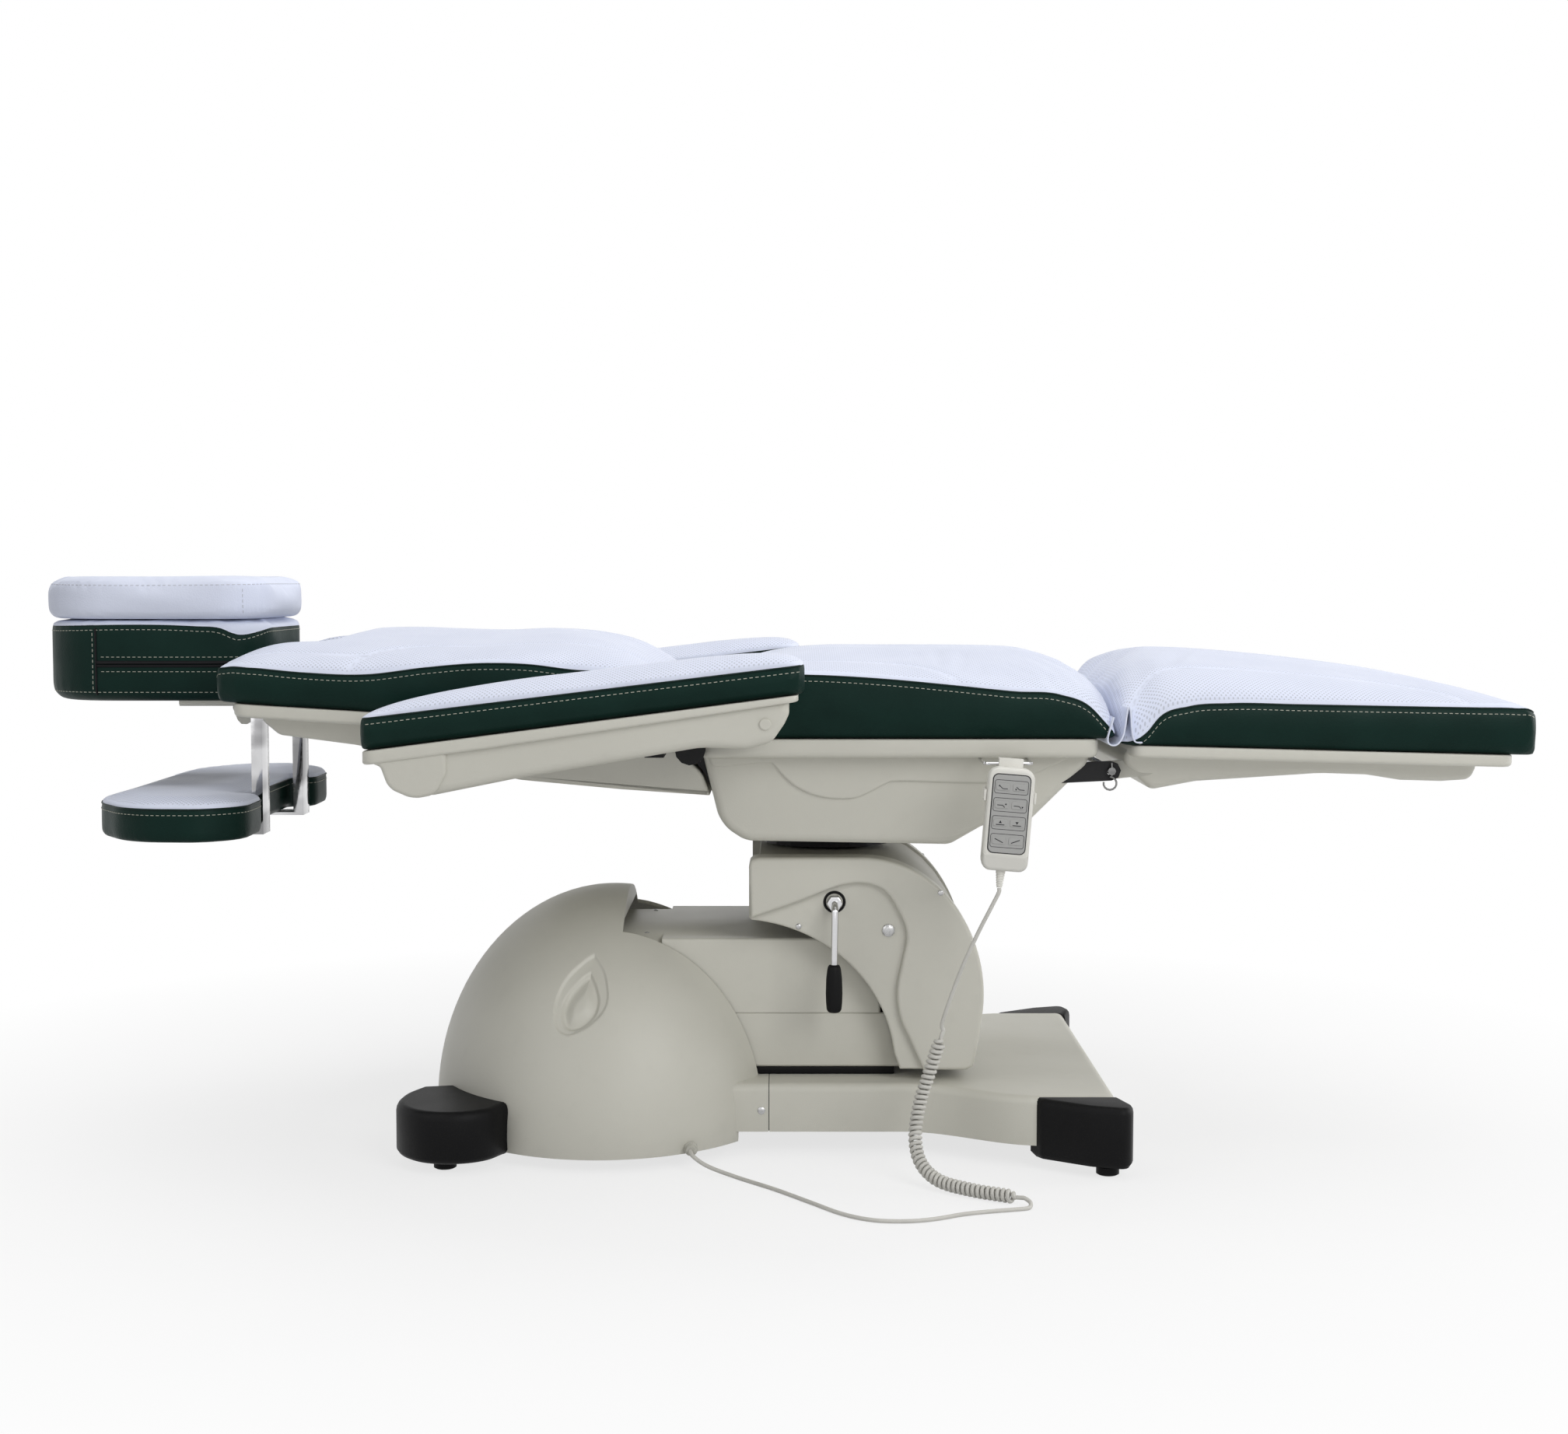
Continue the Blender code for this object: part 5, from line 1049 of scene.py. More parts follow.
def ellipsoid(grow, sides):
    """The dome's round form, grown by a distance."""
    bm = bmesh.new()
    size = Matrix.Diagonal((*(DOME_SIZE + Vector((grow, grow, grow))), 1.0))
    bmesh.ops.create_uvsphere(bm, u_segments=sides, v_segments=sides // 2, radius=1.0,
                              matrix=Matrix.Translation(DOME_MIDDLE) @ size)
    return bm


def dimpled(grow, rounds):
    """The dome's skin, or its inner face, with a dimple on each side."""
    bm = ellipsoid(grow, 112)
    reach = DOME_SIZE + Vector((grow, grow, grow))
    depth = dimple()
    for margin in (0.018, 0.010, 0.005)[:rounds]:
        local = [e for e in bm.edges if all(near_dimple(v.co, 0.034 + margin, 0.046 + margin) for v in e.verts)]
        bmesh.ops.subdivide_edges(bm, edges=local, cuts=1, use_grid_fill=True)
    for vert in bm.verts:
        unit = Vector([(vert.co[k] - DOME_MIDDLE[k]) / reach[k] for k in range(3)]).normalized()
        vert.co = DOME_MIDDLE + Vector([unit[k] * reach[k] for k in range(3)])
        if near_dimple(vert.co, 0.04, 0.05):
            out = Vector([unit[k] / reach[k] for k in range(3)]).normalized()
            vert.co -= out * depth(vert.co.x, vert.co.z)
    return bm


def dome_shape():
    """The dome's shell with its foot flange, the opening for the arm and the lip over it."""
    flange = block([(-0.2, 0.029), (0.2, 0.029), (0.2, 0.089, 0.010), (-0.2, 0.089, 0.010)], -0.10, 0.0121, "YZ")
    room = block([(-0.196, 0.0), (0.196, 0.0), (0.196, 0.085, 0.008), (-0.196, 0.085, 0.008)], -0.10, 0.1, "YZ")
    lip = carve(brick((-0.178, -0.174), (-0.150, 0.150), (0.286, 0.4)), [ellipsoid(-0.0015, 64)], "INTERSECT")
    bm = carve(dimpled(0.0, 3), [flange], "UNION")
    bm = carve(bm, [dimpled(-WALL, 2), room, brick((-0.174, 0.2), (-0.147, 0.147), (0.0891, 0.4)),
                    brick((0.0121, 0.2), (-0.4, 0.4), (-0.4, 0.4)), brick((-0.6, 0.2), (-0.4, 0.4), (-0.4, 0.016)),
                    brick((-0.404, -0.366), (-0.4, 0.4), (0.0, 0.067))])
    return carve(bm, [lip], "UNION")


HEAD_CAP_LEVELS = [(0.014, 0.006), (0.0155, 0.003), (0.020, 0.0), (0.066, 0.0), (0.071, 0.0008), (0.0745, 0.0026),
                   (0.0768, 0.0052), (0.0778, 0.0082), (0.0779, 0.0100)]
FOOT_CAP_LEVELS = [(0.014, 0.004), (0.020, 0.0), (0.079, 0.0), (0.0835, 0.0008), (0.0865, 0.003), (0.088, 0.006),
                   (0.0883, 0.0085)]


def cap_shape(plan, levels, glide, rooms=()):
    """An end cap with a crowned top and its glide, and with room for what it fits round."""
    bm = layered(plan, levels, "XY", 7)
    if rooms:
        bm = carve(bm, rooms)
    foot = turned([(0.0, 0.0), (0.0, 0.0115), (0.0015, 0.014), (0.010, 0.014), (0.0135, 0.011), (0.020, 0.011)],
                  (*glide, 0.0), (0, 0, 1), 32)
    return add_to(bm, foot)


def make_base():
    """The covers, caps and arm skirt that stand on the floor."""
    piece("dome_shell", dome_shape(), "shell", "base", ("dome_cover",), 30.0)
    half = [(-0.02, 0.20)]
    half += [(0.18 + 0.17 * k / 18, 0.20 + 0.07 * (1 - math.cos(math.pi * k / 18)) / 2) for k in range(19)]
    half += [(0.44, 0.27, 0.013)]
    plan = half + [(c[0], -c[1]) + tuple(c[2:]) for c in reversed(half)]
    hollow = layered(plan, [(0.0, WALL), (0.075, WALL), (PLATE_TOP - WALL, 0.010)], "XY")
    bm = carve(layered(plan, round_levels(PLATE_BOTTOM, PLATE_TOP, 0.0, 0.010), "XY"),
               [hollow, brick((-0.2, 0.0131), (-0.4, 0.4), (0.0, 0.2))])
    piece("foot_plate", bm, "shell", "base", ("base_cover",), 30.0)
    # Painted shade: a dark plate behind the gap between the dome and the foot plate, so that the gap shows as a dark
    # line.
    gap_shade = layered([(-0.1980, 0.030), (0.1980, 0.030), (0.1980, 0.0868, 0.009), (-0.1980, 0.0868, 0.009)],
                    [(0.008, 0.0), (0.018, 0.0)], "YZ")
    gap_shade = carve(gap_shade, [brick((-0.1, 0.1), (-0.195, 0.195), (0.0, 0.083))])
    piece("cover_gap_shade", gap_shade, "steel", "base")
    front = smooth_line([(-0.430, 0.155), (-0.446, 0.195), (-0.449, 0.238), (-0.436, 0.272), (-0.411, 0.297),
                         (-0.380, 0.306), (-0.350, 0.301), (-0.326, 0.284), (-0.311, 0.256)], 4)
    head_plan = front + [(-0.28, 0.22), (-0.36, 0.14)]
    foot_plan = [(0.335, 0.258), (0.443, 0.258), (0.455, 0.30, 0.02), (0.447, 0.331, 0.018), (0.40, 0.314, 0.03),
                 (0.345, 0.277, 0.01)]
    for side, word in SIDES:
        plan = [(x, side * y) for x, y in head_plan]
        rooms = [ellipsoid(0.0008, 96), brick((-0.4015, -0.3685), (-0.2775, 0.2775), (0.0336, 0.0644))]
        cap = cap_shape(plan, HEAD_CAP_LEVELS, (-0.385, side * 0.262), rooms)
        piece("head_cap_" + word, cap, "black", "base", ("cap_head_" + word,))
        plan = [(c[0], side * c[1]) + tuple(c[2:]) for c in foot_plan]
        piece("foot_cap_" + word, cap_shape(plan, FOOT_CAP_LEVELS, (0.425, side * 0.292)), "black", "base",
              ("cap_foot_" + word,))
    piece("arm_strip", node_copy("skirt_base", 0.002), "black", "base", ("skirt_base",))
    side = ARM_HALF - WALL
    skirt = layered([(-0.08, -ARM_HALF), (0.183, -ARM_HALF, 0.003), (0.183, ARM_HALF, 0.003), (-0.08, ARM_HALF)],
                    [(0.0995, 0.002), (0.1015, 0.0), (0.1675, 0.0), (0.1689, 0.0014)], "XY")
    skirt = carve(skirt, [brick((-0.2, 0.3), (-side, side), (0.1035, 0.3)),
                          brick((0.12, 0.3), (-side, side), (0.0, 0.2))])
    piece("arm_skirt", skirt, "shell", "base", ("lift_skirt",))
    gland = turned([(0.0, 0.0085), (0.004, 0.0085), (0.005, 0.0072), (0.011, 0.0068), (0.013, 0.0055), (0.013, 0.0)],
                   (-0.083, -0.2565, 0.0225), (0, -1, 0))
    # The gland takes the darker shell copy, painted shade low down by the floor.
    piece("cord_entry", gland, "shell_under", "base", ("cord_gland",))
    heads = [screw((0.003, -0.2001, 0.056), (0, -1, 0), 0.0048), screw((0.003, 0.2001, 0.056), (0, 1, 0), 0.0048)]
    piece("base_screws", add_to(bmesh.new(), *heads), "screw", "base")


# Lift


def arc(cx, cz, rx, rz, first, last, steps):
    """Points of an oval arc between two angles in degrees."""
    turns = [math.radians(first + (last - first) * k / steps) for k in range(steps + 1)]
    return [(cx + rx * math.cos(t), cz + rz * math.sin(t)) for t in turns]


def make_lift():
    """The arm's hood, the head's sides and the lock lever."""
    plan = [(-0.196, -ARM_HALF), (0.155, -ARM_HALF, 0.004), (0.155, ARM_HALF, 0.004), (-0.196, ARM_HALF)]
    corners = [block([(side * 0.108, 0.2662), (side * 0.16, 0.2662), (side * 0.16, 0.2351)], -0.4, -0.124, "YZ")
               for side in (-1, 1)]
    inner = [block([(side * 0.100, 0.2662), (side * 0.16, 0.2662), (side * 0.16, 0.2304)], -0.5, -0.120, "YZ")
             for side in (-1, 1)]
    hollow = carve(brick((-0.4, 0.4), (WALL - ARM_HALF, ARM_HALF - WALL), (0.0, 0.261)), inner)
    hood = carve(layered(plan, round_levels(0.1694, 0.265, 0.0, 0.004), "XY"), [hollow, *corners])
    piece("arm_hood", hood, "shell", "lift_arm", ("arm_cover",))
    heads = [screw((-0.146, y, 0.265), (0, 0, 1), 0.003, 0.0015) for y in (-0.10, 0.10)]
    piece("hood_screws", add_to(bmesh.new(), *heads), "screw", "lift_arm")
    hollow = arc(-0.03, HEAD_BOTTOM, 0.202, 0.191, 84, 6, 28)
    foot = [(0.178, HEAD_BOTTOM), (0.262, HEAD_BOTTOM), (0.270, 0.110), (0.277, 0.144)]
    nose = arc(0.13, 0.200, 0.153, 0.174, -6, 90, 32)
    shoulder = [(-0.0005, HEAD_TOP), (-0.0070, 0.3725), (-0.0110, 0.369), (-0.0125, 0.362), (-0.0125, 0.297)]
    arch = smooth_line([(-0.0105, 0.2975), (0.05, 0.3185), (0.099, 0.3375), (0.130, 0.3415), (0.158, 0.3315),
                        (0.179, 0.2985), (0.1855, 0.274), (0.1805, 0.245), (0.1735, 0.207), (0.1775, 0.172),
                        (0.1905, 0.142), (0.207, 0.105)], 5)
    for side, word in SIDES:
        panel = block(hollow + foot + nose + shoulder, -HEAD_PANEL, -HEAD_INNER, "XZ", 0.003, 0.0, 4)
        band = block([(0.2615, 0.1048)] + foot[2:] + nose + shoulder[:4] + arch, -HEAD_HALF, -HEAD_PANEL + 0.004, "XZ",
                     0.0045, 0.0, 5)
        piece("head_side_" + word, on_side(add_to(panel, band), side), "shell", "lift_head",
              ("head_cover_" + word,), 34.0)
    # The head's back takes the darker shell copy, painted shade.
    piece("head_back", node_copy("head_spine", 0.0015), "shell_under", "lift_head", ("head_spine",),
          30.0)
    ring = turned([(-0.006, 0.0), (-0.006, 0.0105), (0.0010, 0.0108), (0.0022, 0.0118), (0.0022, 0.0132), (0.0, 0.0142),
                   (-0.003, 0.0142)], (LEVER_X, -HEAD_PANEL, LEVER_Z), (0, -1, 0), 40)
    piece("lever_collar", ring, "black", "lift_head")
    bend = through([(LEVER_X, -0.1195, LEVER_Z), (LEVER_X, -0.190, LEVER_Z), (LEVER_X, -0.201, LEVER_Z - 0.001),
                    (LEVER_X, -0.208, LEVER_Z - 0.006), (LEVER_X, -0.210, LEVER_Z - 0.016),
                    (LEVER_X - 0.001, -0.210, 0.241)], 8)
    rod = tube_mesh("rod", bend, 0.0042, 6)
    nut = block([(LEVER_X + 0.0098 * math.cos(math.radians(60 * k)), LEVER_Z + 0.0098 * math.sin(math.radians(60 * k)))
                 for k in range(6)], -0.196, -0.181, "XZ", 0.0012, 0.0012, 2)
    piece("lever_shaft", add_to(rod, nut), "chrome", "lock_lever", ("lever_rod",), 45.0)
    grip = turned([(0.0, 0.0), (0.0, 0.0058), (0.0015, 0.0080), (0.004, 0.0093), (0.012, 0.0101), (0.024, 0.0105),
                   (0.042, 0.0100), (0.053, 0.0088), (0.057, 0.0080), (0.0595, 0.0064), (0.060, 0.0045)],
                  (LEVER_X - 0.001, -0.210, 0.1825), (0, 0, 1), 40)
    piece("lever_handle", grip, "black", "lock_lever", ("lever_grip",), 50.0)
    heads = [screw((0.163, -0.1805, 0.281), (0, -1, 0), 0.0080, 0.0035)]
    heads += [screw(at, (0, -1, 0), 0.0036)
              for at in ((-0.002, -0.1805, 0.332), (0.228, -0.1905, 0.330), (0.050, -0.1805, 0.286))]
    piece("head_screws", both(add_to(bmesh.new(), *heads)), "screw", "lift_head")


# Trays


def tray(corners, half, round_off, cuts=(), room=None):
    """A hollow tray from its side outline, with openings cut into it; room is the hollow's own outline."""
    inner = half - WALL
    levels = [(-inner, round_off), (round_off - inner, WALL), (inner - round_off, WALL), (inner, round_off)]
    hollow = layered(room or corners, levels, "XZ", 8)
    return carve(layered(corners, round_levels(-half, half, round_off, round_off), "XZ", 8), [hollow, *cuts])


def drafted(bm, top, slope, middle=0.0):
    """Leans a tray's sides in towards its bottom; top gives its rim's height over x."""
    for vert in bm.verts:
        lean = slope * max(0.0, top(vert.co.x) - vert.co.z)
        vert.co.y += lean if vert.co.y < middle else -lean
    return bm


def sloped(bm, line):
    """Lifts each point by the height of a line over its x."""
    for vert in bm.verts:
        vert.co.z += line(vert.co.x)
    return bm


def back_line(x):
    """The height of the back cushion's bottom over x."""
    return 0.5395 + (-0.1 - x) * 0.0616


def leg_line(x):
    """The height of the leg cushion's bottom over x."""
    return 0.5215 - (x - 0.4637) * 0.0258


def make_trays():
    """The hollow trays under the cushions, and the armrests' shells."""
    bm = tray([(-0.0729, 0.5285), (-0.0470, 0.4200, 0.045), (-0.0160, 0.3992, 0.03), (0.2364, 0.3947, 0.02),
               (0.277, 0.4188, 0.02), (0.3343, 0.4246, 0.015), (0.4026, 0.4952, 0.016), (0.410, 0.5285)],
              PAN_HALF, 0.010, [brick((-0.022, 0.128), (-0.07, 0.07), (0.3, 0.41))])
    step = [(-0.0600, 0.506), (-0.0565, 0.4925, 0.006), (0.006, 0.4985, 0.01)]
    step += smooth_line([(0.017, 0.498), (0.031, 0.481), (0.048, 0.467), (0.07, 0.457), (0.094, 0.453),
                         (0.119, 0.454), (0.14, 0.463), (0.157, 0.472), (0.175, 0.475), (0.281, 0.473),
                         (0.33, 0.482), (0.365, 0.497)], 4)
    step += [(0.385, 0.507)]
    panel = block(step, -PAN_HALF - 0.0035, -PAN_HALF + 0.004, "XZ", 0.003, 0.0, 4)
    lip = block([(-0.074, -LIP_HALF, 0.02), (0.413, -LIP_HALF, 0.02), (0.413, LIP_HALF, 0.02),
                 (-0.074, LIP_HALF, 0.02)], 0.506, 0.5289, "XY", 0.008, 0.003, 5, 8)
    bm = drafted(add_to(bm, both(panel)), lambda x: 0.510, 0.20)
    piece("seat_tray", add_to(bm, lip), "shell", "seat", ("seat_pan",), 32.0)
    run = [(-0.612, back_line(-0.612) - 0.001), (-0.606, 0.548, 0.012), (-0.588, 0.5315, 0.014),
           (-0.4947, 0.5189, 0.06), (-0.2934, 0.4746, 0.06), (-0.1685, 0.4628, 0.04)]
    bm = tray(run + [(-0.0590, 0.4552, 0.002), (-0.0690, 0.4830, 0.03), (-0.0975, 0.5130, 0.02),
                     (-0.0975, back_line(-0.0975) - 0.001)], PAN_HALF, 0.004,
              [brick((-0.8, -0.535), (-0.162, 0.162), (0.533, 0.7))],
              run + [(-0.105, 0.458), (-0.105, back_line(-0.105) - 0.001)])
    rim = block([(-0.636, -LIP_HALF, 0.02), (-0.0965, -LIP_HALF, 0.02), (-0.0965, LIP_HALF, 0.02),
                 (-0.636, LIP_HALF, 0.02), (-0.636, 0.1625, 0.006), (-0.535, 0.1625, 0.01), (-0.535, -0.1625, 0.01),
                 (-0.636, -0.1625, 0.006)], -0.0165, -0.0004, "XY", 0.005, 0.002, 4, 6)
    long_edges = [e for e in rim.edges if abs(e.verts[0].co.x - e.verts[1].co.x) > 0.1]
    bmesh.ops.subdivide_edges(rim, edges=long_edges, cuts=2)
    piece("back_tray", add_to(drafted(bm, back_line, 0.35), sloped(rim, back_line)), "shell", "back",
          ("back_pan",), 32.0)
    # Painted shade: dark plates fill the wedge between the back and seat trays, where there is only shade.
    shade_plate = block([(-0.0950, 0.5270), (-0.0945, 0.5135), (-0.0755, 0.4955), (-0.0650, 0.4815), (-0.0595, 0.4660),
                    (-0.0565, 0.4575), (-0.048, 0.4575), (-0.062, 0.5270)], -0.244, -0.236, "XZ")
    piece("hinge_painted_shade", drafted(both(shade_plate), back_line, 0.35), "steel", "seat")
    bm = tray([(0.455, leg_line(0.455) - 0.001), (0.4455, 0.4985, 0.014), (0.4845, 0.4625, 0.012),
               (0.5391, 0.4735, 0.04), (0.6916, 0.484, 0.2), (0.7489, 0.4821, 0.05), (0.791, 0.4752, 0.03),
               (0.8414, 0.4738, 0.03), (0.876, 0.4762, 0.013), (0.8805, 0.490, 0.012),
               (0.8805, leg_line(0.8805) - 0.001)], PAN_HALF, 0.008)
    rim = block([(0.452, -LIP_HALF, 0.015), (0.916, -LIP_HALF, 0.02), (0.916, LIP_HALF, 0.02),
                 (0.452, LIP_HALF, 0.015)], -0.0150, -0.0004, "XY", 0.005, 0.002, 4, 6)
    piece("leg_tray", add_to(drafted(bm, leg_line, 0.45), sloped(rim, leg_line)), "shell", "leg_rest",
          ("leg_pan",), 32.0)
    for side, word in SIDES:
        piece("arm_tray_" + word, on_side(arm_shell_shape(), side), "shell", "armrest_" + word,
              ("arm_shell_" + word,), 32.0)


def arm_bottom(x):
    """The height of an arm cushion's bottom over x."""
    return 0.525 + (x + 0.4555) * 0.1293


def arm_seam(x):
    """The height of an arm cushion's seam over x."""
    return 0.5626 + (x + 0.4555) * 0.1214


def arm_shell_shape():
    """The near armrest's shell: a tapering body under a lip, with a stepped front and a pivot boss."""
    low = 0.003
    body = layered([(-0.420, arm_bottom(-0.420) - low), (-0.410, 0.490, 0.015), (-0.378, 0.4722, 0.02),
                    (-0.2784, 0.4924, 0.08), (-0.0646, 0.5285, 0.08), (-0.0110, 0.5265, 0.03), (0.0175, 0.5345, 0.02),
                    (0.0320, 0.556, 0.014), (0.0375, 0.568, 0.012), (0.0375, arm_bottom(0.0375) - low)],
                   round_levels(-0.4205, -0.3275, 0.010, 0.010), "XZ", 8)
    end = layered([(-0.4475, arm_bottom(-0.4475) - low), (-0.4400, 0.5110, 0.006), (-0.4310, 0.5070, 0.006),
                   (-0.4228, 0.4820, 0.02), (-0.3954, 0.4695, 0.03), (-0.3690, 0.4745, 0.02), (-0.3550, 0.500, 0.02),
                   (-0.3550, arm_bottom(-0.3550) - low)], round_levels(-0.4250, -0.3230, 0.005, 0.005), "XZ", 8)
    lip = block([(-0.4530, -0.4260, 0.018), (0.0480, -0.4260, 0.018), (0.0480, -0.3220, 0.018),
                 (-0.4530, -0.3220, 0.018)], -0.0165, -0.0005, "XY", 0.004, 0.002, 4, 6)
    long_edges = [e for e in lip.edges if abs(e.verts[0].co.x - e.verts[1].co.x) > 0.1]
    bmesh.ops.subdivide_edges(lip, edges=long_edges, cuts=3)
    for vert in lip.verts:
        vert.co.z *= 1.0 - 0.5 * min(1.0, max(0.0, (vert.co.x + 0.356) / 0.39))
    boss = turned([(0.0, 0.007), (0.0015, 0.007), (0.0025, 0.006), (0.0027, 0.0)], (0.010, -0.4205, 0.556), (0, -1, 0))
    return add_to(drafted(add_to(body, end, boss), arm_bottom, 0.16, -0.374), sloped(lip, arm_bottom))


# Cushions

# Rows of (x, half width, bottom, seam, crown)
SEAT_STATIONS = [
    (-0.064, 0.270, 0.5293, 0.552, 0.558), (-0.058, 0.284, 0.5293, 0.570, 0.579), (-0.045, 0.288, 0.5293, 0.588, 0.598),
    (-0.03, 0.288, 0.5293, 0.600, 0.612), (0.0, 0.288, 0.5293, 0.607, 0.624), (0.06, 0.288, 0.5293, 0.607, 0.629),
    (0.16, 0.288, 0.5293, 0.6015, 0.629), (0.24, 0.288, 0.5293, 0.594, 0.629), (0.31, 0.288, 0.5293, 0.587, 0.628),
    (0.365, 0.288, 0.5293, 0.583, 0.625), (0.40, 0.288, 0.5293, 0.569, 0.617), (0.420, 0.288, 0.5293, 0.548, 0.602),
    (0.430, 0.285, 0.5293, 0.537, 0.578), (0.4335, 0.278, 0.5293, 0.534, 0.550),
]
# Rows of (x, how far the sides draw in, how far the bottom rises, seam, crown)
BACK_ROWS = [
    (-0.6620, 0.048, 0.003, 0.606, 0.611), (-0.6580, 0.026, 0.001, 0.611, 0.620), (-0.642, 0.008, 0, 0.6160, 0.633),
    (-0.612, 0, 0, 0.6155, 0.646), (-0.55, 0, 0, 0.610, 0.653), (-0.473, 0, 0, 0.6075, 0.655),
    (-0.40, 0, 0, 0.616, 0.651), (-0.336, 0, 0, 0.621, 0.6495), (-0.28, 0, 0, 0.620, 0.653),
    (-0.22, 0, 0, 0.613, 0.654), (-0.165, 0, 0, 0.610, 0.642), (-0.135, 0, 0, 0.605, 0.624),
    (-0.114, 0, 0, 0.596, 0.606), (-0.100, 0.004, 0, 0.578, 0.586), (-0.092, 0.018, 0, 0.557, 0.562),
]
# Rows of (x, how far the sides draw in, seam, crown)
LEG_ROWS = [
    (0.4375, 0.010, 0.5245, 0.560), (0.442, 0.003, 0.5255, 0.597), (0.452, 0, 0.527, 0.617), (0.470, 0, 0.538, 0.626),
    (0.485, 0, 0.556, 0.629), (0.52, 0, 0.569, 0.6305), (0.57, 0, 0.5727, 0.628), (0.65, 0, 0.5715, 0.620),
    (0.73, 0, 0.570, 0.611), (0.81, 0, 0.5685, 0.600), (0.87, 0, 0.5675, 0.591), (0.915, 0, 0.5665, 0.581),
    (0.934, 0.002, 0.5645, 0.573), (0.942, 0.009, 0.5595, 0.5635),
]
# Rows of (x, how far the sides draw in, how far the crown drops)
ARM_ROWS = [
    (-0.4555, 0.018, 0.0170), (-0.452, 0.008, 0.0150), (-0.445, 0.002, 0.0120), (-0.43, 0.0, 0.0080),
    (-0.40, 0.0, 0.0035), (-0.36, 0.0, 0.0005), (-0.2, 0.0, 0.0), (-0.08, 0.0, 0.0), (0.01, 0.0, 0.0005),
    (0.030, 0.0, 0.0035), (0.044, 0.001, 0.0085), (0.051, 0.006, 0.0130), (0.055, 0.017, 0.0165),
]
ARM_PAD_Y, ARM_PAD_HALF = 0.376, 0.054


def sewn_rows(name, obj, rows, look, body):
    """Stitches along rows on a cushion's finished surface, which it gives back."""
    surface = surface_of(obj)
    made = piece(name, add_to(bmesh.new(), *[stitch_row(surface, row) for row in rows]), look, body)
    return surface


def piped(name, surface, rows, body):
    """The piping of a cushion along rows on its surface."""
    piece(name, welt(surface, rows, chosen("piping")), "welt", body, (), 80.0)


def mirrored_lines(*lines):
    """Smooth plan lines on the near side, with their twins on the far side."""
    near = [smooth_line(line) for line in lines]
    return near + [[(x, -y) for x, y in line] for line in near]


def seam_over(rows):
    """A function of x: the height of the seam in rows of stations."""
    table = [(row[0], row[3]) for row in rows]
    return lambda x: curve_value(table, x)


def sew_cushion(name, bm, seam, body, node, lines, reach, bottom, voxel=0.006, half=CUSHION_HALF, cap=None, shift=0.0):
    """Turns a padded form into a finished cushion: even skin, blown up, drawn in at its seams, stitched and piped.

    reach is the run of its stitches along x, and bottom gives its underside's height over x.
    """
    obj = helper(remeshed(bm, voxel), name)
    co = places(obj.data)
    above = co[:, 2] - np.array([seam(x) for x in co[:, 0]])
    low = np.array([bottom(x) for x in co[:, 0]])
    free = np.clip((np.abs(above) - 0.002) / 0.005, 0, 1) * np.clip((co[:, 2] - low - 0.004) / 0.012, 0, 1)
    for line in lines:
        free *= np.clip((line_distance(co[:, :2], line) - 0.003) / 0.02, 0.25, 1)
    puffed(obj, free, cap or chosen("swell"))
    finish_cushion(obj, seam, lines)
    dress(obj, "vinyl", body, (node,), 80.0)
    subdivide_once(obj)
    count = int((reach[1] - reach[0]) / ROW_STEP)
    xs = [reach[0] + (reach[1] - reach[0]) * k / count for k in range(count + 1)]
    below = [[((x, shift + side * (half + 0.04), seam(x) - 0.0075), (0, -side, 0)) for x in xs] for side in (-1, 1)]
    surface = sewn_rows(name + "_stitches", obj, below, "thread", body)
    at_seam = [[(Vector(point) + Vector((0, 0, 0.0066)), way) for point, way in row] for row in below]
    piped(name + "_welt", surface, at_seam, body)


def seat_bottom(x):
    """The height of the seat cushion's bottom over x."""
    return 0.5293


def make_cushions():
    """The seat, back and leg cushions and the strip between the last two."""
    lines = mirrored_lines([(-0.07, -0.200), (0.06, -0.202), (0.14, -0.208), (0.195, -0.228), (0.232, -0.262),
                            (0.247, -0.295)])
    sew_cushion("seat_pad", cushion_form(SEAT_STATIONS), seam_over(SEAT_STATIONS), "seat", "seat_cushion", lines,
                (-0.055, 0.428), seat_bottom)
    rows = [(x, CUSHION_HALF - draw, back_line(x) + rise, s, c) for x, draw, rise, s, c in BACK_ROWS]
    lines = mirrored_lines([(-0.500, -0.295), (-0.487, -0.262), (-0.462, -0.232), (-0.42, -0.212), (-0.34, -0.203),
                            (-0.09, -0.200)], [(-0.67, -0.236), (-0.56, -0.240), (-0.48, -0.246)])
    notch = block([(-0.72, -0.162), (-0.535, -0.162, 0.02), (-0.535, 0.162, 0.02), (-0.72, 0.162)], 0.5, 0.72, "XY")
    sew_cushion("back_pad", carve(cushion_form(rows), [notch]), seam_over(rows), "back", "back_cushion", lines,
                (-0.660, -0.099), back_line, 0.0064)
    rows = [(x, CUSHION_HALF - draw, leg_line(x), s, c) for x, draw, s, c in LEG_ROWS]
    lines = mirrored_lines([(0.447, -0.295), (0.455, -0.258), (0.475, -0.228), (0.51, -0.210), (0.60, -0.203),
                            (0.74, -0.203), (0.80, -0.214), (0.845, -0.240), (0.865, -0.295)])
    sew_cushion("leg_pad", cushion_form(rows), seam_over(rows), "leg_rest", "leg_cushion", lines, (0.442, 0.938),
                leg_line)
    make_flap()


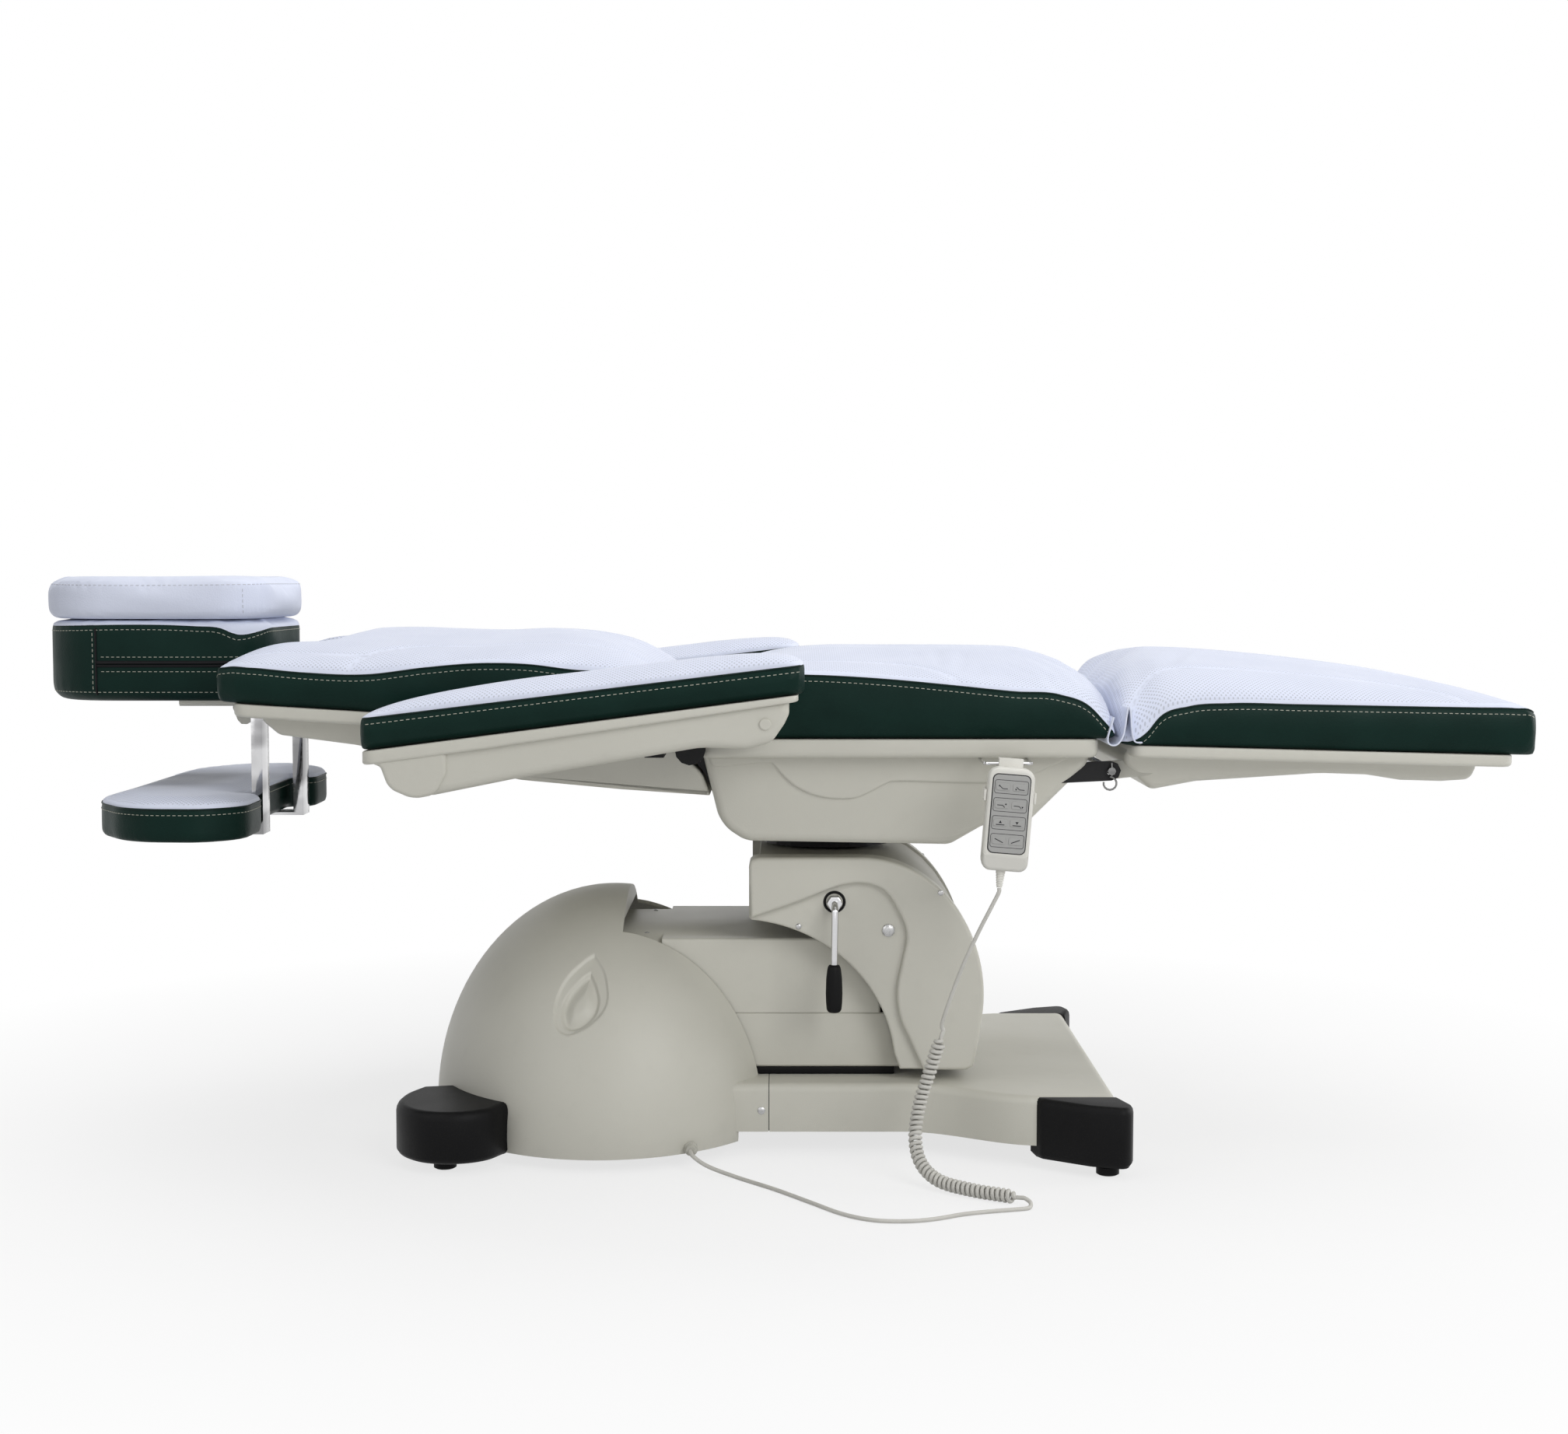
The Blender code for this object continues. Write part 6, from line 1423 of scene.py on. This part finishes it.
def make_flap():
    """The folded strip of vinyl that closes the gap between the seat's and the leg rest's cushions."""
    half = 0.2885
    line = smooth_line([(0.4294, 0.556), (0.4225, 0.533), (0.4240, 0.5245), (0.4320, 0.5240), (0.4395, 0.535),
                        (0.4432, 0.558), (0.4452, 0.5675), (0.4482, 0.5675), (0.4498, 0.557), (0.4515, 0.538),
                        (0.4550, 0.5275), (0.4630, 0.5265)], 4)
    bm = bmesh.new()
    verts = [bm.verts.new((x, -half, z)) for x, z in line]
    edges = [bm.edges.new(pair) for pair in zip(verts, verts[1:])]
    made = bmesh.ops.extrude_edge_only(bm, edges=edges)["geom"]
    bmesh.ops.translate(bm, verts=[v for v in made if isinstance(v, bmesh.types.BMVert)], vec=(0, 2 * half, 0))
    across = [e for e in bm.edges if abs(e.verts[0].co.y - e.verts[1].co.y) > 0.1]
    bmesh.ops.subdivide_edges(bm, edges=across, cuts=12)
    bmesh.ops.recalc_face_normals(bm, faces=bm.faces)
    obj = helper(walled(bm, 0.0016), "seat_flap")
    count = len(obj.data.vertices)
    store(obj.data, "above", np.full(count, 0.003))
    store(obj.data, "sewn", np.full(count, FREE_OF_SEAMS))
    obj.data.materials.append(LOOKS["plain_vinyl"])
    obj.data.shade_smooth()
    obj.data.set_sharp_from_angle(angle=math.radians(50.0))
    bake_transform(obj)


def make_arm_pads():
    """The two armrest cushions."""
    for side, word in SIDES:
        rows = [(x, ARM_PAD_HALF - draw, arm_bottom(x) + 0.0004, arm_seam(x) - 0.1 * drop, arm_seam(x) + 0.0195 - drop)
                for x, draw, drop in ARM_ROWS]
        bm = cushion_form(rows, 3, 0.002)
        bmesh.ops.translate(bm, verts=bm.verts, vec=(0, side * ARM_PAD_Y, 0))
        sew_cushion("arm_pad_" + word, bm, arm_seam, "armrest_" + word, "arm_cushion_" + word, [], (-0.450, 0.050),
                    arm_bottom, 0.004, ARM_PAD_HALF, 0.004, side * ARM_PAD_Y)


# Head support


def ring_rows(plan, z, step=ROW_STEP):
    """Rows of points outside a plan outline at one height, with the way in."""
    row = []
    middle = Vector((sum(p.x for p in plan) / len(plan), sum(p.y for p in plan) / len(plan), 0.0))
    closed = plan + plan[:1]
    for one, two in zip(closed, closed[1:]):
        along = two - one
        count = max(1, int(along.length / step))
        out = Vector((along.y, -along.x, 0.0)).normalized()
        if out.dot(one - middle) < 0:
            out = -out
        for k in range(count):
            spot = one + along * (k / count)
            row.append(((spot.x + out.x * 0.03, spot.y + out.y * 0.03, z(spot.x)), tuple(-out)))
    return row + row[:1]


def plan_points(corners, segments=8):
    """The points of a rounded plan outline in order."""
    bm = outline(corners, "XY", segments)
    points = [v.co.copy() for v in bm.faces[:][0].verts]
    bm.free()
    return points


def soft_block(name, plan, low, high, edges, seam, look, body, nodes, cap, voxel=0.005, shape=None):
    """A stuffed form from a plan outline, blown up between its seams."""
    bm = block(plan, low, high, "XY", edges[0], edges[1], 4, 8)
    if shape:
        bmesh.ops.subdivide_edges(bm, edges=bm.edges[:], cuts=1)
    obj = helper(remeshed(bm, voxel), name)
    co = places(obj.data)
    if shape:
        co[:, 2] += [shape(x, y) * max(0.0, (z - low) / (high - low)) for x, y, z in co]
        move_to(obj.data, co)
    above = co[:, 2] - np.array([seam(x) for x in co[:, 0]])
    free = np.clip((np.abs(above) - 0.001) / 0.005, 0, 1) * np.clip((co[:, 2] - low - 0.003) / 0.010, 0, 1)
    puffed(obj, free, cap)
    finish_cushion(obj, seam, [])
    dress(obj, look, body, nodes, 80.0)
    subdivide_once(obj)
    return obj


HEAD_EDGE = [(-0.95, 0.6625), (-0.7149, 0.663), (-0.6851, 0.661), (-0.6606, 0.652), (-0.6378, 0.657), (-0.62, 0.666),
             (-0.601, 0.67)]
HEAD_PAD_HALF, PILLOW_HALF = 0.142, 0.150
PILLOW_MIDDLE = -0.779


def head_edge(x):
    """The height of the head cushion's upper seam over x."""
    return curve_value(HEAD_EDGE, x)


def long_plan(left, right, half, left_round, right_round):
    """A rounded plan outline that is the same on both sides."""
    return [(left, -half, left_round), (right, -half, right_round),
            (right, half, right_round), (left, half, left_round)]


def pillow_saddle(x, y):
    """How far the pillow's top stands up at its ends and sinks along its middle."""
    return 0.0035 * ((x - PILLOW_MIDDLE) / 0.16) ** 2 - 0.0045 * (1 - (y / PILLOW_HALF) ** 2)


def upright_row(x, side, y, low, high):
    """Points outside a cushion's side along an upright seam, with the way in."""
    count = int((high - low) / 0.003)
    return [((x, side * (y + 0.03), low + (high - low) * k / count), (0, -side, 0)) for k in range(count + 1)]


def side_row(z, side, y):
    """Points outside the head cushion's side along a level seam, with the way in."""
    return [((-0.840 + 0.0045 * k, side * (y + 0.03), z), (0, -side, 0)) for k in range(49)]


def make_head_support():
    """The head cushion with its stitches and zip, the pillow and the board."""
    half = HEAD_PAD_HALF
    small = long_plan(-0.924, -0.631, half - 0.003, 0.10, 0.06)
    obj = soft_block("head_pad", small, 0.567, 0.670, (0.020, 0.008), head_edge, "plain_vinyl", "headrest",
                     ("head_cushion",), 0.004)
    ring = plan_points(long_plan(-0.927, -0.628, half, 0.10, 0.06))
    rows = [ring_rows(ring, lambda x: head_edge(x) - 0.0065), ring_rows(ring, lambda x: 0.5790)]
    for side in (-1, 1):
        rows += [side_row(z, side, half) for z in (0.6238, 0.6053)] + [upright_row(-0.8465, side, half, 0.578, 0.656)]
    surface = sewn_rows("head_pad_stitches", obj, rows, "thread", "headrest")
    bm = welt(surface, [side_row(0.6168, side, half) for side in (-1, 1)], 0.0022)
    add_to(bm, welt(surface, [side_row(0.6126, side, half) for side in (-1, 1)], 0.0017))
    add_to(bm, welt(surface, [upright_row(-0.842, side, half, 0.576, 0.660) for side in (-1, 1)], 0.0014))
    piece("head_pad_zip", bm, "zip", "headrest", (), 80.0)
    half = PILLOW_HALF
    small = long_plan(-0.9285, -0.6295, half - 0.0035, 0.11, 0.06)
    obj = soft_block("head_pillow", small, 0.6718, 0.7225, (0.014, 0.010), lambda x: 0.5, "plain_vinyl", "headrest",
                     ("pillow",), 0.005, 0.005, pillow_saddle)
    ring = plan_points(long_plan(-0.932, -0.626, half, 0.11, 0.06))
    rows = [ring_rows(ring, lambda x: 0.7165 + 0.0020 * ((x - PILLOW_MIDDLE) / 0.16) ** 2 - 0.002)]
    rows += [upright_row(-0.655, side, half, 0.676, 0.712) for side in (-1, 1)]
    sewn_rows("head_pillow_stitches", obj, rows, "white_thread", "headrest")
    board = carve(node_copy("head_plate"), [brick((-0.95, -0.742), (-0.2, 0.2), (0.54, 0.60))])
    piece("head_board", board, "shell", "headrest", ("head_plate",), 32.0)


# Arm shelf


def make_shelf():
    """The arm shelf's cushion and its two chrome brackets."""
    half = [(-0.66, 0.146, 0.012), (-0.627, 0.158, 0.019), (-0.627, 0.248, 0.05), (-0.670, 0.286, 0.05),
            (-0.765, 0.282, 0.08), (-0.828, 0.19, 0.11)]
    plan = half + [(x, -y, r) for x, y, r in reversed(half)]
    obj = soft_block("shelf_top", plan, 0.4030, 0.4535, (0.007, 0.011), lambda x: 0.4445, "vinyl", "back",
                     ("shelf_pad",), 0.004)
    ring = plan_points(plan)
    surface = sewn_rows("shelf_stitches", obj, [ring_rows(ring, lambda x: 0.4370)], "thread", "back")
    piped("shelf_welt", surface, [ring_rows(ring, lambda x: 0.4437)], "back")
    for word in ("near", "far"):
        piece("bracket_" + word, node_copy("shelf_bracket_" + word, 0.0012), "chrome", "back",
              ("shelf_bracket_" + word,))


# Handset


def placed(bm):
    """A shape in the handset's own place, moved to where the handset hangs."""
    bmesh.ops.transform(bm, matrix=HANDSET_PLACE, verts=bm.verts)
    return bm


def plate(wide, tall, corner, front, back, at=(0.0, 0.0), edge=0.0, segments=3):
    """A rounded rectangle facing the camera, in the handset's own place."""
    x, z = at
    signs = ((-1, -1), (1, -1), (1, 1), (-1, 1))
    corners = [(x + across * wide / 2, z + up * tall / 2, corner) for across, up in signs]
    return block(corners, front, back, "XZ", edge, 0.0, segments, 6)


def bar(one, two, thick, front, back):
    """A thin straight stroke between two points of the handset's face."""
    a, b = Vector(one), Vector(two)
    side = Vector((a.y - b.y, b.x - a.x)).normalized() * thick / 2
    corners = [tuple(a + side), tuple(a - side), tuple(b - side), tuple(b + side)]
    return block(corners, front, back, "XZ")


def arrow(x, z, up, reach, front, back):
    """A filled arrow head that points up or down."""
    way = 1 if up else -1
    foot = z - way * reach * 0.7
    return block([(x - reach, foot), (x + reach, foot), (x, z + way * reach)], front, back, "XZ")


def icon(row, up, x, z, front, back):
    """A generic sign for what a key moves: a bed line with the moving end, and an arrow."""
    strokes = []
    if row == 0:
        strokes += [bar((x - 0.0005, z - 0.0022), (x + 0.0055, z - 0.0022), 0.0009, front, back),
                    bar((x - 0.0005, z - 0.0022), (x - 0.0040, z + 0.0008), 0.0009, front, back),
                    arrow(x - 0.0045, z + (0.0012 if up else -0.0022), up, 0.0013, front, back)]
    elif row == 1:
        strokes += [bar((x - 0.0055, z - 0.0005), (x + 0.0010, z - 0.0005), 0.0009, front, back),
                    bar((x + 0.0010, z - 0.0005), (x + 0.0035, z - 0.0030), 0.0009, front, back),
                    arrow(x + 0.0047, z + (0.0010 if up else -0.0016), up, 0.0013, front, back)]
    elif row == 2:
        strokes += [bar((x - 0.0050, z - 0.0024), (x + 0.0050, z - 0.0024), 0.0010, front, back),
                    arrow(x, z + 0.0008, up, 0.0019, front, back)]
    else:
        lean = 0.0022 if up else -0.0022
        strokes += [bar((x - 0.0050, z + lean), (x + 0.0050, z - lean), 0.0010, front, back)]
    return add_to(bmesh.new(), *strokes)


CASE_FRONT, CASE_BACK = -0.0120, 0.0120
KEY_PITCH, KEY_X = 0.0212, 0.0098
KEYPAD_Z = 0.007


def make_handset():
    """The handset with its keypad and keys, the clip that holds it and the wire hook."""
    body = plate(0.055, 0.122, 0.013, CASE_FRONT, CASE_BACK, (0, 0), 0.0045, 5)
    rear = [e for e in body.edges if all(abs(v.co.y - CASE_BACK) < 1e-6 for v in e.verts)]
    bmesh.ops.bevel(body, geom=rear, offset=0.004, offset_type="OFFSET", segments=4, profile=0.5, affect="EDGES",
                    material=-1)
    piece("handset_case", placed(body), "handset", "handset", ("handset_body",), 40.0)
    chin = block([(-0.0272, -0.0402), (0.0272, -0.0402), (0.0272, -0.0608, 0.0125), (-0.0272, -0.0608, 0.0125)],
                 -0.01255, 0.0, "XZ", 0.0040, 0.0, 4)
    # The chin takes the darker handset copy, painted shade on the handset's lower part.
    piece("handset_chin", placed(chin), "handset_shaded", "handset")
    rim = plate(0.0455, 0.0945, 0.007, -0.01225, -0.0115, (0, KEYPAD_Z), 0.0002, 2)
    sheet = plate(0.0430, 0.0920, 0.006, -0.01320, CASE_FRONT, (0, KEYPAD_Z), 0.0004, 2)
    piece("keypad_rim", placed(rim), "ink", "handset")
    lines = []
    for row in range(4):
        z = KEYPAD_Z + (1.5 - row) * KEY_PITCH
        ring = plate(0.0400, 0.0164, 0.003, -0.01332, -0.0130, (0.0, z))
        face = [f for f in ring.faces if f.normal.y < -0.9]
        bmesh.ops.inset_region(ring, faces=face, thickness=0.0006, depth=0.0)
        bmesh.ops.delete(ring, geom=face, context="FACES")
        lines.append(ring)
        for column, word in ((0, "up"), (1, "down")):
            name = f"key_{row + 1}_{word}"
            x = -KEY_X if column == 0 else KEY_X
            key = plate(0.0163, 0.0087, 0.0022, -0.01395, -0.0129, (x, z), 0.0005, 2)
            piece("pad_" + name, placed(key), "keypad", name, (name,))
            piece("sign_" + name, placed(icon(row, column == 0, x, z, -0.01405, -0.0138)), "ink", name)
    piece("keypad_sheet", placed(sheet), "keypad", "handset", ("handset_keypad",))
    piece("keypad_lines", placed(add_to(bmesh.new(), *lines)), "ink", "handset")
    profile = [(0.0, 0.0056), (0.002, 0.0056)]
    for k in range(6):
        at, rib = 0.0030 + 0.0029 * k, 0.0055 - 0.00033 * k
        profile += [(at, rib), (at + 0.0011, rib), (at + 0.0014, rib - 0.0007), (at + 0.0024, rib - 0.0007)]
    profile += [(0.0206, 0.0033), (0.0206, 0.0)]
    relief = turned(profile, (-0.003, 0.0, -0.0612), (0, 0, -1), 28)
    piece("cord_relief", placed(relief), "handset", "handset", ("strain_relief",), 45.0)
    piece("handset_clip", node_copy("handset_holder", 0.0006, 2), "handset", "seat", ("handset_holder",))
    wire, root, z = 0.002, -0.2504, 0.5036
    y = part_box("handset_hook")[0][1] + wire
    bend = through([(0.270, root, z), (0.270, y + 0.012, z), (0.2712, y + 0.004, z), (0.278, y, z), (0.318, y, z),
                    (0.3248, y + 0.004, z), (0.326, y + 0.012, z), (0.326, root, z)], 6)
    hook = tube_mesh("hook", bend, wire, 5)
    piece("handset_wire", hook, "chrome", "seat", ("handset_hook",), 60.0)


# Carried-over solids

# The leg frame takes the darker shell copy, painted shade under the leg rest.
KEPT = {
    "base_frame": "steel", "arm_frame": "steel", "lift_link": "steel", "head_frame": "steel", "turntable": "steel",
    "seat_frame": "steel", "back_frame": "steel", "leg_frame": "shell_under", "head_rails": "chrome",
    "arm_link_near": "steel", "arm_link_far": "steel", "hinge_pin": "clip",
}


def make_hardware():
    """Gives the solids that show as they are their finishes."""
    for name, look in KEPT.items():
        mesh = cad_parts[name].data
        for index in range(max(1, len(mesh.materials))):
            if index < len(mesh.materials):
                mesh.materials[index] = LOOKS[look]
            else:
                mesh.materials.append(LOOKS[look])


# Add-on


def colour(name, description, default):
    """A colour that a user may change."""
    return bpy.props.FloatVectorProperty(name=name, description=description, default=default, size=3, min=0.0, max=1.0,
                                         subtype="COLOR")


def distance(name, description, default):
    """A length in metres that a user may change."""
    return bpy.props.FloatProperty(name=name, description=description, default=default, min=0.0, precision=5,
                                   subtype="DISTANCE", unit="LENGTH")


def power(name, description, default):
    """A lamp's power in watts that a user may change."""
    return bpy.props.FloatProperty(name=name, description=description, default=default, min=0.0, subtype="POWER")


class BedColours(bpy.types.PropertyGroup):
    """Colours of the bed's finishes."""

    shell: colour("Shell", "Moulded shells", (0.60, 0.59, 0.525))
    green: colour("Green", "Vinyl of the cushions' sides", (0.0042, 0.0215, 0.0165))
    white: colour("White", "Vinyl of the cushions' tops", (0.735, 0.775, 0.905))
    black: colour("Black", "Caps, strip and grip", (0.007, 0.007, 0.0075))
    handset: colour("Handset", "Handset case and clip", (0.72, 0.71, 0.66))
    cord: colour("Cord", "Curly cord", (0.60, 0.59, 0.55))


class BedSizes(bpy.types.PropertyGroup):
    """Sizes of the sewing, the cushions' swell and the cord."""

    stitch: distance("Stitch", "Length of one stitch", 0.0042)
    stitch_gap: distance("Stitch gap", "Bare length between two stitches", 0.0026)
    piping: distance("Piping", "Radius of the cushions' piping", 0.0012)
    groove: distance("Groove", "Depth of the lines sewn into the cushions' tops", 0.0022)
    swell: distance("Swell", "How far the seat, back and leg cushions may swell", 0.008)
    cord: distance("Cord", "Radius of the cord", 0.0025)


class BedLight(bpy.types.PropertyGroup):
    """Strength of the studio's lamps."""

    key: power("Key", "Lamp in front on the right", 58.0)
    fill: power("Fill", "Lamp in front on the left", 22.0)
    top: power("Top", "Lamp overhead", 64.0)
    low: power("Low", "Lamp near the floor", 7.0)
    side: power("Side", "Lamp past the foot end", 34.0)
    ambient: bpy.props.FloatProperty(name="Ambient", description="Light from all round", default=0.20, min=0.0,
                                     subtype="FACTOR")


class BED_OT_stage(bpy.types.Operator):
    """Makes the finishes, floor, lamps and camera"""

    bl_idname = "bed.stage"
    bl_label = "Stage"

    def execute(self, context):
        make_looks(context.scene.bed_colours)
        make_stage(context.scene.bed_light)
        return {"FINISHED"}


class BED_OT_cord(bpy.types.Operator):
    """Makes the handset's cord with its curls"""

    bl_idname = "bed.cord"
    bl_label = "Cord"

    def execute(self, context):
        make_cord()
        return {"FINISHED"}


class BED_OT_base(bpy.types.Operator):
    """Makes the dome, foot plate, caps and arm skirt"""

    bl_idname = "bed.base"
    bl_label = "Base"

    def execute(self, context):
        make_base()
        return {"FINISHED"}


class BED_OT_lift(bpy.types.Operator):
    """Makes the lift's hood, head sides and lock lever"""

    bl_idname = "bed.lift"
    bl_label = "Lift"

    def execute(self, context):
        make_lift()
        return {"FINISHED"}


class BED_OT_trays(bpy.types.Operator):
    """Makes the trays under the cushions and armrests"""

    bl_idname = "bed.trays"
    bl_label = "Trays"

    def execute(self, context):
        make_trays()
        return {"FINISHED"}


class BED_OT_cushions(bpy.types.Operator):
    """Makes the seat, back and leg cushions"""

    bl_idname = "bed.cushions"
    bl_label = "Cushions"

    def execute(self, context):
        make_cushions()
        return {"FINISHED"}


class BED_OT_arm_pads(bpy.types.Operator):
    """Makes the two armrest cushions"""

    bl_idname = "bed.arm_pads"
    bl_label = "Arm pads"

    def execute(self, context):
        make_arm_pads()
        return {"FINISHED"}


class BED_OT_head_support(bpy.types.Operator):
    """Makes the head cushion with its zip, and the pillow"""

    bl_idname = "bed.head_support"
    bl_label = "Head support"

    def execute(self, context):
        make_head_support()
        return {"FINISHED"}


class BED_OT_shelf(bpy.types.Operator):
    """Makes the arm shelf and its brackets"""

    bl_idname = "bed.shelf"
    bl_label = "Arm shelf"

    def execute(self, context):
        make_shelf()
        return {"FINISHED"}


class BED_OT_handset(bpy.types.Operator):
    """Makes the handset with its keys, clip and wire hook"""

    bl_idname = "bed.handset"
    bl_label = "Handset"

    def execute(self, context):
        make_handset()
        return {"FINISHED"}


class BED_OT_hardware(bpy.types.Operator):
    """Gives the carried-over frames, rails and pins their finishes"""

    bl_idname = "bed.hardware"
    bl_label = "Hardware"

    def execute(self, context):
        make_hardware()
        return {"FINISHED"}


STEPS = (BED_OT_stage, BED_OT_cord, BED_OT_base, BED_OT_lift, BED_OT_trays, BED_OT_cushions, BED_OT_arm_pads,
         BED_OT_head_support, BED_OT_shelf, BED_OT_handset, BED_OT_hardware)


class BED_PT_panel(bpy.types.Panel):
    """Lists the bed's steps and settings"""

    bl_idname = "BED_PT_panel"
    bl_label = "Treatment bed"
    bl_space_type = "VIEW_3D"
    bl_region_type = "UI"
    bl_category = "Bed"

    def draw(self, context):
        for step in STEPS:
            self.layout.operator(step.bl_idname)
        for group in (context.scene.bed_colours, context.scene.bed_sizes, context.scene.bed_light):
            for key in group.bl_rna.properties.keys():
                if key not in ("rna_type", "name"):
                    self.layout.prop(group, key)


CLASSES = (BedColours, BedSizes, BedLight) + STEPS + (BED_PT_panel,)


def register():
    for made in CLASSES:
        bpy.utils.register_class(made)
    bpy.types.Scene.bed_colours = bpy.props.PointerProperty(type=BedColours)
    bpy.types.Scene.bed_sizes = bpy.props.PointerProperty(type=BedSizes)
    bpy.types.Scene.bed_light = bpy.props.PointerProperty(type=BedLight)


def unregister():
    del bpy.types.Scene.bed_light
    del bpy.types.Scene.bed_sizes
    del bpy.types.Scene.bed_colours
    for made in reversed(CLASSES):
        bpy.utils.unregister_class(made)


def main():
    register()
    bpy.ops.bed.stage()
    bpy.ops.bed.cord()
    bpy.ops.bed.base()
    bpy.ops.bed.lift()
    bpy.ops.bed.trays()
    bpy.ops.bed.cushions()
    bpy.ops.bed.arm_pads()
    bpy.ops.bed.head_support()
    bpy.ops.bed.shelf()
    bpy.ops.bed.handset()
    bpy.ops.bed.hardware()


if __name__ == "__main__":
    main()
